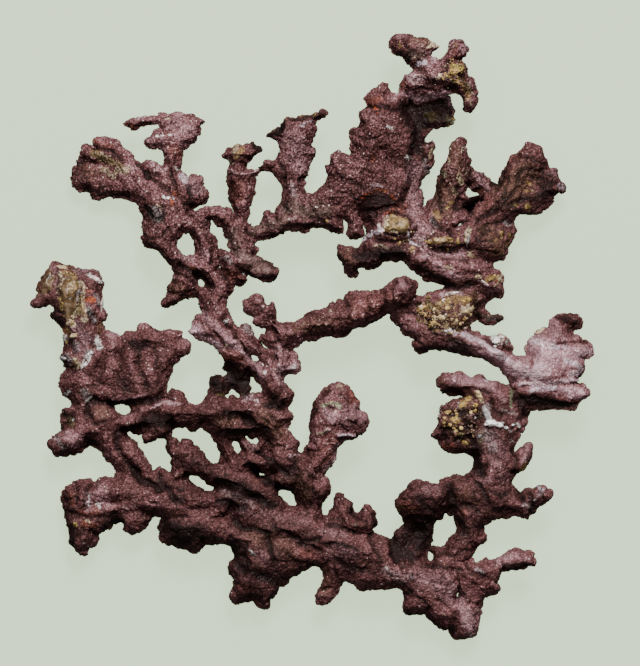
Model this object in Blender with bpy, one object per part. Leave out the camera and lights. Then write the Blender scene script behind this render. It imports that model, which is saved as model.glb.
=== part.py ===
"""Arborescent native copper: a flat, open, branching growth of copper that lies on a surface.

Blender's world is in metres. Every size below is in millimetres, and MM turns it into metres.
The specimen lies as it is usually shown, with its branches spread along X and Y. The origin is
below its middle, on the surface that it rests on.
"""

import math

import bmesh
import bpy
import numpy as np
from mathutils import Matrix, Vector, noise
from mathutils.geometry import delaunay_2d_cdt

# Driving dimensions

MM = 0.001
PARTING_GAP = 0.3         # between two limbs at the fork where they part, and round each crystal
LEAST_THICKNESS = 1.2     # of a leaf away from its rim
SHOULDER_WIDTH = 3.0      # how far in from its edge a limb reaches its full thickness
TOP_SPACING = 2.3         # between the points of the upper side
UNDER_SPACING = 4.5       # between the points of the under side, which is plainer
EDGE_CLEARANCE = 0.85     # from an inner point of a side to its outline
LUMP_SIZE = 4.2           # across one lump of the surface
LUMP_HEIGHT = 0.75
FINE_LUMPS = 0.5          # height of the finer lumps, half the size, as a share of the others
BLENDING = 3              # the power of distance by which the chosen heights lose their hold
FORK = "fork"             # marks the step between two outline points as the face of a fork

# Outlines of the limbs seen from above, in millimetres, each with the forks where it was parted

OUTLINES = {
    "left_tip": [
        (-56.7, 17.1), (-54.5, 16.3), (-52.2, 15.6), (-50.2, 15.2), (-47.6, 15.4), (-46.6, 15.0),
        (-45.9, 13.6), (-45.2, 12.0), (-45.2, 11.0), (-45.7, 9.8), (-45.5, 5.7), (-44.7, 5.3),
        (-45.4, 4.2), (-46.0, 3.8), (-46.0, 0.6), FORK, (-54.9, -5.5), (-55.9, -4.4), (-55.0, -2.4),
        (-54.6, -1.0), (-54.8, 0.2), (-54.2, 0.9), (-54.8, 2.0), (-56.6, 3.8), (-57.3, 5.0),
        (-57.2, 5.7), (-56.4, 6.4), (-57.2, 7.2), (-58.4, 7.3), (-61.2, 6.9), (-61.8, 7.7),
        (-60.1, 8.2), (-59.6, 9.6), (-59.6, 11.2), (-59.3, 12.9), (-58.6, 14.5), (-57.6, 16.2),
    ],
    "left_plate": [
        (-46.0, 0.6), (-43.0, 0.9), (-41.6, 0.2), (-40.4, 1.6), (-38.3, 1.9), (-38.2, 3.2),
        (-35.5, 3.6), (-34.3, 2.4), (-33.0, 2.0), (-31.2, 2.3), (-29.0, 1.7), (-28.2, 0.7),
        (-28.4, 0.0), (-26.8, -1.2), (-26.7, -2.2), (-27.3, -3.0), (-28.6, -4.0), (-30.2, -6.2),
        (-30.3, -7.6), (-31.0, -9.0), (-31.8, -11.0), (-31.9, -13.4), FORK, (-52.6, -14.3),
        (-53.2, -13.6), (-54.2, -13.4), (-55.1, -12.6), (-55.5, -10.6), (-55.2, -8.4),
        (-54.6, -7.6), (-53.8, -6.6), (-54.9, -5.5), FORK,
    ],
    "left_arm": [
        (-52.6, -14.3), FORK, (-31.9, -13.4), (-31.2, -13.5), (-31.2, -11.2), (-30.7, -10.9),
        (-29.0, -11.3), (-28.0, -11.9), (-27.4, -12.8), (-26.5, -14.1), (-25.5, -14.3),
        (-23.4, -13.8), FORK, (-22.9, -19.4), (-23.5, -19.3), (-25.2, -20.2), (-26.2, -20.6),
        (-26.8, -20.4), (-27.2, -19.6), (-29.4, -19.7), (-30.3, -20.3), (-31.3, -21.1), FORK,
        (-32.1, -21.6), (-32.9, -22.1), (-35.5, -22.9), (-37.0, -23.1), (-37.0, -21.4),
        (-37.4, -20.9), (-39.2, -21.2), (-39.7, -20.6), (-40.6, -20.6), (-41.3, -21.2), FORK,
        (-42.7, -28.3), (-44.2, -27.8), (-45.4, -26.9), (-46.0, -25.7), (-46.8, -24.7),
        (-48.0, -24.1), (-49.4, -24.3), (-50.6, -25.0), (-52.4, -25.3), (-54.4, -25.6),
        (-56.0, -25.3), (-57.2, -24.2), (-57.8, -23.2), (-57.3, -22.0), (-56.2, -20.5),
        (-55.1, -20.0), (-55.5, -18.8), (-55.6, -17.0), (-54.6, -15.0), (-53.0, -14.9),
    ],
    "lower_left_club": [
        (-42.7, -28.3), FORK, (-41.3, -21.2), (-41.0, -21.7), (-40.3, -21.4), (-39.0, -22.4),
        (-37.9, -22.6), (-37.8, -23.6), (-36.5, -26.0), (-34.9, -29.0), (-34.2, -29.6), FORK,
        (-35.8, -38.9), (-35.4, -40.2), (-36.0, -41.4), (-37.2, -42.6), (-38.4, -43.2),
        (-39.7, -43.4), (-40.8, -42.9), (-41.6, -42.2), (-41.7, -40.8), (-42.3, -40.7),
        (-43.5, -41.0), (-45.3, -42.1), (-47.0, -43.2), (-46.8, -44.2), (-47.5, -45.6),
        (-48.4, -46.0), (-49.0, -47.2), (-49.7, -47.8), (-51.1, -47.6), (-52.2, -46.8),
        (-53.4, -45.3), (-53.7, -42.2), (-54.0, -40.6), (-53.8, -38.8), (-54.1, -36.1),
        (-54.9, -33.9), (-54.4, -33.0), (-52.4, -32.0), (-50.6, -31.2), (-48.3, -31.2),
        (-47.5, -31.7), (-46.7, -31.3), (-45.9, -30.6), (-44.9, -30.4), (-43.1, -30.8),
        (-42.8, -29.4),
    ],
    "lower_left_lobe": [
        (-34.2, -29.6), (-33.8, -28.6), (-33.2, -28.2), (-32.4, -28.9), (-31.6, -29.3),
        (-30.4, -29.3), (-30.1, -28.9), FORK, (-28.0, -30.9), (-26.4, -31.0), (-25.4, -31.6),
        (-24.3, -32.5), (-22.4, -33.3), (-21.0, -33.5), (-20.6, -33.2), FORK, (-20.0, -39.2),
        (-19.0, -38.8), (-18.4, -39.2), FORK, (-16.6, -46.1), (-17.2, -45.6), (-19.8, -45.6),
        (-20.9, -46.0), (-23.2, -45.6), (-23.9, -46.1), (-24.9, -47.3), (-25.9, -47.0),
        (-27.5, -46.2), (-30.6, -45.4), (-32.6, -45.0), (-32.9, -44.3), (-33.2, -42.5),
        (-33.6, -41.0), (-33.5, -40.4), (-33.0, -39.4), (-34.6, -38.6), (-35.4, -38.4),
        (-35.8, -38.9), FORK,
    ],
    "slanting_finger": [
        (-32.1, -21.6), FORK, (-31.3, -21.1), (-31.0, -21.7), (-29.8, -22.0), (-28.9, -22.8),
        (-27.6, -22.4), (-25.8, -23.8), (-24.4, -24.9), (-23.2, -26.2), (-22.4, -27.2),
        (-21.5, -27.9), (-20.8, -27.3), (-20.1, -27.8), (-19.6, -27.6), FORK, (-20.6, -33.2),
        (-21.4, -32.7), (-22.8, -32.5), (-24.0, -31.5), (-25.2, -30.6), (-26.2, -30.2),
        (-27.4, -30.4), (-28.0, -30.9), FORK, (-30.1, -28.9), (-30.8, -28.0), (-30.9, -27.0),
        (-30.5, -26.4), (-30.8, -25.7), (-31.6, -25.0), (-32.4, -23.7), (-32.0, -22.4),
    ],
    "left_trunk": [
        (-39.5, 30.0), FORK, (-33.7, 38.0), (-32.9, 37.6), (-32.2, 38.2), FORK, (-29.0, 37.5),
        (-28.2, 36.1), (-26.8, 35.0), (-26.0, 35.4), (-24.1, 35.0), (-24.0, 33.9), (-23.6, 32.7),
        (-22.9, 31.9), (-22.5, 30.9), (-22.7, 30.0), (-23.3, 29.3), (-24.5, 28.7), (-26.0, 28.2),
        (-25.4, 27.2), (-26.5, 25.8), FORK, (-27.8, 24.0), (-28.3, 23.6), (-28.6, 22.4),
        (-29.5, 20.2), (-28.3, 19.4), (-28.0, 18.6), (-27.4, 18.0), (-26.5, 18.4), (-25.0, 18.1),
        (-24.8, 18.6), FORK, (-20.8, 16.0), (-20.6, 15.5), (-19.9, 15.2), (-19.4, 15.8), FORK,
        (-15.0, 14.1), (-14.5, 12.6), (-15.0, 11.8), (-15.9, 11.3), (-16.9, 11.5), (-17.0, 9.9),
        (-18.4, 8.5), (-18.6, 7.6), (-18.4, 5.7), (-18.1, 4.5), (-17.3, 2.6), (-15.5, 2.1),
        (-15.2, 2.8), (-14.0, 2.8), (-12.9, 1.7), (-12.2, -0.1), (-11.5, -1.2), (-10.8, -2.1),
        (-9.9, -2.8), (-8.9, -3.2), FORK, (-10.8, -4.8), (-11.7, -4.4), (-12.6, -3.8),
        (-13.7, -3.4), FORK, (-19.6, -3.6), (-21.3, -2.3), (-22.8, -1.1), (-24.6, -0.7),
        (-26.2, 0.6), (-27.5, 1.5), (-26.2, 2.2), (-26.1, 3.2), (-25.3, 4.8), (-23.6, 5.3),
        (-23.8, 6.0), (-25.0, 6.9), (-25.2, 8.8), (-27.0, 8.6), (-28.6, 7.9), (-30.2, 7.2),
        (-31.9, 6.6), (-33.2, 7.0), (-32.9, 8.0), (-31.5, 10.1), (-31.8, 11.7), (-31.0, 12.1),
        (-30.3, 13.9), (-31.1, 15.5), (-34.4, 18.9), (-35.5, 19.4), (-37.0, 20.2), (-37.3, 21.3),
        (-37.1, 24.6), (-37.4, 25.1), (-37.1, 26.0), (-38.1, 27.7), (-38.6, 29.5),
    ],
    "arch": [
        (-26.5, 25.8), (-25.3, 27.0), (-24.4, 28.2), (-23.0, 28.8), (-21.2, 28.6), (-19.8, 28.9),
        (-18.8, 28.8), (-17.8, 28.0), (-16.8, 26.2), FORK, (-19.1, 23.9), (-20.0, 24.2),
        (-21.2, 24.8), (-22.2, 26.0), (-22.3, 23.3), (-21.6, 23.0), (-20.9, 22.4), (-20.6, 19.8),
        (-20.8, 18.4), (-20.8, 16.0), FORK, (-24.8, 18.6), (-25.6, 19.6), (-26.0, 22.0),
        (-26.6, 23.0), (-27.2, 23.8), (-27.8, 24.0), FORK,
    ],
    "stem_base": [
        (-19.1, 23.9), FORK, (-16.8, 26.2), FORK, (-14.0, 24.1), (-13.6, 23.7), FORK,
        (-12.4, 21.4), (-12.4, 20.2), (-11.8, 19.3), (-12.4, 18.7), (-12.8, 17.8), (-12.0, 17.6),
        (-11.3, 17.0), (-10.9, 16.3), (-10.0, 16.6), (-9.2, 16.1), (-8.6, 15.3), (-7.1, 15.6),
        (-7.0, 14.6), (-7.8, 13.7), (-8.1, 12.9), (-10.2, 12.6), (-11.4, 13.2), (-13.4, 13.8),
        (-15.0, 14.1), FORK, (-19.4, 15.8), (-19.6, 16.8), (-20.3, 17.7), (-20.5, 18.6),
        (-20.0, 19.3), (-19.2, 19.2), (-17.5, 18.1), (-17.7, 19.2), (-18.4, 20.0), (-18.5, 21.0),
        (-19.2, 22.0), (-19.3, 23.0),
    ],
    "club_stem": [
        (-14.0, 24.1), (-13.9, 26.0), (-13.5, 27.4), (-13.3, 30.0), (-12.3, 31.3), (-12.1, 33.0),
        (-11.9, 34.6), (-11.3, 35.8), (-11.1, 37.0), (-12.4, 37.0), (-13.3, 37.3), (-14.0, 36.9),
        (-14.1, 37.4), (-12.2, 40.0), (-10.4, 40.7), (-10.9, 42.0), (-12.1, 42.4), (-12.7, 43.0),
        (-13.6, 43.0), (-15.4, 42.2), (-16.0, 42.8), (-17.0, 42.6), (-17.6, 41.6), (-18.2, 41.9),
        (-19.7, 40.6), (-20.2, 39.9), (-19.4, 39.0), (-18.4, 38.0), (-19.0, 35.8), (-18.7, 34.0),
        (-18.2, 30.2), (-17.2, 28.9), (-17.0, 27.6), (-16.8, 26.2), FORK,
    ],
    "upper_left_fan": [
        (-33.7, 38.0), (-33.8, 38.6), (-34.4, 39.0), (-36.6, 39.2), (-36.9, 38.6), (-37.6, 38.6),
        (-38.4, 39.1), (-39.7, 40.9), (-40.8, 41.7), (-41.7, 42.7), (-42.6, 43.6), (-44.2, 44.0),
        (-47.0, 44.0), (-47.9, 43.3), (-47.6, 42.0), (-49.6, 42.2), (-50.6, 41.2), (-50.9, 39.6),
        (-51.3, 38.8), (-51.2, 37.5), (-52.2, 37.2), (-52.7, 36.6), (-53.0, 35.2), (-52.6, 33.1),
        (-51.2, 32.2), (-50.2, 32.4), (-49.3, 32.1), (-48.8, 31.3), (-47.8, 30.5), (-46.0, 30.7),
        (-44.0, 30.7), (-43.4, 30.2), (-42.0, 30.3), (-39.5, 30.0), FORK,
    ],
    "bird_leaf": [
        (-29.0, 37.5), (-28.5, 38.0), (-28.3, 39.9), (-27.9, 41.0), (-26.5, 42.2), (-25.3, 42.7),
        (-24.4, 44.2), (-24.1, 46.5), (-23.2, 47.4), (-25.0, 48.2), (-25.4, 49.0), (-27.4, 49.4),
        (-30.2, 49.6), (-31.0, 49.2), (-33.4, 49.3), (-33.9, 48.7), (-38.2, 48.5), (-39.8, 47.9),
        (-41.2, 46.5), (-40.6, 46.0), (-38.2, 45.6), (-36.0, 46.1), (-33.9, 46.7), (-33.2, 46.3),
        (-34.6, 45.6), (-35.5, 44.4), (-36.9, 43.1), (-36.7, 42.1), (-36.0, 41.6), (-33.1, 41.2),
        (-32.5, 39.9), (-32.2, 38.2), FORK,
    ],
    "upper_band": [
        (-13.6, 23.7), (-12.6, 24.4), (-11.6, 25.0), (-11.3, 26.0), (-11.1, 27.3), (-10.7, 28.1),
        (-9.7, 28.3), (-8.9, 27.9), (-8.2, 26.9), (-7.9, 27.9), (-6.9, 28.2), FORK, (-1.2, 31.0),
        FORK, (4.8, 22.6), (4.0, 23.2), (2.0, 23.9), (1.2, 23.5), (0.2, 24.1), (-0.8, 23.1),
        (-2.2, 23.0), (-5.9, 23.4), (-6.3, 22.7), (-8.4, 21.9), (-11.0, 21.4), (-12.4, 21.4), FORK,
    ],
    "flag_stem": [
        (-6.9, 28.2), FORK, (-1.2, 31.0), (-1.6, 32.6), (-1.4, 34.7), (-0.9, 35.0), (-0.3, 37.2),
        (0.8, 39.2), (1.2, 41.0), (0.6, 41.6), (-0.2, 42.1), (0.2, 43.4), (1.0, 45.9), (0.5, 46.4),
        (1.2, 47.6), (2.9, 48.6), (3.3, 49.3), (2.4, 50.0), (0.0, 49.2), (-1.6, 48.9),
        (-4.0, 48.0), (-5.2, 48.4), (-5.9, 47.1), (-8.2, 45.8), (-10.1, 44.8), (-10.5, 43.8),
        (-7.8, 43.5), (-7.4, 42.8), (-7.6, 42.0), (-7.3, 41.2), (-7.8, 39.9), (-8.4, 39.3),
        (-9.5, 39.6), (-11.0, 38.8), (-11.0, 36.4), (-9.4, 35.8), (-7.4, 34.8), (-6.4, 32.1),
        (-7.0, 31.4), (-6.6, 29.3),
    ],
    "big_leaf": [
        (-1.2, 31.0), (0.1, 31.2), (0.7, 32.4), (1.6, 33.4), (2.6, 33.9), (2.9, 35.0), (2.7, 37.9),
        (3.8, 38.1), (3.8, 40.6), (5.6, 41.3), (7.2, 40.4), (8.5, 39.7), (8.2, 41.2), (8.4, 42.0),
        (7.8, 44.4), (8.4, 46.2), (10.0, 46.6), (9.7, 48.8), (9.8, 49.9), (11.4, 50.7),
        (10.6, 52.1), (12.2, 53.8), (14.2, 55.5), (15.4, 55.9), (16.8, 56.0), (17.2, 53.5),
        (18.8, 53.6), (20.1, 54.1), FORK, (20.2, 49.0), FORK, (22.4, 45.6), FORK, (21.6, 41.5),
        FORK, (21.2, 36.0), FORK, (19.0, 29.0), FORK, (10.0, 28.0), (9.5, 27.9), (10.4, 25.8),
        (11.0, 24.7), (11.4, 23.6), (11.4, 22.5), (10.5, 21.6), (9.7, 21.0), (8.7, 21.2),
        (8.0, 21.6), (7.5, 22.9), (7.7, 24.5), (7.2, 26.0), (6.6, 26.1), (7.2, 24.6), (7.0, 22.6),
        (5.4, 22.9), (4.8, 22.6), FORK,
    ],
    "back_leaf": [
        (20.1, 54.1), FORK, (31.0, 53.0), (30.4, 52.7), (31.2, 51.7), (32.0, 49.7), (31.3, 48.7),
        (31.8, 47.8), (31.2, 46.5), (30.2, 46.2), (26.5, 46.1), (26.1, 45.4), (25.1, 44.3),
        (24.9, 42.8), (25.5, 43.1), (26.5, 44.0), (27.2, 41.8), (27.1, 40.5), (27.2, 38.8),
        (26.1, 36.5), (25.2, 35.5), (24.5, 34.2), (23.3, 32.7), (24.0, 32.2), (23.9, 29.5),
        (23.7, 28.1), (24.5, 27.2), FORK, (19.0, 29.0), FORK, (21.2, 36.0), FORK, (21.6, 41.5),
        FORK, (22.4, 45.6), FORK, (20.2, 49.0), FORK,
    ],
    "crown": [
        (20.1, 54.1), (19.0, 54.9), (18.9, 55.6), (20.0, 57.4), (21.2, 58.2), (22.2, 58.6),
        (21.4, 58.8), (20.6, 59.5), (19.9, 61.1), (17.9, 61.9), (17.4, 63.0), (16.9, 64.6),
        (17.3, 65.2), (18.6, 66.5), (21.3, 66.6), (21.7, 65.9), (22.8, 65.3), (23.8, 65.7),
        (25.0, 65.6), (25.7, 64.5), (26.8, 64.7), (27.8, 63.6), (26.0, 61.9), (27.9, 61.2),
        (29.0, 62.2), (29.8, 63.4), (30.0, 64.5), (31.0, 65.3), (32.0, 65.6), (33.3, 65.3),
        (34.3, 63.4), (34.2, 62.1), (33.9, 61.3), (32.8, 60.6), (33.9, 59.8), (34.3, 59.1),
        (34.2, 57.5), (35.5, 56.4), (35.4, 55.8), (36.1, 54.2), (36.0, 52.5), (35.4, 49.9),
        (34.5, 49.2), (33.2, 49.7), (32.7, 50.7), (32.7, 52.2), (31.6, 53.2), (31.0, 53.0), FORK,
    ],
    "blade": [
        (24.9, 26.9), (24.8, 27.9), (25.7, 29.9), (26.6, 30.5), (26.7, 33.3), (27.5, 35.6),
        (28.7, 37.9), (29.4, 38.8), (30.2, 41.3), (30.8, 42.8), (32.0, 44.0), (33.2, 44.1),
        (34.1, 43.1), (33.7, 41.3), (34.5, 38.8), (34.5, 37.7), (35.3, 37.4), (36.4, 36.6),
        (38.1, 36.6), (38.6, 35.8), (39.5, 34.3), FORK, (37.0, 27.3), FORK,
    ],
    "upper_right_fan": [
        (39.5, 34.3), (40.5, 34.4), (41.1, 35.8), (41.5, 37.1), (42.4, 37.6), (43.4, 39.9),
        (45.0, 40.6), (46.2, 41.6), (46.7, 42.6), (48.8, 42.3), (50.2, 41.7), (50.6, 40.6),
        (51.8, 38.2), (52.4, 37.2), (53.6, 37.1), (54.3, 35.3), (54.6, 34.1), (55.4, 33.0),
        (55.2, 32.1), (52.8, 31.3), (53.3, 29.9), (52.1, 28.6), (50.4, 28.0), (47.7, 27.1),
        (45.6, 27.8), (43.7, 26.1), (43.0, 24.4), FORK, (37.0, 27.3), FORK,
    ],
    "cluster_left": [
        (10.0, 28.0), FORK, (19.0, 29.0), FORK, (24.5, 27.2), FORK, (25.4, 12.6), (23.7, 14.1),
        (21.8, 14.8), (19.7, 16.7), (18.7, 16.2), (15.8, 16.5), (15.4, 15.6), (14.2, 14.8),
        (11.4, 15.0), (10.1, 15.3), (10.0, 13.7), (9.3, 13.2), (8.3, 13.5), (7.4, 14.1),
        (6.9, 15.3), (5.3, 18.2), (5.3, 19.6), (5.6, 20.4), (7.2, 20.3), (9.0, 20.3), (10.0, 20.0),
        (10.4, 21.1), (12.0, 22.9), (12.3, 24.1), (11.2, 25.9), (10.6, 27.2),
    ],
    "cluster_right": [
        (24.5, 27.2), (24.9, 26.9), FORK, (37.0, 27.3), FORK, (43.0, 24.4), (43.8, 24.1),
        (44.8, 23.9), (44.3, 22.3), (43.8, 20.8), (42.7, 18.0), (41.9, 16.6), (40.3, 16.7),
        (40.1, 15.5), (41.4, 14.8), (42.4, 12.9), (42.1, 11.4), (42.5, 10.0), (42.2, 8.8),
        (41.4, 8.0), (39.8, 8.4), (38.7, 7.5), (37.2, 6.8), FORK, (29.0, 10.2), (28.8, 11.5),
        (26.6, 12.1), (25.4, 12.6), FORK,
    ],
    "middle_arm": [
        (16.8, 4.8), FORK, (22.1, 9.5), (23.0, 10.7), (23.0, 11.9), (22.1, 12.7), (20.5, 13.5),
        (19.1, 13.4), (17.8, 13.0), (16.5, 11.9), (15.3, 11.1), (13.5, 10.6), (10.8, 10.1),
        (8.5, 9.8), (7.6, 9.4), (7.0, 8.2), (5.8, 8.3), (4.0, 7.9), (2.8, 7.0), (2.0, 6.6),
        (0.1, 6.6), (-1.2, 5.8), (-2.8, 4.3), (-4.6, 3.7), (-5.5, 4.0), (-7.6, 4.6), FORK,
        (-9.5, 1.2), (-10.0, 0.6), (-11.5, 0.6), (-11.3, -0.5), (-9.4, -1.9), (-8.7, -2.8), FORK,
        (-4.5, -3.3), (-4.2, -2.3), (-3.2, -1.4), (-1.5, -0.3), (0.9, -0.9), (1.3, -0.2),
        (2.8, 0.2), (4.4, 0.3), (6.6, 0.2), (7.6, 0.8), (9.0, 1.9), (10.8, 2.1), (12.4, 2.7),
        (13.8, 3.1), (15.0, 3.5),
    ],
    "inner_club": [
        (-7.6, 4.6), (-7.6, 6.0), (-8.1, 7.4), (-8.7, 7.9), (-9.8, 7.4), (-10.5, 8.0),
        (-11.6, 9.3), (-12.6, 9.6), (-13.8, 8.7), (-15.1, 8.0), (-14.7, 6.8), (-14.2, 5.6),
        (-12.4, 4.4), (-12.8, 3.6), (-12.0, 2.7), (-11.2, 2.2), (-9.6, 2.0), (-9.5, 1.2), FORK,
    ],
    "matrix_arm": [
        (22.1, 9.5), (24.3, 8.9), (25.7, 10.1), (27.0, 10.4), (29.0, 10.2), FORK, (37.2, 6.8),
        (38.5, 6.3), (39.3, 5.4), (40.7, 5.1), (42.2, 4.4), (41.4, 3.7), (38.7, 2.9), (37.2, 3.2),
        (36.3, 3.9), (34.8, 3.3), (33.5, 2.3), FORK, (30.6, -3.0), (28.6, -2.8), (27.0, -3.1),
        (25.8, -3.1), (24.0, -3.9), (22.8, -3.3), (22.1, -2.0), (22.2, -1.0), (22.8, -0.6),
        (20.4, 0.6), (19.8, 1.4), (18.4, 2.7), (17.2, 3.8), (16.8, 4.8), FORK,
    ],
    "right_bridge": [
        (33.5, 2.3), (34.5, 1.6), (36.4, 1.2), (37.0, 0.4), (38.2, -0.1), (39.8, 0.4), (41.6, 0.9),
        (42.7, 0.4), (43.4, -0.4), (44.1, -2.1), (44.1, -3.1), FORK, (43.5, -9.2), (41.9, -8.3),
        (41.6, -7.4), (40.8, -6.7), (38.2, -5.3), (37.0, -4.5), (34.0, -3.8), (32.0, -3.6),
        (30.6, -3.0), FORK,
    ],
    "right_leaf": [
        (44.1, -3.1), (46.1, -3.8), (46.8, -3.6), (46.5, -1.7), (47.1, -0.7), (48.8, 0.5),
        (49.2, 1.5), (50.0, 2.1), (51.9, 2.0), (52.0, 3.8), (53.5, 5.3), (56.5, 5.5), (58.9, 4.4),
        (58.7, 2.7), (57.4, 1.9), (56.9, 1.4), (57.2, 0.5), (58.3, -0.1), (59.8, -0.4),
        (60.8, -1.3), (61.8, -3.5), (60.9, -4.5), (59.8, -4.8), (60.1, -6.1), (59.4, -8.0),
        (57.7, -9.6), (59.0, -9.6), (60.7, -11.8), (60.5, -12.9), (59.2, -13.6), (57.5, -16.2),
        (53.7, -16.2), (49.5, -15.9), (48.2, -15.8), FORK, (43.5, -10.2), (43.5, -9.2), FORK,
    ],
    "right_arm": [
        (43.5, -10.2), FORK, (48.2, -15.8), (46.9, -17.5), (47.0, -18.6), (45.8, -20.2),
        (45.1, -21.5), (44.4, -23.1), (44.1, -24.7), (44.4, -25.2), (46.2, -23.7), (47.8, -23.2),
        (48.1, -24.0), (48.0, -25.8), (47.3, -27.6), (46.4, -29.0), (44.9, -29.8), (44.2, -30.6),
        FORK, (35.5, -27.6), (35.3, -26.4), (34.4, -25.8), (32.4, -25.5), (30.0, -25.6),
        (28.0, -24.2), (27.4, -22.6), (26.4, -22.2), (25.4, -21.2), (25.8, -20.5), (27.4, -19.2),
        (27.5, -17.3), (28.6, -17.0), (31.0, -15.4), (31.8, -14.4), (33.0, -13.8), (32.8, -12.6),
        (30.2, -12.5), (28.6, -11.7), (27.6, -10.5), (27.3, -9.2), (27.9, -7.7), (30.4, -7.7),
        (31.8, -7.2), (33.2, -7.6), (34.8, -8.3), (36.0, -7.7), (37.6, -7.6), (38.0, -8.4),
        (39.2, -9.2), (40.8, -9.3), (41.2, -10.0), (42.8, -10.5),
    ],
    "right_limb": [
        (29.2, -31.2), (30.4, -30.2), (31.6, -29.7), (33.2, -30.1), (34.4, -29.7), (35.3, -28.7),
        (35.5, -27.6), FORK, (44.2, -30.6), (44.2, -31.8), (45.2, -33.0), (45.6, -33.9),
        (46.3, -32.9), (47.3, -32.6), (48.5, -33.0), (49.4, -32.4), (50.4, -32.4), (51.2, -33.2),
        (52.3, -33.6), (52.0, -35.3), (51.1, -36.4), (49.8, -37.1), (48.9, -38.5), (47.4, -40.0),
        (45.4, -39.2), (43.7, -38.7), (41.5, -39.3), (39.9, -39.6), (38.5, -40.4), (37.7, -41.4),
        (37.7, -42.7), (38.4, -43.3), (38.2, -44.4), (36.9, -45.4), (35.7, -46.7), (34.8, -48.1),
        (34.8, -48.6), FORK, (29.6, -45.4), (30.8, -43.2), (31.6, -42.6), (31.8, -41.6),
        (31.6, -40.2), (31.0, -39.2), (29.5, -37.6), FORK,
    ],
    "right_lobe": [
        (17.4, -43.9), (18.1, -42.0), (18.8, -41.2), (19.6, -40.6), (19.3, -39.8), (18.6, -38.8),
        (17.9, -37.6), (17.7, -35.4), (18.8, -34.8), (19.1, -33.9), (20.9, -32.9), (21.2, -32.0),
        (22.6, -31.4), (23.8, -31.5), (26.2, -32.3), (28.6, -32.0), (29.2, -31.2), FORK,
        (29.5, -37.6), (28.6, -38.6), (28.0, -39.6), (27.1, -40.0), (27.1, -42.4), (26.3, -45.5),
        (26.0, -46.2), (25.2, -47.0), (24.6, -48.4), FORK,
    ],
    "lower_right_corner": [
        (25.2, -48.9), (26.2, -48.6), (26.4, -47.6), (26.3, -46.2), (28.4, -46.0), (29.6, -45.4),
        FORK, (34.8, -48.6), (35.5, -49.3), (36.4, -48.7), (37.5, -48.3), (38.2, -47.7),
        (38.9, -48.6), (40.5, -48.2), (41.3, -47.7), (42.3, -46.8), (43.2, -45.8), (44.6, -45.4),
        (46.0, -46.3), (47.4, -46.4), (48.4, -47.0), (49.0, -48.3), (48.9, -49.6), (48.0, -50.2),
        (46.3, -50.8), (43.7, -51.0), (41.8, -51.4), (41.2, -52.0), (41.5, -52.8), (40.5, -53.5),
        (41.4, -54.9), (41.0, -55.9), (39.9, -56.8), (38.2, -57.1), (37.6, -58.3), (37.0, -61.3),
        (36.6, -64.1), (36.5, -65.1), (35.7, -65.9), (33.8, -66.4), (32.2, -66.7), (31.0, -66.3),
        (30.3, -65.3), (30.1, -64.3), (27.4, -62.8), (25.8, -61.2), (24.8, -60.3), (22.8, -60.9),
        (21.4, -61.2), (20.3, -60.9), (19.4, -59.9), (20.0, -57.1), (20.2, -56.0), FORK,
    ],
    "lower_band": [
        (3.0, -39.4), (3.4, -38.9), (3.3, -37.6), (4.2, -37.0), (4.7, -35.8), (5.0, -34.8),
        (5.8, -34.1), (6.6, -34.3), (7.3, -35.1), (9.1, -36.0), (9.4, -37.2), (9.7, -38.0),
        (10.3, -37.8), (10.8, -36.8), (11.6, -36.2), (12.4, -36.3), (13.8, -37.4), (14.2, -38.4),
        (14.6, -40.6), (13.2, -41.9), (15.2, -42.9), (17.4, -43.9), FORK, (24.6, -48.4),
        (25.2, -48.9), FORK, (20.2, -56.0), (18.7, -55.2), (15.8, -55.6), (13.5, -55.3),
        (12.2, -55.1), (11.1, -55.5), (8.8, -53.9), (7.2, -53.5), (6.7, -53.9), (5.8, -56.1),
        (4.7, -57.4), (3.0, -58.6), (1.1, -58.7), (0.3, -56.5), (1.5, -54.6), (2.3, -53.6),
        (2.3, -51.4), (2.7, -50.2), FORK,
    ],
    "bottom_bulge": [
        (-17.3, -38.6), FORK, (-5.6, -37.2), (-4.0, -36.7), (-2.7, -36.5), FORK, (3.0, -39.4),
        FORK, (2.7, -50.2), (0.7, -50.0), (-2.0, -51.5), (-2.6, -52.3), (-4.0, -52.6),
        (-6.2, -54.8), (-7.0, -54.8), (-7.3, -55.8), (-9.2, -58.0), (-9.5, -58.9), (-10.4, -59.8),
        (-11.9, -59.0), (-13.2, -57.6), (-13.9, -58.0), (-15.1, -58.5), (-16.4, -58.4),
        (-17.3, -57.9), (-17.8, -56.8), (-17.1, -54.2), (-16.8, -53.6), (-17.9, -51.3),
        (-18.3, -50.4), (-18.3, -49.3), (-17.1, -47.7), (-16.6, -46.1), FORK, (-18.4, -39.2),
        (-18.2, -39.3), (-17.3, -39.8),
    ],
    "hub": [
        (-13.7, -3.4), FORK, (-19.6, -3.6), (-19.3, -4.3), (-20.0, -6.4), (-19.6, -7.2),
        (-18.8, -7.6), (-19.4, -8.4), (-21.1, -7.7), (-21.8, -8.0), (-22.2, -8.6), (-22.2, -10.9),
        (-22.9, -11.6), (-23.4, -12.2), (-23.4, -13.8), FORK, (-22.9, -19.4), (-22.5, -20.6),
        (-21.7, -21.6), FORK, (-17.7, -21.7), (-16.3, -21.7), FORK, (-15.4, -21.5),
        (-14.6, -21.4), (-13.4, -22.0), (-12.4, -21.8), (-11.8, -22.4), (-11.5, -23.5), FORK,
        (-10.8, -24.4), (-10.6, -24.0), (-10.0, -24.2), (-9.2, -25.2), FORK, (-2.8, -25.9),
        (-3.1, -25.2), (-2.5, -23.2), (-2.9, -22.4), (-4.0, -21.8), (-5.0, -20.6), (-5.6, -19.6),
        (-5.0, -18.9), (-3.8, -17.0), (-4.8, -16.0), (-5.4, -15.2), (-4.6, -14.2), (-3.4, -11.8),
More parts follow.
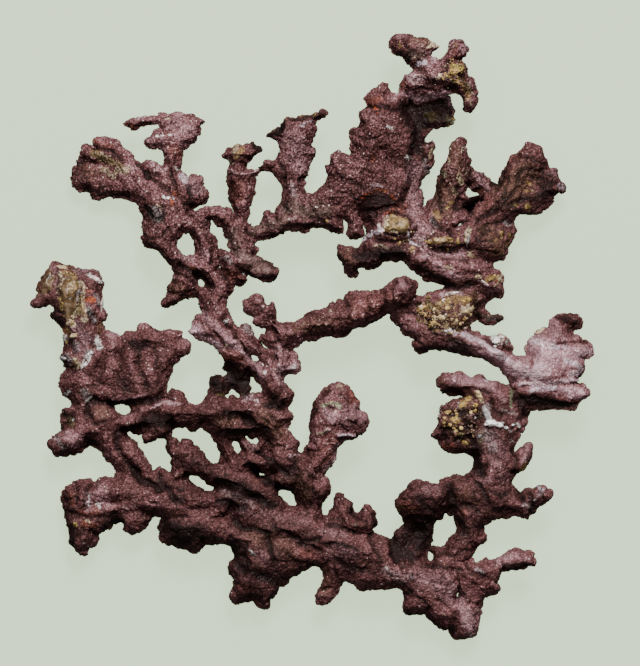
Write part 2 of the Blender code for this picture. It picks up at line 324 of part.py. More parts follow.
        (-4.4, -11.3), (-5.1, -10.9), (-5.2, -10.0), (-6.1, -9.6), (-6.0, -8.6), (-4.4, -8.0),
        (-3.0, -7.6), (-2.3, -6.8), (-2.9, -4.3), (-4.5, -3.3), FORK, (-8.7, -2.8), (-8.9, -3.2),
        FORK, (-10.8, -4.8), (-10.8, -5.0), (-12.0, -5.3), (-12.8, -4.6), (-13.6, -3.9),
    ],
    "centre": [
        (-21.7, -21.6), FORK, (-17.7, -21.7), (-17.5, -22.8), (-17.0, -24.2), (-16.4, -25.3),
        (-15.4, -24.8), (-15.9, -23.2), (-16.3, -21.7), FORK, (-15.4, -21.5), (-14.4, -22.2),
        (-12.2, -23.6), (-11.5, -23.5), FORK, (-10.8, -24.4), (-10.9, -24.8), (-10.3, -24.6),
        (-9.6, -25.4), (-9.2, -25.2), FORK, (-2.8, -25.9), (-1.9, -26.1), FORK, (1.7, -29.9),
        (1.9, -30.8), (3.3, -31.1), (3.5, -32.0), (4.1, -33.0), (3.7, -34.4), (3.0, -35.6),
        (2.4, -37.4), (2.5, -38.8), (3.0, -39.4), FORK, (-2.7, -36.5), (-3.8, -35.8),
        (-4.3, -34.6), (-5.0, -33.9), (-6.4, -33.4), (-7.4, -33.5), (-7.4, -34.5), (-6.6, -34.8),
        (-6.0, -35.6), (-5.6, -37.2), FORK, (-17.3, -38.6), (-17.3, -38.2), (-18.4, -37.9),
        (-20.0, -39.2), FORK, (-20.6, -33.2), FORK, (-19.6, -27.6), (-20.1, -26.7),
        (-19.9, -25.8), (-20.8, -23.6), (-21.0, -22.4),
    ],
    "centre_club": [
        (-1.9, -26.1), (-1.8, -24.4), (-1.4, -23.3), (-0.7, -22.6), (-0.5, -19.6), (-0.6, -18.0),
        (0.0, -15.8), (0.2, -14.1), (0.9, -13.9), (1.9, -11.7), (2.8, -10.7), (3.8, -10.1),
        (5.2, -9.9), (6.6, -10.1), (7.8, -10.5), (8.6, -11.4), (9.2, -12.5), (10.3, -13.9),
        (10.5, -14.8), (10.2, -15.7), (11.9, -16.9), (12.4, -18.0), (11.6, -20.3), (10.0, -21.7),
        (7.6, -22.7), (5.8, -24.0), (5.2, -24.7), (5.3, -26.0), (4.8, -27.0), (3.3, -28.6),
        (1.7, -29.9), FORK,
    ],
}

HOLES = {
    "left_arm": [
        [(-43.1, -14.5), (-41.6, -14.5), (-40.2, -15.1), (-39.6, -16.5), (-41.8, -16.9),
         (-43.2, -15.6)],
    ],
    "left_trunk": [[(-24.7, 12.7), (-23.5, 11.8), (-24.6, 11.7)]],
    "lower_right_corner": [[(31.8, -55.0), (32.4, -55.8), (31.5, -57.4), (31.6, -56.2)]],
    "hub": [
        [(-13.5, -8.5), (-12.6, -8.6), (-12.0, -9.4), (-11.0, -9.9), (-10.7, -11.4),
         (-10.9, -12.2), (-13.8, -12.2), (-13.4, -11.3), (-13.7, -9.4)],
        [(-19.1, -12.9), (-18.1, -11.4), (-17.5, -11.4), (-16.0, -12.4), (-15.9, -13.1),
         (-17.6, -12.5), (-18.3, -13.1)],
    ],
    "centre": [[(-11.6, -28.8), (-10.4, -29.4), (-8.4, -29.4), (-8.3, -30.0), (-11.5, -30.5)]],
    "blade": [
        [(33.4, 32.1), (34.2, 33.0), (34.9, 31.8), (36.3, 31.6), (36.2, 30.2), (35.4, 29.3),
         (35.0, 27.9), (33.9, 27.9), (33.3, 29.4), (34.6, 30.3)],
    ],
    "cluster_right": [[(31.4, 24.2), (32.4, 25.4), (33.6, 26.2), (33.9, 25.7), (32.7, 24.7)]],
}

# Relief: the height of a limb's middle and half its thickness at chosen places, x, y, middle, half

RELIEF = [
    (-54, 10, 6.5, 2.6), (-50, -2, 6.5, 2.8), (-47, -8, 7.0, 2.8), (-36, -3, 8.2, 2.4),
    (-54, -22, 4.6, 3.4), (-44, -18, 5.6, 3.4), (-30, -16, 7.4, 3.4), (-49, -38, 3.8, 3.6),
    (-38, -34, 5.4, 3.6), (-26, -26, 6.4, 2.6), (-27, -38, 6.0, 4.0), (-46, 37, 2.6, 2.2),
    (-40, 34, 4.6, 2.4), (-31, 45, 8.0, 1.5), (-33, 28, 6.6, 3.4), (-31, 19, 7.0, 3.4),
    (-28, 10, 6.2, 3.0), (-21, 5, 8.0, 3.4), (-20, 28, 7.4, 2.6), (-23, 20, 5.8, 2.6),
    (-16, 19, 8.2, 3.0), (-9, 14.5, 8.4, 2.4), (-15.5, 33, 8.0, 2.2), (-15.5, 41, 8.6, 2.6),
    (-4, 26, 7.8, 3.0), (-4, 37, 7.2, 2.4), (-2, 47, 8.8, 2.0), (9, 33, 8.6, 2.8),
    (14, 48, 10.0, 2.0), (25, 37, 5.6, 1.7), (24, 50, 6.0, 2.2), (21, 63, 8.2, 2.8),
    (30, 58, 9.0, 3.2), (31, 38, 8.4, 1.7), (36, 34, 5.6, 2.0), (47, 35, 3.6, 3.0),
    (42, 29, 6.4, 3.0), (15, 19, 8.6, 3.8), (33, 20, 8.0, 4.4), (41, 12, 7.4, 3.2),
    (-12, 6, 9.0, 3.2), (-6, 1, 8.0, 3.4), (5, 4.5, 8.2, 3.4), (20, 10.5, 11.2, 3.2),
    (20, 3.5, 7.0, 3.4), (30, 4, 8.4, 4.4), (39.5, 4.5, 5.4, 1.8), (40, -3, 9.6, 3.0),
    (52, -6, 10.4, 2.4), (56, -12, 9.0, 2.4), (30, -9.5, 9.4, 2.8), (34, -19, 7.6, 4.2),
    (42, -16, 7.4, 3.8), (46.5, -26, 8.4, 1.6), (40, -27, 6.8, 4.0), (48, -36, 8.0, 2.6),
    (35, -36, 6.4, 4.0), (23, -37, 8.0, 3.4), (23, -44, 5.4, 3.2), (28, -52, 5.6, 3.6),
    (45, -48, 7.4, 2.4), (33, -61, 3.9, 3.8), (10, -47, 6.6, 4.0), (3.5, -56, 5.4, 2.4),
    (-8, -43, 6.6, 4.4), (-11, -54, 4.4, 4.2), (-12, -32, 7.0, 4.2), (-14, -24, 7.6, 3.6),
    (0, -32, 7.2, 3.8), (6, -16, 9.4, 3.6), (-8, -20, 7.2, 3.8), (-17, -9, 4.8, 3.2),
    (-9, -9, 8.4, 3.4), (7, -38, 6.0, 3.0), (-20, -16, 7.6, 3.4),
]

# How far a limb that lies over its neighbours stands above the smooth run of the relief

LIFT = {"big_leaf": 1.2, "middle_arm": 0.6, "crown": 1.0, "right_leaf": 0.8, "back_leaf": -1.0}

# Where the growth touches the surface it rests on: x, y, radius of the flat

FEET = [(-48.5, -38.5, 4.5), (33.0, -61.0, 4.5), (-46.0, 37.0, 4.5), (47.0, 35.0, 4.5)]
FOOT_FADE = 3.0

# Crests and hollows drawn on the upper side: height, half width, then the points along them

STROKES = [
    (1.2, 1.3, [(-53, -9), (-46, -4), (-40, 1)]),
    (1.0, 1.2, [(-51, -11), (-42, -5), (-35, 2)]),
    (1.0, 1.2, [(-48, -12), (-38, -6), (-29.5, -1)]),
    (-1.3, 1.0, [(-50, -9), (-41, -3), (-37, 1.5)]),
    (-1.2, 1.0, [(-46, -11), (-37, -5.5), (-31, -1.5)]),
    (1.4, 1.4, [(-55, -23), (-49, -21), (-44, -17), (-37, -18), (-30, -17), (-23, -16)]),
    (-1.6, 1.0, [(-47, -13.8), (-38, -14.5), (-33, -17)]),
    (-1.8, 1.1, [(-48, -22.5), (-47.5, -24)]),
    (1.3, 1.4, [(-52, -36), (-46, -33.5), (-40, -34), (-34, -36)]),
    (1.1, 1.3, [(-50, -44), (-46, -38), (-41, -37)]),
    (-1.5, 1.0, [(-42, -28.5), (-38, -30), (-34, -32.5)]),
    (-1.4, 1.0, [(-44, -36), (-38, -39), (-38, -42)]),
    (1.2, 1.3, [(-30, -24), (-26, -26.5), (-21.5, -30.5)]),
    (1.4, 1.6, [(-32, -36), (-26, -35.5), (-21, -36.5)]),
    (-1.8, 1.1, [(-29, -38.5), (-24, -38), (-21, -37.5)]),
    (1.3, 1.6, [(-30, -42), (-25, -42), (-19, -42)]),
    (1.2, 1.4, [(-49, 35), (-42, 35.5), (-36, 33), (-32, 28), (-33, 22)]),
    (1.1, 1.2, [(-48, 41), (-43, 38.5), (-38, 36)]),
    (-1.2, 0.9, [(-50, 38), (-44, 36.8), (-39, 34.5)]),
    (0.9, 1.0, [(-24.5, 46), (-28, 44), (-31, 40)]),
    (0.9, 1.0, [(-30, 48.5), (-31, 45), (-31, 41)]),
    (1.3, 1.3, [(-34, 21), (-29, 17), (-24, 14), (-20, 9), (-20, 3), (-17, -1.5)]),
    (1.1, 1.2, [(-32, 8), (-27, 12), (-23, 10)]),
    (-1.9, 0.9, [(-27, 15), (-24, 13.5), (-20.5, 9)]),
    (-1.5, 0.9, [(-21.5, 13), (-17.5, 12.5)]),
    (1.1, 1.2, [(-15, 1.5), (-12.5, -2), (-10, -4)]),
    (-1.5, 0.8, [(-17, 1.5), (-14, -2.5)]),
    (1.1, 1.1, [(-15.5, 40), (-15.5, 33), (-15, 27)]),
    (1.1, 1.1, [(-23, 18), (-23.5, 24), (-20.5, 27.3), (-17, 24)]),
    (1.2, 1.3, [(-18, 18), (-13, 16), (-8, 14.3)]),
    (1.1, 1.2, [(-9.8, 26.5), (-8, 24), (-4, 26), (1, 27), (5, 26)]),
    (1.0, 1.1, [(-4, 31), (-4, 37), (-3.5, 43), (-4, 47)]),
    (1.3, 1.4, [(4, 31), (9, 36), (14, 45), (15.5, 53)]),
    (0.9, 1.2, [(4.5, 39), (8, 34), (12, 31)]),
    (0.9, 1.2, [(11, 49), (13, 40), (17, 32)]),
    (-0.9, 0.9, [(12, 50.5), (15, 42), (17.5, 35)]),
    (-1.0, 0.8, [(21.5, 52), (22.5, 49), (24, 46.5)]),
    (0.8, 1.0, [(25, 42), (25, 36), (22.5, 30)]),
    (1.4, 1.4, [(18, 64.5), (22, 62.5), (26, 59), (30, 62.5), (32.5, 64)]),
    (1.3, 1.3, [(21, 56), (26, 56.5), (31, 57), (34.5, 53)]),
    (-1.6, 1.1, [(22.5, 60.3), (26, 60.8), (28, 59.5)]),
    (0.9, 0.9, [(28, 30), (31, 37), (32.8, 42)]),
    (1.4, 1.5, [(40, 27), (44, 32), (48.5, 38)]),
    (1.1, 1.3, [(44, 28), (48, 31), (53, 33)]),
    (-1.2, 1.0, [(43, 30), (47, 33), (51, 36.5)]),
    (1.4, 1.5, [(8, 16), (14, 18), (21, 18), (28, 16), (36, 14), (40, 11)]),
    (1.3, 1.4, [(26, 24), (33, 22), (40, 20)]),
    (-1.7, 1.1, [(25, 19.5), (32, 18.5), (38, 17)]),
    (1.5, 1.6, [(-4, 1.5), (2, 3.5), (8, 5.5), (14, 7), (20, 10.5)]),
    (-1.5, 1.0, [(16, 6), (20, 7.3), (25, 7.2)]),
    (1.2, 1.4, [(22, -2), (28, -1), (34, -1)]),
    (1.5, 1.4, [(34, 0), (40, -2.5), (46, -6), (52, -8)]),
    (0.9, 1.2, [(50, -5), (54, 1), (56, 3.5)]),
    (-1.0, 1.0, [(48, -4.5), (53, -2), (58, -4)]),
    (1.5, 1.4, [(29, -9.2), (34, -9.6), (40, -11), (43.5, -13)]),
    (-2.0, 1.1, [(29.5, -11.6), (33, -11.8)]),
    (1.3, 1.5, [(41, -15), (41, -22), (40, -29), (36, -34)]),
    (0.9, 0.9, [(47.3, -24.5), (46, -27), (43.5, -28.5)]),
    (1.3, 1.3, [(39, -35), (45, -36), (51, -33.8)]),
    (-1.4, 1.0, [(31, -34), (31.5, -37)]),
    (1.5, 1.7, [(20, -35), (24, -34), (28, -34.5)]),
    (-2.2, 1.6, [(20.5, -40.5), (24, -43), (20.5, -46)]),
    (1.3, 1.5, [(27, -50), (31, -55), (34, -62)]),
    (1.1, 1.2, [(33, -52), (40, -50), (46.5, -48)]),
    (-1.3, 0.9, [(31.5, -48), (32, -53)]),
    (1.4, 1.6, [(-14, -45), (-6, -42), (3, -44), (12, -47), (20, -51)]),
    (1.2, 1.4, [(7, -36.5), (8, -40), (12, -41)]),
    (-1.6, 1.1, [(4, -41.5), (10, -42.5), (15, -45)]),
    (1.4, 1.6, [(-15, -54), (-11, -49), (-6, -47)]),
    (-1.5, 1.0, [(-14.5, -42.5), (-10, -44.5), (-5, -44)]),
    (1.3, 1.3, [(-22, -15.5), (-14, -15.5), (-8, -21), (-2, -28), (0, -34)]),
    (1.3, 1.2, [(-19, -18.5), (-14, -20), (-9, -23.5), (-5, -28)]),
    (-1.8, 0.9, [(-19, -17), (-14, -17.8), (-9, -22), (-4, -27.5)]),
    (1.2, 1.2, [(-19, -24), (-14, -27), (-8, -31.5), (0, -36)]),
    (-1.7, 0.9, [(-15, -29), (-11, -31.5), (-8, -32.5)]),
    (1.3, 1.3, [(-20, -30), (-15, -32.5), (-9, -35.5)]),
    (-1.8, 0.9, [(-19, -33.8), (-13, -35.3), (-8, -36.6)]),
    (1.4, 1.4, [(-8, -4), (-7, -9), (-8, -14), (-6, -17)]),
    (-2.4, 1.8, [(-18, -6), (-17, -9), (-20, -11)]),
    (1.6, 2.2, [(4, -13), (6, -17), (3, -23), (0, -29)]),
    (-1.2, 1.0, [(6, -20), (10, -20.5)]),
]

# Mineral lumps that the copper grew round: host, place, half sizes, turn in degrees, colour

YELLOW, CREAM, WHITE = (0.55, 0.42, 0.13), (0.66, 0.58, 0.42), (0.80, 0.78, 0.74)
MINERALS = {
    "left_tip_matrix": ("left_tip", (-53.4, 9.6, 8.0), (4.0, 5.4, 2.7), 10, CREAM),
    "cluster_matrix": ("cluster_left", (18.4, 23.8, 12.0), (4.4, 2.9, 2.6), 15, CREAM),
    "cluster_crystal": ("cluster_right", (29.8, 21.0, 12.4), (3.4, 1.5, 1.6), -8, CREAM),
    "crown_matrix": ("crown", (31.0, 57.6, 12.6), (2.7, 2.2, 2.2), 0, YELLOW),
    "middle_matrix": ("matrix_arm", (29.6, 5.4, 12.0), (5.2, 3.3, 3.0), 12, CREAM),
    "bridge_crystal": ("right_bridge", (40.6, -1.1, 12.0), (1.9, 1.2, 1.5), -25, WHITE),
    "right_arm_matrix": ("right_arm", (32.6, -17.6, 10.2), (4.9, 4.9, 3.4), 0, YELLOW),
    "right_arm_crystal": ("right_arm", (40.2, -18.8, 11.4), (2.3, 1.1, 1.2), 0, WHITE),
}
MINERAL_ROUGHNESS = 0.35
MINERAL_LUMP = 0.16       # how far its surface departs from an ellipsoid, as a share of its size

# Copper darkened by cuprite: the colours of the thick limbs and of the thin leaves

DARK_COPPER, LEAF_COPPER = (0.105, 0.040, 0.036), (0.150, 0.062, 0.062)
LEAVES = ("bird_leaf", "big_leaf", "back_leaf", "blade", "upper_right_fan", "right_leaf")
COPPER_ROUGHNESS, COPPER_METALLIC = 0.62, 0.35

# How the meshes are made

SAME_PLACE = 1e-5         # two points nearer than this are one
FILL_ROUNDS = 4           # most times that points are added to keep sides off the rim
UPPER, UNDER = 0, 5       # parts of the lump pattern that the two sides take
TINY = 1e-9               # keeps a division by zero away


def split_outline(outline):
    """The outline's points counter-clockwise, and for each the flag that a fork follows it."""
    points, forks = [], []
    for item in outline:
        if item == FORK:
            forks[-1] = True
        else:
            points.append(item)
            forks.append(False)
    points = np.array(points, float)
    x, y = points.T
    if (x * np.roll(y, -1) - np.roll(x, -1) * y).sum() < 0:
        points = points[::-1]
        forks = forks[-2::-1] + forks[-1:]
    return points, forks


def drawn_in(points, forks):
    """The outline with each fork's face drawn in by half of the parting gap."""
    steps = np.roll(points, -1, axis=0) - points
    inward = np.column_stack((-steps[:, 1], steps[:, 0])) / np.linalg.norm(steps, axis=1)[:, None]
    inward[~np.array(forks)] = 0
    before = np.roll(inward, 1, axis=0)
    share = 1 + np.clip((inward * before).sum(axis=1), -0.5, 1)
    return points + (inward + before) / share[:, None] * PARTING_GAP / 2


def with_fork_points(points, forks):
    """Adds points along each fork's face, so that it can take the limb's cross-section."""
    dense = []
    for i, point in enumerate(points):
        end = points[(i + 1) % len(points)]
        count = max(2, round(np.linalg.norm(end - point) / TOP_SPACING)) if forks[i] else 1
        dense += [point + (end - point) * k / count for k in range(count)]
    return np.array(dense)


def key(place):
    """The place, rounded so that it can be looked up."""
    return tuple(np.round(place, 3))


def distance(places, starts, ends):
    """From each place to the nearest of the straight steps."""
    nearest = np.full(len(places), np.inf)
    for start, end in zip(starts, ends):
        step = end - start
        share = np.clip((places - start) @ step / max(step @ step, TINY), 0, 1)
        gap = np.linalg.norm(places - start - share[:, None] * step, axis=1)
        nearest = np.minimum(nearest, gap)
    return nearest


def inside(places, loop):
    x, y = places[:, 0], places[:, 1]
    found = np.zeros(len(places), bool)
    for (ax, ay), (bx, by) in zip(loop, np.roll(loop, -1, axis=0)):
        spans = (ay > y) != (by > y)
        if spans.any():
            found ^= spans & (x < (bx - ax) * (y - ay) / (by - ay if by != ay else TINY) + ax)
    return found


def free_edges():
    """Start and end of every outline step that is open to the air, of all limbs and holes."""
    starts, ends = [], []
    for outline in OUTLINES.values():
        points, forks = split_outline(outline)
        free = ~np.array(forks)
        starts.append(points[free])
        ends.append(np.roll(points, -1, axis=0)[free])
    for holes in HOLES.values():
        for hole in holes:
            starts.append(np.array(hole, float))
            ends.append(np.roll(np.array(hole, float), -1, axis=0))
    return np.concatenate(starts), np.concatenate(ends)


def relief(places):
    """The middle height and half thickness at each place, blended from the chosen ones."""
    chosen = np.array(RELIEF, float)
    gaps = np.linalg.norm(places[:, None] - chosen[None, :, :2], axis=2)
    weights = 1 / (gaps**BLENDING + 1)
    blended = weights @ chosen[:, 2:] / weights.sum(axis=1)[:, None]
    return blended[:, 0], blended[:, 1]


def lumps(places, side):
    """Rounded lumps from -1 to 1; side picks another part of the same pattern."""
    return np.array([
        noise.noise(Vector((x / LUMP_SIZE, y / LUMP_SIZE, side)))
        + FINE_LUMPS * noise.noise(Vector((2 * x / LUMP_SIZE, 2 * y / LUMP_SIZE, side + 9)))
        for x, y in places
    ])


def stroke_height(places):
    total = np.zeros(len(places))
    for height, width, points in STROKES:
        run = np.array(points, float)
        total += height * np.exp(-((distance(places, run[:-1], run[1:]) / width) ** 2))
    return total


def sides(places, name, edges, on_rim):
    """Heights of the upper and the under side at each place. They meet at the rim."""
    middle, half = relief(places)
    middle = middle + LIFT.get(name, 0)
    depth = np.clip(distance(places, *edges) / SHOULDER_WIDTH, 0, 1)
    swell = np.sqrt(1 - (1 - depth) ** 2)
    upper = middle + swell * (half + LUMP_HEIGHT * lumps(places, UPPER) + stroke_height(places))
    under = middle - swell * (half + LUMP_HEIGHT * lumps(places, UNDER))
    for x, y, radius in FEET:
        reach = np.linalg.norm(places - (x, y), axis=1)
        pressed = np.clip(1 - (reach - radius) / FOOT_FADE, 0, 1)
        under = under * (1 - pressed)
    under = np.maximum(under, 0)
    upper = np.maximum(upper, under + LEAST_THICKNESS)
    return np.where(on_rim, middle, upper), np.where(on_rim, middle, under)


def grid_inside(loops, spacing):
    """A staggered grid over the limb, clear of its outline and of its holes."""
    low, high = loops[0].min(axis=0), loops[0].max(axis=0)
    rows = np.arange(low[1], high[1], spacing * math.sqrt(3) / 2)
    found = []
    for count, y in enumerate(rows):
        xs = np.arange(low[0] + spacing / 2 * (count % 2), high[0], spacing)
        found.append(np.column_stack((xs, np.full(len(xs), y))))
    places = np.concatenate(found)
    keep = inside(places, loops[0])
    for loop in loops:
        keep &= distance(places, loop, np.roll(loop, -1, axis=0)) > EDGE_CLEARANCE
    for hole in loops[1:]:
        keep &= ~inside(places, hole)
    return places[keep]


def filled(loops, inner):
    """Places and triangles, counter-clockwise, that fill the outline and spare the holes."""
    places, links = [], []
    for loop in loops:
        first = len(places)
        places += list(loop)
        links += [(first + i, first + (i + 1) % len(loop)) for i in range(len(loop))]
    places += list(inner)
    found = delaunay_2d_cdt([Vector(p) for p in places], links, [], 0, SAME_PLACE)
    points = np.array([tuple(v) for v in found[0]])
    faces = np.array([face for face in found[2] if len(face) == 3])
    centres = points[faces].mean(axis=1)
    keep = inside(centres, loops[0])
    for hole in loops[1:]:
        keep &= ~inside(centres, hole)
    return points, faces[keep]


def triangulated(loops, spacing):
    """As filled, with inner points such that no triangle's side joins the rim to the rim."""
    on_loop = {key(place) for loop in loops for place in loop}
    inner = grid_inside(loops, spacing)
    for _ in range(FILL_ROUNDS):
        points, faces = filled(loops, inner)
        outer = np.array([key(place) in on_loop for place in points])
        edges = np.concatenate([faces[:, [0, 1]], faces[:, [1, 2]], faces[:, [2, 0]]])
        edges, uses = np.unique(np.sort(edges, axis=1), axis=0, return_counts=True)
        crossing = edges[(uses == 2) & outer[edges].all(axis=1)]
        if not len(crossing):
            break
        inner = np.concatenate([inner, points[crossing].mean(axis=1)])
    return points, faces


def rim_steps(faces):
    """The directed edges that only one triangle has."""
    edges = np.concatenate([faces[:, [0, 1]], faces[:, [1, 2]], faces[:, [2, 0]]])
    known = {tuple(edge) for edge in edges}
    return [edge for edge in known if edge[::-1] not in known]


def limb_mesh(name, edges):
    """One limb: an upper and an under side that meet at the rim, and a flat face at each fork."""
    outline, forks = split_outline(OUTLINES[name])
    drawn = drawn_in(outline, forks)
    loops = [with_fork_points(drawn, forks)]
    loops += [np.array(hole, float) for hole in HOLES.get(name, [])]
    rim = {key(place) for i, place in enumerate(drawn) if not (forks[i] and forks[i - 1])}
    rim |= {key(place) for hole in loops[1:] for place in hole}
    upper, upper_faces = triangulated(loops, TOP_SPACING)
    under, under_faces = triangulated(loops, UNDER_SPACING)
    top = sides(upper, name, edges, [key(place) in rim for place in upper])[0]
    bottom = sides(under, name, edges, [key(place) in rim for place in under])[1]
    places = {key(place): i for i, place in enumerate(upper)}
    corners = [(x, y, z) for (x, y), z in zip(upper, top)]
    below = {}
    numbers = []
    for (x, y), z in zip(under, bottom):
        place = key((x, y))
        if place in rim:
            numbers.append(places[place])
        else:
            numbers.append(len(corners))
            corners.append((x, y, z))
        below[place] = numbers[-1]
    faces = [tuple(face) for face in upper_faces]
    faces += [tuple(np.array(numbers)[face[::-1]]) for face in under_faces]
    for start, end in rim_steps(upper_faces):
        ring = (end, start, below[key(upper[start])], below[key(upper[end])])
        ring = tuple(dict.fromkeys(ring))
        if len(ring) > 2:
            faces.append(ring)
    mesh = bpy.data.meshes.new(name)
    mesh.from_pydata([Vector(corner) * MM for corner in corners], [], faces)
    mesh.update()
    return mesh


def finish(name, colour, roughness, metallic):
    material = bpy.data.materials.new(name)
    material.use_nodes = True
    shader = material.node_tree.nodes["Principled BSDF"]
    shader.inputs["Base Color"].default_value = (*colour, 1)
    shader.inputs["Roughness"].default_value = roughness
    shader.inputs["Metallic"].default_value = metallic
    material.diffuse_color = (*colour, 1)
    return material


def add(name, mesh):
    piece = bpy.data.objects.new(name, mesh)
    bpy.context.scene.collection.objects.link(piece)
    return piece


def mineral_mesh(name, half_sizes, grown):
    """A knobbly lump of the given half sizes, with every side moved out by grown."""
    bm = bmesh.new()
    bmesh.ops.create_icosphere(bm, subdivisions=2, radius=1)
    sizes = Vector(half_sizes)
    for vert in bm.verts:
        bump = 1 + MINERAL_LUMP * noise.noise(vert.co * 1.7 + sizes)
        vert.co = Vector((c * s * bump + c * grown for c, s in zip(vert.co, sizes))) * MM
    mesh = bpy.data.meshes.new(name)
    bm.to_mesh(mesh)
    bm.free()
    return mesh


def place_mineral(name):
    """Adds one mineral and the hidden, slightly larger shape that makes its pocket."""
    _, place, half_sizes, turn, colour = MINERALS[name]
    matrix = Matrix.Translation(Vector(place) * MM) @ Matrix.Rotation(math.radians(turn), 4, "Z")
    mineral = add(name, mineral_mesh(name, half_sizes, 0))
    mineral.data.materials.append(finish(name, colour, MINERAL_ROUGHNESS, 0))
    pocket = add(name + "_pocket", mineral_mesh(name + "_pocket", half_sizes, PARTING_GAP))
    pocket.hide_render = True
    pocket.display_type = "WIRE"
    mineral.matrix_world = pocket.matrix_world = matrix
    return pocket


def main():
    for obj in list(bpy.data.objects):
        bpy.data.objects.remove(obj)
    edges = free_edges()
    pockets = {name: place_mineral(name) for name in MINERALS}
    for name in OUTLINES:
        limb = add(name, limb_mesh(name, edges))
        colour = LEAF_COPPER if name in LEAVES else DARK_COPPER
        limb.data.materials.append(finish(name, colour, COPPER_ROUGHNESS, COPPER_METALLIC))
        for mineral, pocket in pockets.items():
            if MINERALS[mineral][0] == name:
                cut = limb.modifiers.new(pocket.name, "BOOLEAN")
                cut.operation = "DIFFERENCE"
                cut.object = pocket


main()
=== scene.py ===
"""Looks of the arborescent native copper: its fine skin, its lumps of mineral and a photo studio.

The CAD limbs are fused into one growth, given the sugary skin of copper crystals, and parted again
at the forks. Sizes are in millimetres, and MM turns them into metres. X runs to the right of the
picture and Y to its top.
"""

import math

import bmesh
import bpy
import numpy as np
from mathutils import Matrix, Vector, noise
from mathutils.bvhtree import BVHTree


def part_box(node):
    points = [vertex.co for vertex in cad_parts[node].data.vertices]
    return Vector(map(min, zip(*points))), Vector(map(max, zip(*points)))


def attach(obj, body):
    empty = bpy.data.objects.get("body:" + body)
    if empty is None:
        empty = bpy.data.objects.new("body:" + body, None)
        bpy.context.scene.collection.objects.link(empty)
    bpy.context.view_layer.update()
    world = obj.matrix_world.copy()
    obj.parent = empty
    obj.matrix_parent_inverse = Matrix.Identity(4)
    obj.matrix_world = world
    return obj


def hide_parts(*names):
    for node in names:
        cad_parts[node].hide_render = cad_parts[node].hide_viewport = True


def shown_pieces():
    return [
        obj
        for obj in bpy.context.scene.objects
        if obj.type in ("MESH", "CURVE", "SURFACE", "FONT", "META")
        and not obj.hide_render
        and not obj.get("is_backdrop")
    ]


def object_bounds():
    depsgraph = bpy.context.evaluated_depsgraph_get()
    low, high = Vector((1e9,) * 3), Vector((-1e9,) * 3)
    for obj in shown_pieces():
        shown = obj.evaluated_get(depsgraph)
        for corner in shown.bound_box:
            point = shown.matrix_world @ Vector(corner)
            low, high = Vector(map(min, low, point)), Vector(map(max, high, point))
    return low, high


MM = 0.001

# The camera and the picture

PICTURE_WIDTH, PICTURE_HEIGHT = 140.8, 146.5
PICTURE_CENTRE = (1.76, 1.1)
CAMERA_HEIGHT = 1500

# The skin

VOXEL = 0.21              # size of the skin's faces
UNDERSIDE, UNDER_CELL = -0.1, 0.62  # faces that look lower than this are merged to that size
CAP_DEPTH = 0.8           # how far inside the skin a limb's cap at a fork lies
FORK_REACH = 1.4          # how far a limb is let into its neighbour before the two are fused
FORK_GAP = 0.45           # a point nearer than this to another limb lies on a fork's face
SMOOTHING_ROUNDS = 16
KNOB_SIZE, KNOB_HEIGHT = 2.2, 0.26
GRAIN_SIZE, GRAIN_HEIGHT = 0.95, 0.2
SUGAR_SIZE, SUGAR_HEIGHT = 0.5, 0.12
WAVE_SIZE, WAVE_HEIGHT = 7.0, 0.4
RIM_KNOBS = 1.6           # how much higher the knobs stand at the rim, as teeth
RIM_SWELL = 0.22          # gives the rim back what the smoothing took
MARK_HEIGHT, MARK_TONE = 0.85, 0.8  # shares of the drawn marks' heights and tones
WARP_SIZE, WARP = 1.7, 0.5  # how the drawn marks and the crystals wander
RAGGED_SIZES = (1.3, 0.5)   # of the raggedness of a patch's edge

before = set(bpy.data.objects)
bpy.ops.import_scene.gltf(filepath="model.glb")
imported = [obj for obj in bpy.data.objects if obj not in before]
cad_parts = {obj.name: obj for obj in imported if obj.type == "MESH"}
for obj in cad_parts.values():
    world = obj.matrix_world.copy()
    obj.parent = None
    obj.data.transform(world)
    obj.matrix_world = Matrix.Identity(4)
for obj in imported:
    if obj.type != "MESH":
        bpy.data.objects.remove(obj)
CAD_LOW, CAD_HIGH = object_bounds()

MINERALS = ["left_tip_matrix", "cluster_matrix", "cluster_crystal", "crown_matrix", "middle_matrix",
            "bridge_crystal", "right_arm_matrix", "right_arm_crystal"]
LIMBS = sorted(set(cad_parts) - set(MINERALS))
SHEET_RINGS, SHEET_SIDES = 9, 32
LARGE_SHEET = 1.7         # half length above which a sheet is smooth, not angular
SHEET_RAGGED = 0.5        # how uneven a sheet's outline is
SHEET_RIM = 0.35          # how deep its rim is let into the skin

# Limbs that are parted along a curve, and the limb whose skin theirs is one piece with

ONE_PIECE = {"back_leaf": "big_leaf"}

# Drawn ridges and furrows: height, change of tone, half width, points
# The change of tone is mostly painted light on ridges and ledges, and painted shade in furrows and under ledges.

MARKS = []

# Colours

COPPER_METALLIC = 0.25
# The glint colour is for painted glints: pale specks in the copper's colour where it is lighter.
GLINT = (0.74, 0.64, 0.60)
GLINT_SIZE, GLINTS = 0.42, 0.935
SPECKS = 1.15             # how far the fine specks change the tone
SPECK_SIZE = 0.4
# The relief and crust tones make knob and grain tops lighter and the hollows between them darker, painted light and
# shade; the side tone is painted shade on steep sides.
BASE_TONE, RELIEF_TONE, CRUST_TONE, SIDE_TONE = 0.385, 0.22, 1.0, -0.04
COPPER_TONES = (
    (0.0, (0.012, 0.0045, 0.004)),
    (0.25, (0.043, 0.0155, 0.014)),
    (0.5, (0.118, 0.045, 0.044)),
    (0.75, (0.242, 0.124, 0.134)),
    (1.0, (0.500, 0.340, 0.370)),
)
PATCH_TONES = ((0.0, (0.1, 0.1, 0.1)), (0.25, (0.4, 0.4, 0.4)), (0.5, (1, 1, 1)), (1.0, (1.6, 1.6, 1.6)))

# Where the grain is crisper or softer than elsewhere: place, radius, change

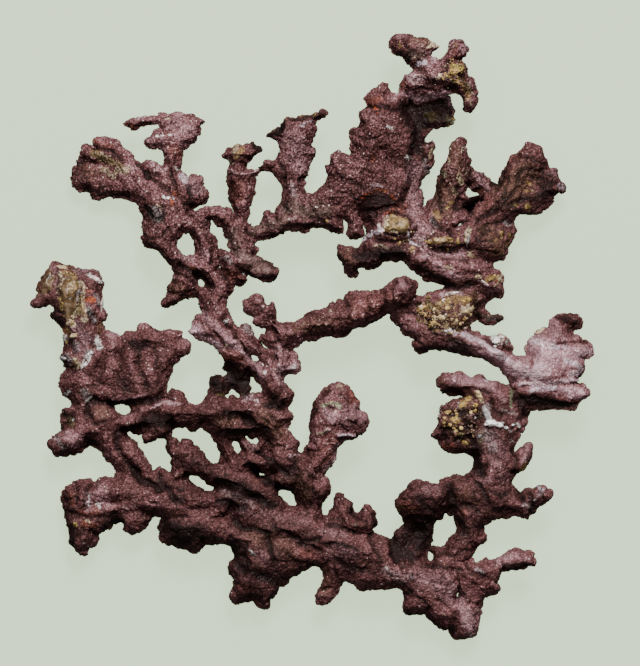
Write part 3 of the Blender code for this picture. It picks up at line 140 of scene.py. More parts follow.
CRISP = [
    (53, -5, 9, -0.35), (38, -2, 6, -0.4), (36, -9, 5, -0.3), (-53, 9, 4, -0.3), (9, 40, 12, 0.5), (32, 35, 6, 0.5), (28, 58, 9, 0.8), (-26, 22, 14, 0.5), (-42, 36, 9, 0.4),
    (-30, 45, 7, 0.3), (22, 22, 12, 0.3), (0, 36, 10, 0.4), (42, -14, 9, -0.2), (40, -32, 16, -0.15),
    (34, -56, 14, -0.15), (-5, -48, 16, -0.15), (5, -20, 9, -0.1),
]

# Parts of the growth that are lighter or darker: place, radius, change of tone

SHADES = [
    (-33.5, 45, 8, 0.14), (53, -6, 10, 0.26), (54, -2, 5, 0.06), (40, -3, 6, 0.14), (6, -19, 7, 0.16), (-43, 36, 9, 0.03), (-53, 9, 7, -0.02),
    (30, -58, 8, 0.06), (-12, -50, 9, -0.12), (32, -40, 11, -0.12), (6, -47, 9, -0.13), (-17, -22, 12, -0.08),
    (36, -9, 7, 0.1), (24, 22, 8, 0.0), (3, -2, 6, 0.16), (-9, 2, 9, 0.1), (-9, 22, 7, 0.1), (0, 24, 7, 0.08),
    (39, 10, 7, 0.13), (15, 6, 6, 0.12), (-57, -38, 7, 0.08), (-49, -26, 7, 0.04), (-25, -27, 6, -0.12),
    (-13, -35, 8, -0.16), (-29, -42, 6, -0.1), (-9, -16, 6, 0.1), (7, -26, 6, 0.14), (22, -35, 7, -0.12),
    (43, -46, 7, 0.12), (37, -60, 7, 0.16), (6, -56, 5, 0.14), (-10, -56, 6, 0.06), (55, -17, 6, 0.08),
    (15, 62, 5, 0.12), (24, 55, 7, 0.14), (22, 45, 6, 0.06), (23, 31, 5, -0.08), (-20, 5, 6, 0.09), (-22, 22, 8, 0.04), (-34, 36, 7, 0.04),
    (48, 33, 9, -0.08), (29, 60, 8, 0.1), (-10, -2, 7, 0.07), (16, 44, 9, -0.05), (31, 33, 6, -0.04),
    (-47, -37, 7, -0.04), (39, -32, 8, -0.04), (-30, -32, 7, -0.03),
]
OCHRE, CREAM, WHITE = (0.34, 0.23, 0.07), (0.54, 0.43, 0.28), (0.70, 0.66, 0.62)
OLIVE, SAND, YELLOW = (0.15, 0.12, 0.045), (0.40, 0.34, 0.20), (0.58, 0.44, 0.10)
RUST, UMBER, GREY = (0.25, 0.055, 0.016), (0.095, 0.050, 0.025), (0.28, 0.245, 0.24)
# The lilac colour is partly the copper's own lilac and partly painted sheen on lit tops and ridges.
MAUVE, PINK, LILAC_SHEEN = (0.24, 0.13, 0.14), (0.42, 0.27, 0.28), (0.50, 0.42, 0.46)
MOSS, RED, BLOOD = (0.085, 0.060, 0.046), (0.45, 0.09, 0.025), (0.10, 0.015, 0.008)
VERT = (0.20, 0.24, 0.13)
# The near-black colour is painted shadow, laid in hollows, gaps and under ledges.
PAINTED_SHADOW = (0.014, 0.005, 0.0035)

# Patches of another colour: colour, strength, half width, points
# The near-black patches are painted shadow, and the lilac ones are partly painted sheen.

PATCHES = []

# Floor and lights: name, place, size, power in watts

FLOOR_COLOUR = (0.12, 0.125, 0.11)
FLOOR_GLOW_COLOUR, FLOOR_GLOW = (0.73, 0.92, 0.60), 1.36
WORLD_COLOUR, WORLD_STRENGTH = (1.0, 1.0, 1.0), 0.2
LIGHTS = [
    ("key", (130, 760, 1000), 420, 32),
    ("fill", (-400, 200, 1000), 500, 4),
]

# Minerals: their colours

MINERAL_BED = 1.0
MINERAL_COLOURS = {
    "cream": (0.48, 0.36, 0.19), "ochre": (0.33, 0.21, 0.065), "white": (0.86, 0.82, 0.76),
    "brown": (0.10, 0.055, 0.03), "maroon": (0.10, 0.04, 0.038), "olive": (0.17, 0.14, 0.06),
    "rust": (0.30, 0.08, 0.02), "amber": (0.100, 0.055, 0.022), "tan": (0.20, 0.125, 0.050),
    "pale": (0.58, 0.46, 0.42), "grey": (0.26, 0.235, 0.225),
}

# Sheets of mineral that lie on the skin: place, half length, half width, height, turn, colour

SHEETS = {
    "left_tip_matrix": [
        (-53.2, 9.0, 4.7, 1.8, 0.6, 93, "amber"), (-52.4, 11.3, 1.8, 1.3, 0.7, 60, "tan"),
        (-57.7, 12.0, 2.6, 1.3, 0.4, 80, "amber"), (-54.6, 15.5, 1.2, 0.5, 0.4, -10, "cream"),
        (-50.1, 7.2, 3.0, 0.4, 0.4, 95, "tan"), (-47.1, 12.9, 1.5, 0.5, 0.4, -35, "pale"),
        (-46.0, 7.2, 2.0, 0.3, 0.3, 85, "pale"), (-52.2, 0.5, 1.0, 0.5, 0.5, 20, "cream"),
        (-53.8, -0.8, 0.6, 0.4, 0.4, 90, "tan"), (-52.4, 3.3, 1.0, 0.5, 0.4, 50, "tan"),
        (-49.6, -4.4, 1.6, 0.3, 0.3, 60, "grey"), (-51.8, -5.6, 1.2, 0.6, 0.4, 30, "amber"),
        (-54.6, -4.4, 1.0, 0.5, 0.4, -20, "grey"),
    ],
    "cluster_matrix": [
        (18.7, 24.9, 2.4, 1.7, 0.8, -25, "tan"), (16.7, 23.9, 1.3, 0.7, 0.5, 30, "tan"),
        (20.3, 23.6, 0.9, 0.8, 0.5, 0, "tan"), (22.0, 19.7, 0.7, 0.4, 0.4, 0, "ochre"),
    ],
    "cluster_crystal": [
        (27.6, 21.2, 1.8, 0.9, 0.6, 5, "tan"), (25.4, 20.9, 0.9, 0.4, 0.4, -20, "ochre"),
        (30.1, 21.7, 0.9, 0.4, 0.4, -20, "ochre"), (31.9, 21.4, 0.4, 0.7, 0.4, 0, "ochre"),
        (34.1, 21.5, 1.5, 0.4, 0.3, 75, "grey"), (35.0, 17.8, 1.0, 0.4, 0.3, 0, "tan"),
        (36.2, 13.4, 0.8, 0.4, 0.4, 10, "cream"), (37.8, 12.1, 1.0, 0.2, 0.3, -35, "pale"),
        (39.2, 13.0, 1.1, 0.4, 0.4, 40, "ochre"), (40.6, 13.3, 0.9, 0.3, 0.3, 60, "tan"),
    ],
    "crown_matrix": [
        (31.0, 58.0, 1.4, 0.9, 0.5, 20, "ochre"), (32.6, 59.6, 0.8, 0.5, 0.4, 0, "tan"),
    ],
    "middle_matrix": [
        (30.6, 9.8, 1.8, 0.4, 0.5, 12, "pale"), (33.6, 8.3, 1.6, 0.8, 0.5, 10, "ochre"),
        (33.6, 6.0, 1.4, 0.7, 0.6, 20, "cream"), (28.4, 4.4, 0.9, 0.7, 0.5, 0, "cream"),
        (26.4, 3.2, 0.9, 0.5, 0.5, 30, "ochre"), (29.6, 1.6, 0.8, 0.4, 0.5, 0, "white"),
        (26.8, 2.1, 0.6, 0.5, 0.4, 0, "tan"), (24.2, 6.6, 1.1, 0.6, 0.5, 20, "ochre"),
        (27.4, 7.4, 1.0, 0.5, 0.5, -20, "tan"), (31.4, 3.4, 0.8, 0.6, 0.5, 40, "cream"),
        (29.6, 6.6, 0.9, 0.6, 0.5, 10, "ochre"), (25.4, 9.0, 0.9, 0.4, 0.4, 0, "tan"),
    ],
    "bridge_crystal": [
        (40.0, -0.6, 1.2, 0.7, 0.8, -20, "white"), (42.6, -0.9, 0.4, 0.9, 0.6, 0, "grey"),
        (41.4, 0.3, 0.8, 0.3, 0.4, 0, "white"),
    ],
    "right_arm_matrix": [
        (34.1, -13.2, 1.0, 0.6, 0.5, 40, "ochre"), (32.7, -14.7, 1.1, 0.6, 0.5, 30, "ochre"),
        (35.7, -14.7, 0.8, 0.6, 0.5, 0, "ochre"), (31.3, -17.9, 1.3, 0.9, 0.7, 0, "ochre"),
        (32.5, -21.0, 0.9, 0.6, 0.5, 0, "olive"), (33.5, -22.9, 0.8, 0.6, 0.5, 0, "ochre"),
        (36.4, -12.5, 1.7, 0.7, 0.6, -60, "cream"), (38.2, -16.5, 1.8, 0.8, 0.6, -70, "grey"),
        (29.6, -16.2, 0.9, 0.6, 0.5, 0, "ochre"),
    ],
    "right_arm_crystal": [
        (38.7, -18.6, 1.6, 0.8, 0.9, 0, "white"), (40.6, -18.9, 1.2, 0.7, 0.8, -15, "white"), (44.0, -19.0, 0.5, 0.3, 0.4, 0, "white"),
        (36.6, -21.5, 0.9, 0.5, 0.4, 20, "grey"), (42.4, -19.6, 0.6, 0.4, 0.4, 0, "white"),
    ],
}

# Small crystals of each lump: their number, sizes, spread, and colours from the dark to the pale ones

CRYSTAL_CORNERS = 10
CRYSTALS = {
    "left_tip_matrix": (70, (0.3, 0.9), 1.05, ("brown", "olive", "amber", "tan", "cream", "white")),
    "cluster_matrix": (60, (0.3, 0.9), 1.2, ("maroon", "brown", "ochre", "tan", "cream")),
    "cluster_crystal": (60, (0.3, 0.8), 1.6, ("maroon", "brown", "ochre", "tan")),
    "crown_matrix": (80, (0.3, 1.0), 1.4, ("maroon", "brown", "ochre", "ochre", "tan")),
    "middle_matrix": (620, (0.35, 1.3), 1.3, ("maroon", "brown", "brown", "ochre", "tan", "cream", "pale")),
    "bridge_crystal": (14, (0.4, 1.1), 0.9, ("grey", "white", "cream")),
    "right_arm_matrix": (260, (0.35, 1.4), 1.1, ("brown", "maroon", "maroon", "ochre", "tan")),
    "right_arm_crystal": (20, (0.4, 1.1), 0.9, ("grey", "white")),
}


# Marks on the left tip, the left plate and the left arm

MARKS += [
    (-0.3, -0.45, 0.9, [(-57.0, 5.2), (-55.2, 4.2), (-54.6, 3.2)]),
    (-0.3, -0.25, 0.5, [(-55.5, 15.0), (-55.4, 12.0), (-55.3, 9.0)]),
    (0.3, 0.05, 1.0, [(-59.0, 10.0), (-58.4, 13.5), (-57.2, 16.0)]),
    (-0.3, -0.3, 0.8, [(-53.2, -0.8), (-52.0, -2.6)]),
    (-0.3, -0.25, 0.8, [(-55.4, -4.6), (-53.4, -6.8), (-51.0, -7.2)]),
    (-0.4, -0.3, 0.6, [(-46.8, 4.6), (-48.6, 5.6), (-48.2, 3.4)]),
    (-0.8, -0.55, 0.9, [(-39.6, -1.0), (-37.8, -1.6), (-36.2, -1.2)]),
    (-0.3, -0.16, 0.9, [(-41.2, -2.6), (-42.0, -7.0), (-43.6, -12.0)]),
    (-0.5, -0.3, 0.8, [(-37.8, -3.0), (-38.0, -6.6), (-36.2, -10.4)]),
    (-0.5, -0.35, 1.6, [(-40.6, -10.0), (-40.0, -11.6)]),
    (-0.3, -0.12, 0.8, [(-45.4, -4.0), (-45.8, -7.0), (-47.6, -10.0)]),
    (-0.3, -0.2, 0.6, [(-34.4, -1.6), (-33.8, -6.0), (-33.4, -11.0)]),
    (0.4, 0.1, 0.8, [(-39.6, -4.0), (-39.2, -6.6), (-37.8, -10.6)]),
    (0.4, 0.1, 0.8, [(-43.4, -1.6), (-44.2, -5.0), (-45.6, -9.6)]),
    (0.4, 0.1, 1.0, [(-47.4, -3.6), (-49.0, -7.0), (-50.6, -9.6)]),
    (0.4, 0.1, 0.9, [(-36.2, -3.4), (-35.2, -8.0)]),
    (0.3, 0.16, 0.5, [(-44.6, 0.2), (-41.6, 0.4)]),
    (0.3, 0.16, 0.6, [(-38.4, 2.4), (-36.0, 3.0)]),
    (0.3, 0.14, 0.5, [(-35.0, 1.0), (-30.6, 1.6)]),
    (0.4, 0.22, 0.5, [(-44.6, -12.8), (-40.6, -13.2), (-36.2, -12.6)]),
    (-0.9, -0.5, 0.8, [(-47.6, -13.9), (-43.0, -14.6), (-38.0, -14.4), (-33.0, -12.8)]),
    (0.3, 0.2, 0.5, [(-35.0, -15.2), (-32.8, -14.2), (-28.8, -14.8)]),
    (-0.6, -0.35, 0.9, [(-55.0, -16.4), (-53.6, -17.4), (-52.6, -16.6), (-53.4, -18.6)]),
    (-0.6, -0.4, 0.6, [(-48.9, -14.6), (-49.2, -16.6), (-47.8, -18.6), (-45.4, -18.4)]),
    (0.6, -0.04, 1.8, [(-46.6, -16.2), (-45.8, -16.4)]),
    (-0.7, -0.45, 1.0, [(-49.0, -22.2), (-48.0, -23.8)]),
    (0.3, 0.1, 1.8, [(-53.4, -22.0), (-51.6, -22.0)]),
    (-0.3, -0.25, 0.8, [(-51.6, -25.2), (-54.6, -24.8)]),
    (0.6, 0.1, 0.8, [(-41.6, -18.8), (-38.4, -17.0), (-35.6, -15.8)]),
    (-0.9, -0.55, 1.2, [(-36.6, -17.6), (-33.6, -17.2), (-31.0, -18.0)]),
    (-0.9, -0.55, 0.9, [(-41.6, -20.2), (-38.4, -19.8), (-34.6, -18.8), (-30.6, -19.0)]),
    (0.4, 0.0, 0.7, [(-36.4, -21.6), (-33.6, -20.8), (-31.6, -19.8)]),
    (-0.6, -0.45, 0.7, [(-42.8, -21.0), (-42.4, -24.0), (-40.2, -27.6), (-38.0, -29.6)]),
    (0.4, 0.04, 1.2, [(-40.2, -23.2), (-37.2, -27.4)]),
    (0.3, 0.02, 1.2, [(-45.6, -21.6), (-44.4, -25.4)]),
    (-0.8, -0.5, 0.6, [(-39.4, -28.6), (-37.6, -31.4), (-35.0, -31.6), (-33.2, -33.4)]),
    (-0.7, -0.45, 0.6, [(-33.4, -30.4), (-32.6, -31.8), (-31.0, -33.4), (-29.8, -35.6)]),
    (-0.6, -0.4, 1.2, [(-30.4, -35.4), (-28.4, -35.8)]),
    (-0.3, -0.3, 1.3, [(-54.0, -34.0), (-53.8, -37.6), (-53.2, -42.0), (-52.8, -45.0)]),
    (-0.4, -0.25, 0.5, [(-51.6, -31.8), (-51.8, -36.0)]),
    (-0.4, -0.25, 0.5, [(-48.6, -31.6), (-49.6, -34.0), (-49.8, -37.0)]),
    (-0.3, -0.2, 0.5, [(-53.6, -35.0), (-50.4, -35.6)]),
    (-0.4, -0.25, 0.7, [(-52.4, -38.2), (-49.6, -39.2), (-45.4, -39.0)]),
    (0.4, 0.1, 1.8, [(-46.6, -33.6), (-45.6, -36.4)]),
    (0.4, 0.0, 0.6, [(-50.6, -38.2), (-46.6, -38.2)]),
    (-0.8, -0.6, 1.1, [(-43.4, -39.2), (-42.6, -40.4)]),
    (-0.3, -0.3, 1.4, [(-52.0, -42.6), (-48.6, -42.0), (-46.0, -41.2)]),
    (0.3, 0.05, 1.2, [(-51.0, -44.2), (-49.0, -45.0)]),
    (0.3, 0.03, 1.6, [(-39.6, -39.8), (-38.2, -41.0)]),
    (-0.2, -0.12, 1.6, [(-40.6, -35.4), (-37.0, -37.4)]),
]
PATCHES += [
    (UMBER, 0.85, 2.0, [(-58.6, 10.6), (-57.6, 13.0)]), (OLIVE, 0.7, 1.0, [(-58.0, 11.6), (-57.4, 13.6)]),
    (MAUVE, 0.5, 0.7, [(-57.6, 16.0), (-56.2, 14.6), (-56.0, 12.0)]),
    (SAND, 0.95, 1.9, [(-53.8, 11.2), (-53.2, 8.8), (-52.8, 6.0)]),
    (CREAM, 0.9, 1.0, [(-54.4, 11.8), (-53.0, 11.0), (-51.4, 11.8)]), (GREY, 0.7, 1.0, [(-51.6, 10.4), (-51.4, 8.6)]),
    (OCHRE, 0.8, 0.9, [(-54.6, 9.0), (-54.4, 7.2), (-53.4, 4.6)]), (OLIVE, 0.8, 0.6, [(-50.6, 9.0), (-50.6, 5.4)]),
    (CREAM, 0.9, 0.4, [(-50.1, 12.0), (-50.0, 9.4)]), (OCHRE, 0.7, 0.8, [(-54.8, 14.2), (-52.0, 13.6)]),
    (CREAM, 0.8, 0.5, [(-55.2, 14.6), (-54.6, 13.6)]), (MAUVE, 0.6, 1.0, [(-51.4, 14.4), (-49.6, 15.0)]),
    (WHITE, 0.95, 0.55, [(-48.8, 13.8), (-47.4, 13.0), (-46.2, 12.2)]), (MAUVE, 0.5, 0.8, [(-47.6, 15.0), (-46.0, 14.0)]),
    (RUST, 0.95, 0.75, [(-49.3, 8.4), (-48.0, 8.3)]), (RUST, 0.5, 0.6, [(-49.4, 10.8), (-48.6, 10.0)]),
    (GREY, 0.55, 0.6, [(-47.2, 9.4), (-46.6, 7.4)]), (GREY, 0.7, 0.6, [(-48.8, 6.4), (-47.6, 4.0)]),
    (CREAM, 0.85, 0.7, [(-53.4, 3.4), (-52.2, 2.8)]), (CREAM, 0.8, 0.5, [(-50.0, 4.2), (-49.4, 3.8)]),
    (RUST, 0.4, 0.6, [(-54.6, 2.6), (-54.0, 1.2)]), (UMBER, 0.7, 0.7, [(-46.6, 3.0), (-46.4, 1.4)]),
    (MAUVE, 0.65, 1.8, [(-51.6, 2.2), (-49.6, 0.6), (-50.0, -2.4)]), (WHITE, 0.9, 0.6, [(-52.8, 0.4), (-51.8, 0.4)]),
    (WHITE, 0.6, 0.5, [(-54.2, 0.4), (-54.0, -0.8)]), (WHITE, 0.85, 0.7, [(-47.0, 0.0), (-46.4, -2.0)]),
    (WHITE, 0.85, 0.5, [(-48.4, -3.4), (-49.0, -5.0), (-50.0, -6.4)]), (GREY, 0.6, 1.3, [(-54.6, -4.2), (-53.0, -4.8)]),
    (SAND, 0.75, 0.8, [(-52.0, -5.0), (-51.0, -6.0)]), (GREY, 0.6, 1.2, [(-51.6, -1.6), (-49.4, -3.0)]),
    (UMBER, 0.7, 0.9, [(-55.6, -4.8), (-54.6, -6.2)]),
    (CREAM, 0.9, 0.3, [(-36.2, -5.4)]), (WHITE, 0.9, 0.7, [(-53.8, -12.2), (-53.2, -11.8)]),
    (GREY, 0.6, 0.9, [(-49.6, -12.0), (-48.6, -13.2)]), (WHITE, 0.7, 0.4, [(-49.6, -13.8), (-48.4, -13.4)]),
    (MAUVE, 0.55, 0.45, [(-43.4, -12.9), (-40.6, -13.3), (-36.6, -12.7)]),
    (PINK, 0.6, 0.5, [(-34.6, -15.0), (-32.8, -14.0), (-29.0, -14.6)]),
    (WHITE, 0.8, 0.35, [(-54.8, -16.2)]), (WHITE, 0.8, 0.3, [(-52.6, -17.8)]), (OLIVE, 0.6, 0.6, [(-53.6, -16.6), (-52.6, -19.0)]),
    (UMBER, 0.5, 1.8, [(-46.6, -16.2), (-45.8, -16.4)]), (GREY, 0.5, 0.8, [(-55.6, -22.2), (-54.6, -23.6)]),
    (MAUVE, 0.35, 2.0, [(-53.0, -21.6), (-51.4, -22.0)]),
    (MAUVE, 0.6, 1.4, [(-49.0, -34.4), (-48.6, -37.0)]), (MAUVE, 0.4, 2.0, [(-46.6, -33.8), (-45.4, -36.0)]),
    (WHITE, 0.7, 0.3, [(-48.8, -34.6), (-48.8, -37.0)]), (WHITE, 0.7, 0.35, [(-46.9, -36.4), (-46.5, -37.2)]),
    (YELLOW, 1.0, 0.5, [(-52.4, -41.0), (-51.6, -41.0)]), (CREAM, 0.8, 0.4, [(-49.6, -40.0), (-49.0, -40.2)]),
    (RUST, 0.35, 0.9, [(-50.0, -40.8), (-47.4, -41.0)]), (RUST, 0.3, 0.5, [(-53.0, -33.6), (-52.2, -36.4)]),
    (RUST, 0.25, 0.8, [(-50.6, -38.2), (-46.6, -38.2)]), (WHITE, 0.6, 0.3, [(-50.2, -44.4)]), (GREY, 0.6, 0.4, [(-49.2, -45.4)]),
    (UMBER, 0.5, 1.0, [(-53.0, -43.4), (-52.0, -45.6)]),
]
# Marks on the upper left fan, the left trunk and the two flags

MARKS += [
    (-0.5, -0.45, 0.5, [(-47.6, 41.6), (-44.0, 40.9), (-41.2, 38.6)]),
    (-0.3, -0.3, 1.0, [(-51.0, 38.8), (-51.2, 36.0), (-49.4, 33.4)]),
    (0.3, 0.08, 0.9, [(-46.4, 42.8), (-42.6, 42.6), (-39.6, 39.6)]),
    (-0.4, -0.3, 0.5, [(-50.4, 39.6), (-47.6, 38.4)]), (-0.3, -0.25, 0.5, [(-50.0, 36.6), (-46.0, 36.4), (-42.0, 34.6)]),
    (-0.3, -0.3, 0.8, [(-49.4, 32.2), (-45.0, 31.6), (-40.6, 31.0)]),
    (0.2, 0.12, 1.6, [(-40.0, 35.6), (-36.6, 32.8)]),
    (-0.5, -0.45, 0.5, [(-38.0, 38.4), (-36.4, 36.8), (-35.8, 35.0)]), (-0.5, -0.5, 0.5, [(-36.4, 35.2), (-33.6, 34.0), (-31.6, 32.4)]),
    (-0.4, -0.35, 0.5, [(-31.2, 36.6), (-30.2, 34.4), (-29.8, 32.6)]), (0.3, 0.08, 0.9, [(-35.2, 38.2), (-32.6, 36.6)]),
    (0.3, 0.2, 1.2, [(-28.2, 34.8), (-26.0, 34.0)]), (-0.5, -0.4, 0.6, [(-27.6, 28.8), (-25.2, 28.6), (-23.4, 29.6)]),
    (-0.5, -0.4, 0.5, [(-27.0, 33.0), (-26.4, 31.0), (-26.8, 29.6)]),
    (-0.6, -0.45, 0.7, [(-36.6, 28.6), (-35.4, 26.2)]), (-0.6, -0.5, 0.6, [(-32.4, 28.6), (-32.2, 27.0), (-33.4, 25.8)]),
    (-0.4, -0.4, 0.4, [(-36.8, 22.8), (-35.2, 21.8), (-32.8, 22.2), (-31.4, 23.6)]), (-0.3, -0.25, 0.8, [(-37.2, 21.6), (-34.6, 19.4), (-31.6, 16.8)]),
    (-0.5, -0.45, 0.4, [(-27.4, 27.6), (-26.0, 26.4)]), (0.2, 0.08, 1.0, [(-31.4, 19.4), (-28.6, 17.6), (-25.6, 16.8)]),
    (-0.8, -0.6, 0.7, [(-28.6, 15.8), (-26.6, 14.9), (-24.8, 13.4), (-22.8, 11.6)]),
    (-0.4, -0.3, 0.4, [(-30.6, 14.4), (-28.0, 13.6), (-25.8, 11.8)]), (-0.3, -0.2, 0.4, [(-30.6, 12.4), (-27.0, 11.0)]),
    (-0.3, -0.2, 0.4, [(-31.8, 10.0), (-28.0, 9.4)]), (0.4, 0.05, 0.7, [(-22.6, 15.2), (-20.0, 12.6), (-18.6, 9.6)]),
    (-0.4, -0.3, 0.5, [(-20.8, 15.0), (-18.6, 12.8), (-17.8, 9.0)]), (-0.4, -0.35, 0.5, [(-22.8, 22.2), (-21.8, 19.6), (-22.0, 16.6)]),
    (0.2, 0.05, 0.8, [(-24.4, 22.4), (-23.4, 19.0), (-22.8, 17.0)]), (-0.3, -0.25, 0.5, [(-26.0, 24.2), (-24.6, 20.6)]),
    (-0.4, -0.3, 0.5, [(-23.0, 26.2), (-21.0, 26.6), (-19.4, 25.2)]), (0.3, 0.06, 0.9, [(-24.0, 28.0), (-21.0, 28.4), (-18.4, 27.0)]),
    (-0.4, -0.6, 0.7, [(-12.6, 42.0), (-11.4, 41.4)]), (-0.3, -0.3, 0.4, [(-17.6, 39.6), (-15.4, 39.8), (-13.2, 38.4)]),
    (0.3, 0.2, 0.35, [(-18.4, 36.8), (-16.0, 35.8), (-13.6, 36.0), (-12.0, 37.0)]), (-0.3, -0.12, 1.3, [(-16.4, 34.0), (-16.0, 31.0)]),
    (-0.3, -0.25, 0.6, [(-17.8, 33.4), (-17.6, 30.0), (-16.4, 27.6)]), (0.2, 0.06, 0.7, [(-14.6, 33.0), (-14.6, 28.0)]),
    (0.2, 0.12, 1.8, [(-4.6, 39.6), (-2.0, 37.6)]), (-0.5, -0.45, 0.4, [(-3.0, 34.6), (-0.8, 34.9)]),
    (-0.4, -0.35, 0.5, [(-7.4, 38.6), (-6.2, 36.4), (-6.0, 34.4)]), (0.3, 0.08, 0.8, [(-10.2, 38.8), (-8.4, 37.6), (-7.2, 36.0)]),
    (0.2, 0.06, 1.0, [(-4.4, 33.4), (-4.0, 31.2)]), (-0.4, -0.35, 0.8, [(-6.0, 29.0), (-4.6, 27.4)]),
    (-0.4, -0.3, 0.7, [(-4.8, 25.2), (-2.4, 24.6), (1.0, 24.4), (3.6, 24.0), (5.6, 23.2)]), (-0.3, -0.2, 0.9, [(-2.4, 28.2), (-0.6, 26.6)]),
    (-0.3, -0.25, 0.5, [(1.4, 29.8), (2.2, 27.0), (4.4, 25.6)]), (0.2, 0.08, 1.1, [(2.0, 31.4), (5.0, 32.4)]),
    (-0.4, -0.3, 0.5, [(-8.2, 27.6), (-7.4, 25.6)]), (0.2, 0.0, 0.8, [(-9.8, 26.6), (-10.4, 24.6)]),
    (-0.4, -0.35, 0.5, [(-14.0, 23.4), (-12.6, 22.2), (-9.6, 22.2), (-6.6, 23.0)]), (0.2, 0.08, 1.0, [(-17.0, 21.0), (-15.4, 18.6), (-12.0, 16.6)]),
    (-0.4, -0.35, 0.5, [(-16.8, 15.8), (-13.6, 14.2), (-10.4, 13.4), (-8.2, 13.6)]), (-0.4, -0.3, 0.4, [(-19.4, 18.6), (-17.6, 16.2)]),
    (-0.4, -0.3, 0.5, [(-12.6, 18.6), (-11.0, 17.0), (-8.2, 15.4)]), (-0.5, -0.6, 0.6, [(-16.4, 12.4), (-15.0, 11.8)]),
    (-0.4, -0.3, 0.4, [(-20.6, 15.6), (-17.8, 13.8)]),
]
PATCHES += [
    (OLIVE, 0.7, 0.9, [(-47.6, 40.2), (-45.4, 39.2), (-42.0, 37.8)]), (SAND, 0.6, 0.6, [(-46.6, 40.2), (-44.8, 39.3)]),
    (OCHRE, 0.5, 0.8, [(-48.0, 40.6), (-46.8, 40.4)]), (SAND, 0.5, 0.8, [(-43.0, 36.8), (-40.4, 36.6)]), (SAND, 0.4, 0.7, [(-46.0, 37.2), (-43.6, 35.4)]),
    (UMBER, 0.45, 1.4, [(-50.0, 38.0), (-48.6, 36.0)]), (RUST, 0.2, 1.0, [(-47.2, 43.0), (-44.0, 41.8)]),
    (LILAC_SHEEN, 0.5, 1.0, [(-28.4, 35.0), (-27.2, 34.2)]), (MAUVE, 0.6, 1.6, [(-26.6, 33.6), (-24.8, 32.4)]), (WHITE, 0.5, 0.4, [(-28.2, 34.4)]),
    (RUST, 0.5, 0.6, [(-30.2, 31.8), (-29.8, 31.0)]), (RED, 0.8, 0.35, [(-30.8, 30.0), (-30.7, 29.3)]), (RUST, 0.35, 0.7, [(-29.8, 33.4)]),
    (WHITE, 0.95, 0.28, [(-32.4, 31.0), (-31.4, 30.6)]), (WHITE, 0.9, 0.25, [(-30.6, 30.6), (-30.2, 30.2)]),
    (GREY, 0.7, 1.6, [(-35.0, 27.8), (-33.8, 26.8)]), (CREAM, 0.8, 0.5, [(-33.8, 28.8), (-32.8, 28.6)]), (PAINTED_SHADOW, 0.8, 0.5, [(-35.6, 28.6), (-34.4, 27.6)]),
    (WHITE, 0.8, 0.3, [(-33.6, 25.6), (-33.0, 26.2)]), (PAINTED_SHADOW, 0.6, 0.35, [(-34.6, 26.4), (-33.4, 27.4)]), (RUST, 0.5, 0.6, [(-26.4, 15.4), (-25.6, 15.0)]),
    (UMBER, 0.5, 1.4, [(-31.0, 11.6), (-27.6, 9.0)]), (RUST, 0.2, 1.6, [(-29.0, 10.6), (-26.4, 8.8)]), (OCHRE, 0.5, 0.5, [(-31.6, 11.6)]),
    (MAUVE, 0.5, 0.9, [(-28.6, 17.8), (-27.0, 17.0)]), (WHITE, 0.8, 0.3, [(-29.8, 37.4), (-29.4, 36.8)]),
    (SAND, 0.7, 0.6, [(-17.2, 40.6), (-16.4, 42.2)]), (CREAM, 0.8, 0.5, [(-18.2, 39.0), (-17.8, 38.4)]), (OCHRE, 0.5, 0.7, [(-16.6, 39.6), (-15.4, 41.4)]),
    (PINK, 0.5, 0.3, [(-18.4, 36.8), (-16.0, 35.8), (-13.6, 36.0), (-12.0, 37.0)]), (RUST, 0.15, 1.8, [(-16.4, 33.4), (-16.0, 30.4)]),
    (MAUVE, 0.45, 2.2, [(-4.6, 39.4), (-2.2, 37.2)]), (GREY, 0.3, 0.8, [(-4.4, 33.4), (-4.0, 31.2)]),
    (MOSS, 0.65, 2.4, [(-5.4, 28.4), (-1.0, 27.6), (2.4, 27.6)]), (MOSS, 0.6, 1.4, [(-12.6, 24.2), (-8.6, 24.8), (-5.4, 26.0)]),
    (YELLOW, 0.9, 0.35, [(3.3, 25.5)]), (MOSS, 0.65, 1.8, [(-17.6, 22.6), (-16.0, 19.0), (-12.6, 16.4), (-9.4, 15.0)]),
    (GREY, 0.4, 0.5, [(-19.0, 17.8), (-17.6, 16.6)]), (RUST, 0.25, 1.1, [(-18.4, 14.0), (-16.0, 13.2)]),
    (WHITE, 0.6, 0.28, [(-15.2, 14.4), (-14.8, 14.2)]), (WHITE, 0.6, 0.3, [(-14.4, 17.4)]), (WHITE, 0.5, 0.28, [(-10.0, 17.0)]),
]
# Marks on the big leaf, the crown's lower side, the cluster and the blade

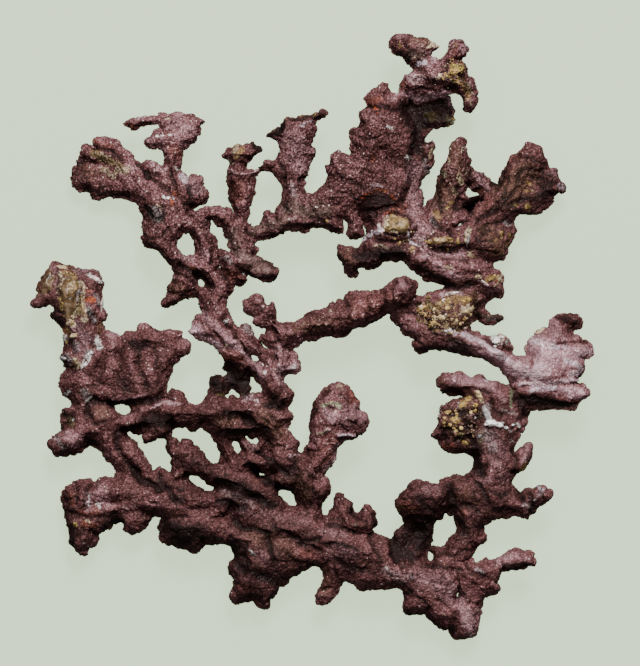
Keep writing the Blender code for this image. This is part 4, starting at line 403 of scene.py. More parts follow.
MARKS += [
    (-0.4, -0.35, 0.4, [(10.0, 50.4), (12.4, 50.6), (14.6, 50.4)]), (-0.4, -0.35, 0.4, [(15.6, 50.6), (17.4, 49.8), (19.4, 49.8)]),
    (-0.2, -0.2, 0.4, [(8.6, 46.8), (10.2, 46.2), (11.4, 46.8)]), (-0.2, -0.18, 0.4, [(8.2, 44.6), (10.6, 43.6), (13.6, 43.4)]),
    (-0.2, -0.15, 0.35, [(15.0, 44.6), (17.6, 44.0), (20.8, 44.8)]), (-0.2, -0.12, 0.5, [(9.4, 41.8), (12.6, 40.8), (16.0, 41.4)]),
    (-0.3, -0.16, 0.5, [(6.2, 38.4), (9.4, 36.8), (12.6, 36.0)]),
    (-0.4, -0.3, 0.6, [(5.4, 35.6), (9.0, 33.8), (11.6, 32.6)]), (-0.3, -0.25, 0.5, [(3.4, 33.0), (6.4, 31.6), (9.4, 31.0)]),
    (-0.3, -0.25, 0.5, [(7.0, 36.6), (6.4, 34.6)]), (0.2, 0.05, 0.9, [(10.6, 48.4), (14.6, 47.6), (18.6, 48.2)]),
    (0.2, 0.08, 1.4, [(16.0, 37.0), (19.0, 35.4)]),
    (0.3, 0.1, 1.0, [(13.0, 53.6), (15.4, 52.0)]), (-0.3, -0.25, 0.4, [(13.8, 54.0), (16.0, 53.4)]),
    (-0.7, -0.5, 1.5, [(12.4, 30.0), (14.6, 30.6), (16.6, 30.0)]), (-0.4, -0.35, 1.4, [(11.6, 28.6), (13.4, 27.6), (15.4, 28.2)]),
    (-0.3, -0.2, 1.2, [(12.0, 26.6), (13.4, 25.4)]), (-0.4, -0.3, 0.5, [(17.8, 28.6), (19.6, 29.8), (20.6, 32.6)]),
    (-0.2, -0.3, 0.5, [(20.6, 36.4), (20.8, 39.4), (21.6, 41.0)]), (-0.5, -0.6, 1.1, [(22.4, 45.4), (22.8, 43.0), (22.6, 41.6)]),
    (-0.4, -0.6, 0.6, [(24.8, 43.2), (26.2, 43.6)]), (-0.3, -0.35, 0.7, [(23.6, 41.4), (24.6, 39.6)]), (0.2, 0.12, 1.7, [(22.4, 33.6), (22.6, 30.0), (22.4, 27.4)]),
    (-0.5, -0.6, 2.0, [(21.4, 50.0), (24.0, 50.2), (28.0, 50.6), (30.4, 50.4)]), (-0.4, -0.6, 1.6, [(21.6, 47.4), (24.0, 47.2), (27.0, 48.0), (29.4, 48.2)]),
    (-0.3, -0.5, 1.2, [(19.6, 51.2), (20.8, 50.2)]), (-0.2, -0.4, 1.0, [(23.4, 45.8), (23.2, 44.0)]),
    (0.4, 0.12, 0.7, [(17.4, 52.4), (20.0, 53.2), (23.4, 52.6), (26.6, 53.2), (30.4, 52.4)]),
    (-0.5, -0.45, 1.2, [(10.0, 17.8), (13.0, 17.6), (17.0, 18.0), (20.6, 17.8)]), (-0.4, -0.4, 0.9, [(11.4, 19.2), (15.0, 19.2), (19.4, 19.4)]),
    (-0.3, -0.3, 0.8, [(6.2, 17.6), (8.4, 15.6), (9.6, 14.6)]), (-0.4, -0.3, 0.4, [(9.8, 19.8), (10.4, 18.4)]),
    (0.3, 0.2, 0.5, [(11.0, 21.4), (13.4, 22.8), (15.6, 23.4)]), (0.5, 0.0, 1.5, [(17.0, 24.4), (19.6, 24.4)]),
    (-0.5, -0.5, 0.35, [(16.0, 22.5), (18.6, 22.4), (20.4, 22.7)]), (-0.4, -0.4, 0.4, [(17.2, 27.2), (20.6, 26.8), (21.6, 25.4)]),
    (0.3, 0.15, 1.5, [(23.6, 24.4), (25.4, 23.4)]), (-0.4, -0.45, 0.6, [(26.6, 25.6), (28.2, 24.2), (30.4, 22.8)]),
    (-0.4, -0.4, 0.5, [(28.8, 20.4), (32.4, 20.4), (34.0, 19.4)]), (-0.4, -0.4, 0.5, [(23.0, 18.6), (25.2, 18.4), (28.2, 17.3), (34.0, 16.8)]),
    (-0.4, -0.4, 0.45, [(24.4, 16.4), (27.4, 15.2), (30.4, 15.0)]), (-0.4, -0.35, 0.45, [(29.6, 16.0), (33.6, 14.6), (37.0, 14.2)]),
    (-0.4, -0.3, 0.4, [(25.6, 19.6), (30.4, 19.0)]), (-0.4, -0.45, 0.9, [(22.6, 16.0), (25.2, 14.2), (28.4, 12.8)]), (-0.5, -0.55, 0.9, [(29.4, 11.8), (32.0, 11.2), (34.6, 11.6)]),
    (0.2, 0.1, 1.0, [(27.0, 18.4), (32.0, 17.8)]), (0.2, 0.1, 0.9, [(26.4, 16.2), (30.4, 13.8)]),
    (-0.3, -0.3, 0.7, [(27.4, 33.4), (27.8, 30.0), (28.4, 27.4)]), (-0.3, -0.25, 0.5, [(29.8, 41.4), (29.2, 37.6), (28.6, 34.4)]),
    (-0.3, -0.3, 0.5, [(31.6, 33.4), (32.0, 30.4), (31.0, 27.6)]), (0.3, 0.08, 0.6, [(31.8, 43.0), (31.6, 38.0), (31.0, 33.4)]),
    (-0.4, -0.4, 0.6, [(34.8, 27.2), (33.6, 28.4), (32.0, 28.2)]), (-0.4, -0.35, 0.5, [(34.6, 36.0), (34.2, 33.6)]),
]
PATCHES += [
    (RED, 0.95, 0.6, [(13.1, 50.3), (13.7, 50.2)]), (RUST, 0.8, 0.35, [(14.2, 49.1)]), (RUST, 0.5, 0.5, [(13.1, 39.6), (13.4, 38.6)]), (RUST, 0.3, 1.2, [(14.6, 52.0), (12.4, 51.6)]),
    (WHITE, 0.7, 0.4, [(16.4, 46.2), (17.2, 45.8)]), (WHITE, 0.5, 0.3, [(11.6, 46.6)]), (WHITE, 0.5, 0.3, [(15.0, 49.0)]),
    (RED, 0.95, 0.4, [(11.2, 30.8), (12.2, 31.6)]), (RUST, 0.9, 0.25, [(12.4, 31.8), (14.2, 32.1), (16.2, 32.2)]), (RED, 0.7, 0.35, [(17.6, 30.8), (17.9, 30.0)]),
    (RED, 0.5, 0.45, [(16.0, 27.2), (17.4, 27.6)]), (BLOOD, 0.7, 1.0, [(12.8, 28.0), (15.2, 28.6)]), (PINK, 0.6, 0.5, [(13.4, 33.4), (15.0, 33.2)]),
    (MAUVE, 0.4, 2.0, [(22.6, 33.0), (22.4, 29.6), (22.2, 27.4)]), (MAUVE, 0.5, 1.9, [(22.6, 37.4), (22.0, 35.0)]), (SAND, 0.6, 0.3, [(26.3, 42.0), (26.0, 39.4)]),
    (WHITE, 0.9, 0.22, [(22.0, 42.0), (22.6, 42.0)]), (WHITE, 0.9, 0.25, [(23.8, 41.8)]), (WHITE, 0.95, 0.45, [(20.9, 39.4), (21.5, 39.3)]), (GREY, 0.5, 0.9, [(24.6, 38.4), (25.6, 36.6)]),
    (OCHRE, 0.7, 1.0, [(25.0, 48.6), (26.6, 48.4)]), (SAND, 0.9, 0.8, [(30.0, 47.6), (31.0, 47.2)]), (OCHRE, 0.7, 0.8, [(29.6, 48.0), (30.4, 46.8)]),
    (MAUVE, 0.5, 0.6, [(17.4, 52.4), (20.0, 53.2), (23.4, 52.6), (26.6, 53.2), (30.4, 52.4)]),
    (SAND, 1.0, 1.5, [(17.4, 24.3), (19.6, 24.2)]), (OCHRE, 0.9, 0.9, [(16.4, 23.6), (18.2, 25.4), (20.2, 25.0)]), (CREAM, 0.7, 0.4, [(15.4, 23.4), (16.6, 25.0)]),
    (LILAC_SHEEN, 0.9, 0.45, [(11.0, 21.4), (13.4, 22.8), (15.6, 23.5)]), (WHITE, 0.7, 0.3, [(15.0, 24.6), (15.2, 23.0)]), (LILAC_SHEEN, 0.9, 0.4, [(20.8, 23.6), (21.4, 20.8), (23.4, 20.2)]),
    (MAUVE, 0.5, 1.5, [(23.4, 24.4), (25.4, 23.4)]), (PINK, 0.5, 1.0, [(22.4, 22.4), (24.4, 21.4)]), (SAND, 0.85, 0.7, [(26.0, 20.8), (27.6, 21.2), (29.0, 21.4)]),
    (YELLOW, 0.6, 0.5, [(31.9, 21.3), (31.6, 20.6)]), (OCHRE, 0.5, 0.6, [(30.4, 21.8), (29.6, 20.8)]), (SAND, 0.7, 0.5, [(33.4, 20.6), (34.2, 23.6)]), (SAND, 0.7, 0.6, [(34.6, 18.2)]),
    (OCHRE, 0.6, 0.4, [(21.6, 19.4), (22.2, 19.0)]), (CREAM, 0.5, 0.35, [(7.8, 19.3)]), (CREAM, 0.5, 0.3, [(9.6, 19.5)]), (UMBER, 0.5, 1.2, [(7.4, 18.4), (8.4, 16.4)]),
    (CREAM, 0.5, 0.3, [(13.6, 20.4), (16.4, 19.8)]), (MAUVE, 0.5, 1.3, [(24.6, 18.8), (29.0, 18.0), (33.0, 17.8)]), (MAUVE, 0.5, 0.9, [(26.6, 16.2), (30.6, 13.8), (33.0, 13.0)]),
    (SAND, 0.6, 0.4, [(29.2, 15.6), (30.2, 15.4)]), (MOSS, 0.6, 0.9, [(24.4, 14.6), (27.6, 13.2)]), (RUST, 0.25, 1.0, [(17.6, 27.8), (20.4, 28.4)]),
    (WHITE, 0.95, 0.3, [(32.0, 24.6), (33.6, 25.8)]), (UMBER, 0.5, 2.2, [(28.6, 33.0), (29.0, 28.4)]), (UMBER, 0.45, 1.8, [(31.4, 41.0), (31.8, 36.0)]),
    (SAND, 0.75, 0.6, [(29.4, 36.4), (28.8, 35.6)]), (SAND, 0.7, 0.7, [(31.8, 35.8), (32.4, 34.4)]), (CREAM, 0.7, 0.35, [(33.2, 41.8), (32.8, 40.8)]), (OCHRE, 0.6, 0.6, [(30.2, 29.8), (29.6, 28.6)]),
    (CREAM, 0.8, 0.4, [(33.8, 32.8), (34.0, 31.8)]), (SAND, 0.5, 0.5, [(30.0, 39.4), (30.6, 38.4)]), (SAND, 0.5, 0.6, [(31.2, 31.6), (30.6, 33.0)]), (CREAM, 0.5, 0.3, [(28.4, 31.4)]),
    (OCHRE, 0.4, 0.7, [(27.0, 27.4), (28.0, 26.4)]), (SAND, 0.5, 0.35, [(33.6, 37.2), (33.8, 35.8)]), (GREY, 0.5, 0.6, [(26.4, 26.2), (27.0, 24.8)]),
]
MARKS += [
    (0.4, 0.3, 1.8, [(24.4, 17.6), (27.0, 16.4), (30.0, 14.8), (33.6, 13.6)]), (0.3, 0.2, 1.4, [(30.0, 17.6), (34.0, 15.8), (36.0, 15.4)]),
    (0.3, 0.2, 1.2, [(22.6, 18.6), (24.0, 18.2)]),
]
# Marks on the crown and on the upper right fan

MARKS += [
    (-0.3, -0.4, 0.8, [(17.8, 63.0), (19.6, 61.8), (21.0, 61.0)]), (-0.3, -0.3, 0.5, [(20.6, 63.4), (22.4, 62.6), (24.8, 63.4)]),
    (-0.3, -0.3, 0.7, [(21.4, 62.0), (23.6, 61.6)]), (-0.3, -0.4, 0.5, [(20.2, 65.2), (21.0, 63.6)]), (-0.3, -0.3, 0.5, [(22.2, 59.4), (20.8, 60.4)]),
    (-0.4, -0.4, 0.5, [(29.6, 60.4), (31.0, 60.9), (33.2, 60.6)]), (-0.4, -0.4, 0.5, [(29.4, 59.8), (29.2, 58.4), (28.0, 58.0)]),
    (-0.4, -0.45, 0.5, [(30.4, 57.3), (32.4, 57.2), (33.6, 58.2)]), (-0.4, -0.5, 0.9, [(25.2, 55.8), (28.6, 55.4), (30.6, 55.0)]),
    (-0.4, -0.5, 0.5, [(21.0, 54.0), (24.6, 54.2), (28.0, 53.9), (30.6, 54.2)]), (-0.3, -0.35, 0.5, [(33.0, 57.6), (33.6, 55.0), (33.4, 52.4)]),
    (0.2, 0.12, 0.9, [(21.4, 57.2), (23.4, 57.8)]), (0.3, 0.1, 1.0, [(32.8, 63.4), (33.0, 62.4)]), (-0.2, -0.25, 0.7, [(19.4, 55.0), (20.6, 54.4)]),
    (-0.5, -0.6, 0.5, [(39.6, 34.1), (40.6, 34.4)]), (-0.3, -0.4, 0.5, [(41.6, 36.6), (42.0, 35.2)]),
    (-0.5, -0.35, 0.5, [(36.4, 25.4), (39.6, 28.6), (42.0, 31.6), (43.4, 35.4)]), (-0.5, -0.35, 0.5, [(38.4, 26.6), (41.6, 29.2), (44.6, 32.6), (45.6, 36.6)]),
    (-0.4, -0.3, 0.45, [(39.8, 27.6), (44.0, 29.4), (47.6, 31.0)]), (-0.4, -0.3, 0.4, [(40.0, 31.4), (41.6, 34.6), (42.6, 38.0)]),
    (-0.4, -0.35, 0.9, [(46.4, 30.4), (49.6, 30.6)]), (-0.4, -0.45, 1.1, [(50.8, 33.4), (51.8, 32.6), (51.0, 31.2)]),
    (-0.3, -0.3, 0.4, [(46.4, 37.0), (49.8, 36.6), (52.6, 35.4)]), (-0.3, -0.3, 0.4, [(45.6, 39.4), (48.6, 39.2), (51.0, 38.0)]), (-0.3, -0.3, 0.4, [(47.6, 35.4), (51.0, 34.8), (53.6, 33.8)]),
    (0.4, 0.05, 0.6, [(40.6, 30.2), (42.8, 33.4), (44.4, 37.6)]), (0.4, 0.04, 0.6, [(41.6, 28.2), (45.2, 31.4), (47.4, 34.6)]), (0.3, 0.04, 0.6, [(38.4, 28.6), (40.4, 31.6)]),
    (0.2, 0.08, 1.3, [(36.6, 35.4), (37.4, 34.0)]), (-0.3, -0.25, 0.5, [(36.0, 32.4), (38.6, 32.6)]),
    (-0.4, -0.35, 0.5, [(36.4, 23.6), (39.4, 24.7), (42.2, 25.8)]), (-0.4, -0.3, 0.4, [(36.0, 21.0), (39.6, 21.0), (41.8, 22.8)]), (-0.4, -0.3, 0.4, [(36.0, 19.0), (40.6, 18.8)]),
    (-0.3, -0.3, 0.5, [(38.6, 23.4), (36.2, 21.8)]),
]
PATCHES += [
    (MAUVE, 0.5, 0.8, [(19.0, 66.0), (20.2, 66.2)]), (OCHRE, 0.7, 0.4, [(19.1, 64.4), (19.5, 63.8)]), (RUST, 0.25, 1.0, [(22.4, 64.6), (24.4, 64.4)]),
    (MOSS, 0.6, 1.4, [(21.6, 61.6), (24.2, 62.0)]), (CREAM, 0.6, 0.3, [(21.6, 61.0), (23.0, 61.2)]), (CREAM, 0.6, 0.25, [(23.4, 62.4)]), (CREAM, 0.75, 0.6, [(25.8, 64.0), (27.2, 63.8)]),
    (WHITE, 0.6, 0.3, [(27.2, 63.0)]), (LILAC_SHEEN, 0.9, 0.5, [(22.8, 59.8), (24.8, 60.2)]), (PINK, 0.6, 0.6, [(26.4, 61.2), (27.6, 60.8)]), (RUST, 0.2, 1.4, [(31.0, 62.0), (33.0, 61.4)]),
    (MAUVE, 0.6, 0.8, [(32.8, 63.4), (33.2, 62.6)]), (OCHRE, 0.8, 0.45, [(31.2, 64.0)]), (WHITE, 0.7, 0.35, [(33.6, 64.2)]),
    (YELLOW, 0.8, 1.0, [(30.8, 58.8), (32.4, 58.6)]), (OCHRE, 0.8, 0.7, [(30.2, 57.8), (29.4, 57.2)]), (CREAM, 0.85, 0.5, [(27.2, 56.6), (28.0, 57.0)]), (OCHRE, 0.7, 0.8, [(31.0, 56.2), (32.6, 56.0)]),
    (PAINTED_SHADOW, 0.7, 0.4, [(32.0, 57.2), (31.0, 56.8)]), (PINK, 0.5, 1.2, [(21.4, 57.2), (23.4, 56.6)]), (RUST, 0.2, 0.8, [(19.6, 55.6)]),
    (SAND, 0.5, 0.5, [(34.0, 55.6), (35.0, 53.4)]), (CREAM, 0.5, 0.35, [(34.2, 52.0), (34.8, 51.0)]), (OCHRE, 0.5, 0.8, [(33.4, 55.6), (34.0, 52.4)]),
    (LILAC_SHEEN, 0.35, 1.5, [(36.6, 35.4), (37.4, 34.0)]), (MAUVE, 0.5, 1.6, [(36.6, 35.8), (37.6, 33.8)]), (RUST, 0.25, 0.6, [(35.6, 32.2), (37.4, 32.0)]),
    (OCHRE, 0.8, 0.5, [(47.2, 34.2), (47.8, 33.8)]), (SAND, 0.6, 0.35, [(46.8, 33.0)]), (OCHRE, 0.8, 0.4, [(44.4, 29.4), (44.5, 28.8)]), (OCHRE, 0.85, 0.45, [(47.1, 28.8), (47.4, 28.5)]), (SAND, 0.6, 0.35, [(42.5, 32.8)]),
    (OCHRE, 0.5, 0.35, [(45.0, 31.6)]), (OCHRE, 0.4, 0.4, [(46.4, 32.0), (48.0, 32.4)]), (UMBER, 0.55, 3.6, [(43.0, 32.0), (47.0, 36.0)]), (RUST, 0.12, 3.0, [(39.0, 29.0), (46.0, 38.0)]),
    (GREY, 0.8, 0.6, [(42.0, 25.0), (42.6, 24.6)]), (LILAC_SHEEN, 0.4, 0.6, [(54.0, 33.2), (54.6, 33.0)]), (MAUVE, 0.4, 0.9, [(52.6, 36.4), (53.4, 35.4)]),
    (OCHRE, 0.8, 0.4, [(41.2, 23.2), (41.1, 22.0)]), (OCHRE, 0.7, 0.4, [(40.4, 21.6), (40.2, 21.0)]), (OCHRE, 0.7, 0.35, [(43.1, 22.8), (42.9, 22.2)]), (OCHRE, 0.7, 0.35, [(42.8, 20.8), (42.5, 20.2)]),
    (OCHRE, 0.6, 0.35, [(41.8, 18.8), (41.6, 18.2)]), (UMBER, 0.6, 2.6, [(38.6, 22.6), (40.0, 20.0)]),
]
# Marks on the hub, the middle arm, the bridge and the right leaf

MARKS += [
    (-0.6, -0.6, 2.0, [(-18.4, -6.4), (-16.4, -8.0), (-15.6, -10.4)]), (-0.4, -0.6, 1.5, [(-21.4, -9.0), (-20.8, -11.2), (-18.0, -10.4)]),
    (-0.3, -0.5, 0.9, [(-14.0, -7.2), (-13.6, -9.6), (-14.2, -11.8)]), (0.3, 0.0, 1.2, [(-17.8, -3.4), (-15.8, -3.4)]),
    (0.4, 0.14, 0.9, [(-23.6, 5.4), (-20.4, 1.8), (-16.6, -1.6), (-12.8, -5.6), (-10.8, -8.6)]), (0.4, 0.08, 0.7, [(-16.4, -0.6), (-13.4, -2.4), (-9.8, -5.4), (-7.8, -9.0)]),
    (-0.6, -0.5, 0.5, [(-17.0, 0.4), (-15.8, -0.9), (-14.2, -2.9)]), (-0.4, -0.35, 0.4, [(-15.2, -4.6), (-12.8, -6.6), (-11.6, -8.6)]),
    (-0.4, -0.35, 0.4, [(-19.4, 4.8), (-18.4, 2.4), (-16.8, 1.2)]), (-0.4, -0.3, 0.4, [(-21.6, 1.4), (-19.4, -1.4)]), (-0.4, -0.35, 0.5, [(-12.2, -0.6), (-10.8, -3.2), (-8.2, -4.0)]),
    (-0.4, -0.3, 0.5, [(-8.6, 1.6), (-7.2, -0.8), (-5.0, -2.4)]), (-0.3, -0.3, 0.5, [(-8.4, -4.6), (-6.4, -5.6), (-5.6, -7.4)]), (-0.3, -0.25, 0.5, [(-9.8, 5.4), (-8.4, 3.6)]),
    (-0.6, -0.5, 1.1, [(-8.8, -12.8), (-7.6, -13.8), (-8.4, -14.6)]), (-0.4, -0.4, 0.5, [(-10.4, -14.8), (-7.4, -15.4), (-5.8, -15.0)]),
    (-0.4, -0.35, 0.5, [(-11.0, 1.0), (-10.0, -0.6), (-7.6, -1.0)]), (0.3, 0.08, 1.1, [(-7.6, -2.0), (-6.6, -6.0), (-7.4, -10.0)]),
    (-0.3, -0.3, 0.4, [(-13.6, 7.6), (-11.4, 6.8), (-10.6, 5.4)]), (0.3, 0.06, 0.8, [(-12.8, 8.4), (-11.4, 7.6)]),
    (-0.3, -0.25, 1.0, [(-1.0, 1.0), (3.0, 0.9), (7.6, 1.4)]), (-0.3, -0.25, 0.5, [(-5.6, 3.6), (-3.0, 4.6), (0.4, 5.8)]), (-0.3, -0.3, 0.5, [(7.6, 7.4), (8.4, 5.0), (8.0, 2.4)]),
    (-0.3, -0.3, 0.5, [(12.0, 8.6), (12.6, 6.0), (12.0, 4.2)]), (-0.4, -0.35, 0.4, [(15.4, 10.6), (16.0, 8.0), (15.2, 5.6)]), (-0.4, -0.35, 0.4, [(18.2, 12.4), (17.2, 10.0), (18.4, 7.6)]),
    (-0.4, -0.3, 0.35, [(20.6, 12.8), (22.0, 11.6), (21.8, 10.0)]), (0.3, 0.12, 1.3, [(19.6, 12.2), (20.4, 10.6)]), (0.3, 0.1, 1.0, [(10.0, 7.0), (13.6, 8.2)]),
    (-0.4, -0.35, 0.6, [(20.0, 7.0), (22.6, 7.2), (24.8, 7.2)]), (-0.4, -0.3, 0.5, [(21.0, 5.4), (24.4, 4.4), (27.0, 0.6)]), (0.3, 0.06, 1.0, [(20.6, 4.0), (23.0, 2.4)]),
    (-0.3, -0.4, 0.9, [(35.6, 8.4), (36.2, 5.6)]), (-0.3, -0.45, 1.0, [(36.8, 4.6), (39.4, 4.4), (41.4, 4.4)]), (-0.3, -0.3, 1.0, [(30.4, -0.6), (33.0, -1.0)]),
    (-0.3, -0.35, 1.0, [(23.6, -2.6), (28.0, -2.8), (33.0, -3.4), (38.0, -5.4), (41.4, -8.4)]), (0.5, 0.2, 1.1, [(33.2, 0.4), (37.0, -1.2), (40.6, -3.6), (44.0, -6.0)]),
    (-0.3, -0.5, 0.5, [(37.8, -0.4), (39.8, -1.9), (42.0, -2.4), (43.4, -2.6)]), (-0.3, -0.3, 0.4, [(41.8, 0.4), (42.8, -0.6)]),
    (0.2, 0.16, 1.8, [(49.0, -1.6), (53.0, -2.2), (57.0, -3.0)]), (0.2, 0.12, 2.4, [(50.0, -5.4), (56.0, -6.2)]), (-0.3, -0.4, 0.35, [(53.6, -1.0), (56.6, -1.2), (60.2, -0.8)]),
    (-0.4, -0.45, 1.3, [(55.6, 4.4), (57.4, 3.6), (56.6, 2.0)]), (0.3, 0.05, 1.0, [(52.6, 3.4), (53.4, 0.8)]), (-0.3, -0.25, 0.4, [(47.6, -4.4), (48.0, -7.4), (46.8, -9.4)]),
    (0.4, 0.25, 0.8, [(48.0, -11.2), (52.4, -11.0), (55.4, -11.4)]), (0.3, 0.15, 1.1, [(55.8, -11.4), (59.0, -11.8)]), (-0.9, -0.62, 1.1, [(46.6, -13.6), (50.0, -14.4), (54.0, -14.8), (58.0, -15.0)]),
    (-0.3, -0.3, 0.4, [(56.2, -9.6), (59.0, -9.8)]), (-0.6, -0.5, 1.1, [(44.2, -12.0), (45.4, -14.0), (46.2, -16.4)]), (-0.3, -0.25, 0.4, [(46.0, -10.6), (50.6, -9.8), (55.4, -9.6)]),
]
PATCHES += [
    (MAUVE, 0.65, 1.0, [(-23.8, 5.4), (-20.4, 1.8), (-16.6, -1.6), (-12.8, -5.6), (-10.8, -8.6)]), (PINK, 0.35, 0.7, [(-21.0, 2.4), (-17.4, -1.0)]), (PINK, 0.4, 0.6, [(-14.0, -4.6), (-12.4, -6.6)]),
    (RUST, 0.3, 1.5, [(-18.0, -3.2), (-15.4, -3.6)]), (OLIVE, 0.9, 0.5, [(-20.3, -12.4), (-19.6, -12.3)]), (PAINTED_SHADOW, 0.5, 2.0, [(-18.0, -6.6), (-16.4, -8.6), (-15.8, -10.4)]), (PAINTED_SHADOW, 0.5, 1.2, [(-21.2, -9.4), (-20.6, -11.0)]),
    (WHITE, 0.8, 0.4, [(-18.8, 3.8)]), (WHITE, 0.6, 0.25, [(-22.0, 8.6)]), (CREAM, 0.85, 0.4, [(-18.8, -1.3)]), (WHITE, 0.7, 0.22, [(-10.9, -5.8)]), (WHITE, 0.8, 0.25, [(-9.8, -6.3)]), (WHITE, 0.9, 0.28, [(-10.1, -7.6)]),
    (WHITE, 0.75, 0.3, [(-4.6, -6.6), (-4.2, -6.6)]), (WHITE, 0.5, 0.25, [(-10.9, 6.6)]), (GREY, 0.45, 0.6, [(-14.4, 2.2), (-13.2, 1.0)]), (OCHRE, 0.5, 0.3, [(-8.5, -11.8)]),
    (PINK, 0.85, 0.9, [(-14.6, -13.0), (-13.4, -13.2)]), (WHITE, 0.7, 0.4, [(-12.6, -13.8), (-12.0, -13.8)]), (CREAM, 0.6, 0.35, [(-15.4, -12.6)]), (MAUVE, 0.35, 1.6, [(-6.8, -2.0), (-6.8, -9.0)]),
    (SAND, 0.7, 0.3, [(-3.0, 2.0)]), (SAND, 0.6, 0.3, [(-2.0, 3.4)]), (CREAM, 0.7, 0.3, [(1.4, 2.8)]), (CREAM, 0.8, 0.35, [(3.9, 5.8)]), (SAND, 0.6, 0.3, [(6.4, 4.2)]), (SAND, 0.5, 0.25, [(-4.0, 1.4)]), (CREAM, 0.5, 0.22, [(3.2, 3.2)]),
    (SAND, 0.5, 0.25, [(4.8, 4.4)]), (SAND, 0.5, 0.25, [(-1.2, 1.6)]), (UMBER, 0.35, 1.8, [(-3.0, 2.6), (4.0, 3.6)]), (MAUVE, 0.35, 1.4, [(19.8, 12.0), (20.6, 10.6)]), (RUST, 0.12, 3.0, [(10.0, 6.4), (16.0, 8.6)]),
    (UMBER, 0.7, 1.5, [(35.2, 8.8), (35.8, 5.8)]), (MOSS, 0.7, 0.9, [(37.2, 4.6), (40.6, 4.4)]), (SAND, 0.5, 0.3, [(37.8, 5.2), (38.6, 4.9)]), (MOSS, 0.6, 1.0, [(30.0, -0.4), (33.0, -1.0)]),
    (LILAC_SHEEN, 0.5, 0.8, [(33.0, 0.6), (36.6, -0.9), (40.2, -3.2), (43.6, -5.6)]), (MAUVE, 0.6, 1.8, [(30.6, -1.6), (36.0, -2.6), (41.0, -5.4), (45.0, -7.4)]), (WHITE, 0.4, 0.35, [(38.6, -2.4), (41.4, -4.2)]),
    (WHITE, 0.95, 0.6, [(39.4, 0.0), (40.8, -0.5)]), (CREAM, 0.8, 0.5, [(40.4, 0.4), (41.8, 0.2)]), (PAINTED_SHADOW, 0.7, 0.4, [(42.6, -0.8), (42.2, -1.8)]), (UMBER, 0.6, 0.5, [(43.0, -1.6), (42.8, -2.4)]), (WHITE, 0.8, 0.3, [(41.4, -1.4)]),
    (MAUVE, 0.45, 3.0, [(48.6, -3.6), (53.0, -4.6), (57.0, -4.4)]), (LILAC_SHEEN, 0.35, 0.9, [(48.4, -1.0), (51.6, -1.6), (55.0, -2.0)]), (LILAC_SHEEN, 0.5, 0.9, [(55.6, -5.0), (58.6, -6.2)]), (LILAC_SHEEN, 0.4, 0.7, [(56.4, -8.0), (58.4, -7.4)]),
    (CREAM, 0.9, 0.5, [(49.6, 1.2), (50.2, 1.6)]), (MAUVE, 0.5, 1.4, [(52.4, 3.6), (53.6, 1.0)]), (LILAC_SHEEN, 0.55, 0.6, [(48.2, -11.2), (50.6, -10.8), (53.0, -10.8)]), (MAUVE, 0.5, 1.1, [(54.4, -11.2), (58.6, -11.8)]),
    (WHITE, 0.5, 0.3, [(49.0, -1.2), (50.4, -1.8)]), (WHITE, 0.4, 0.3, [(57.0, -5.4)]), (MOSS, 0.5, 0.9, [(50.0, -14.8), (56.0, -15.0)]), (VERT, 0.8, 0.35, [(43.7, -13.4), (43.4, -14.8)]),
]
# Marks on the right arm, the right limb and the lower right corner

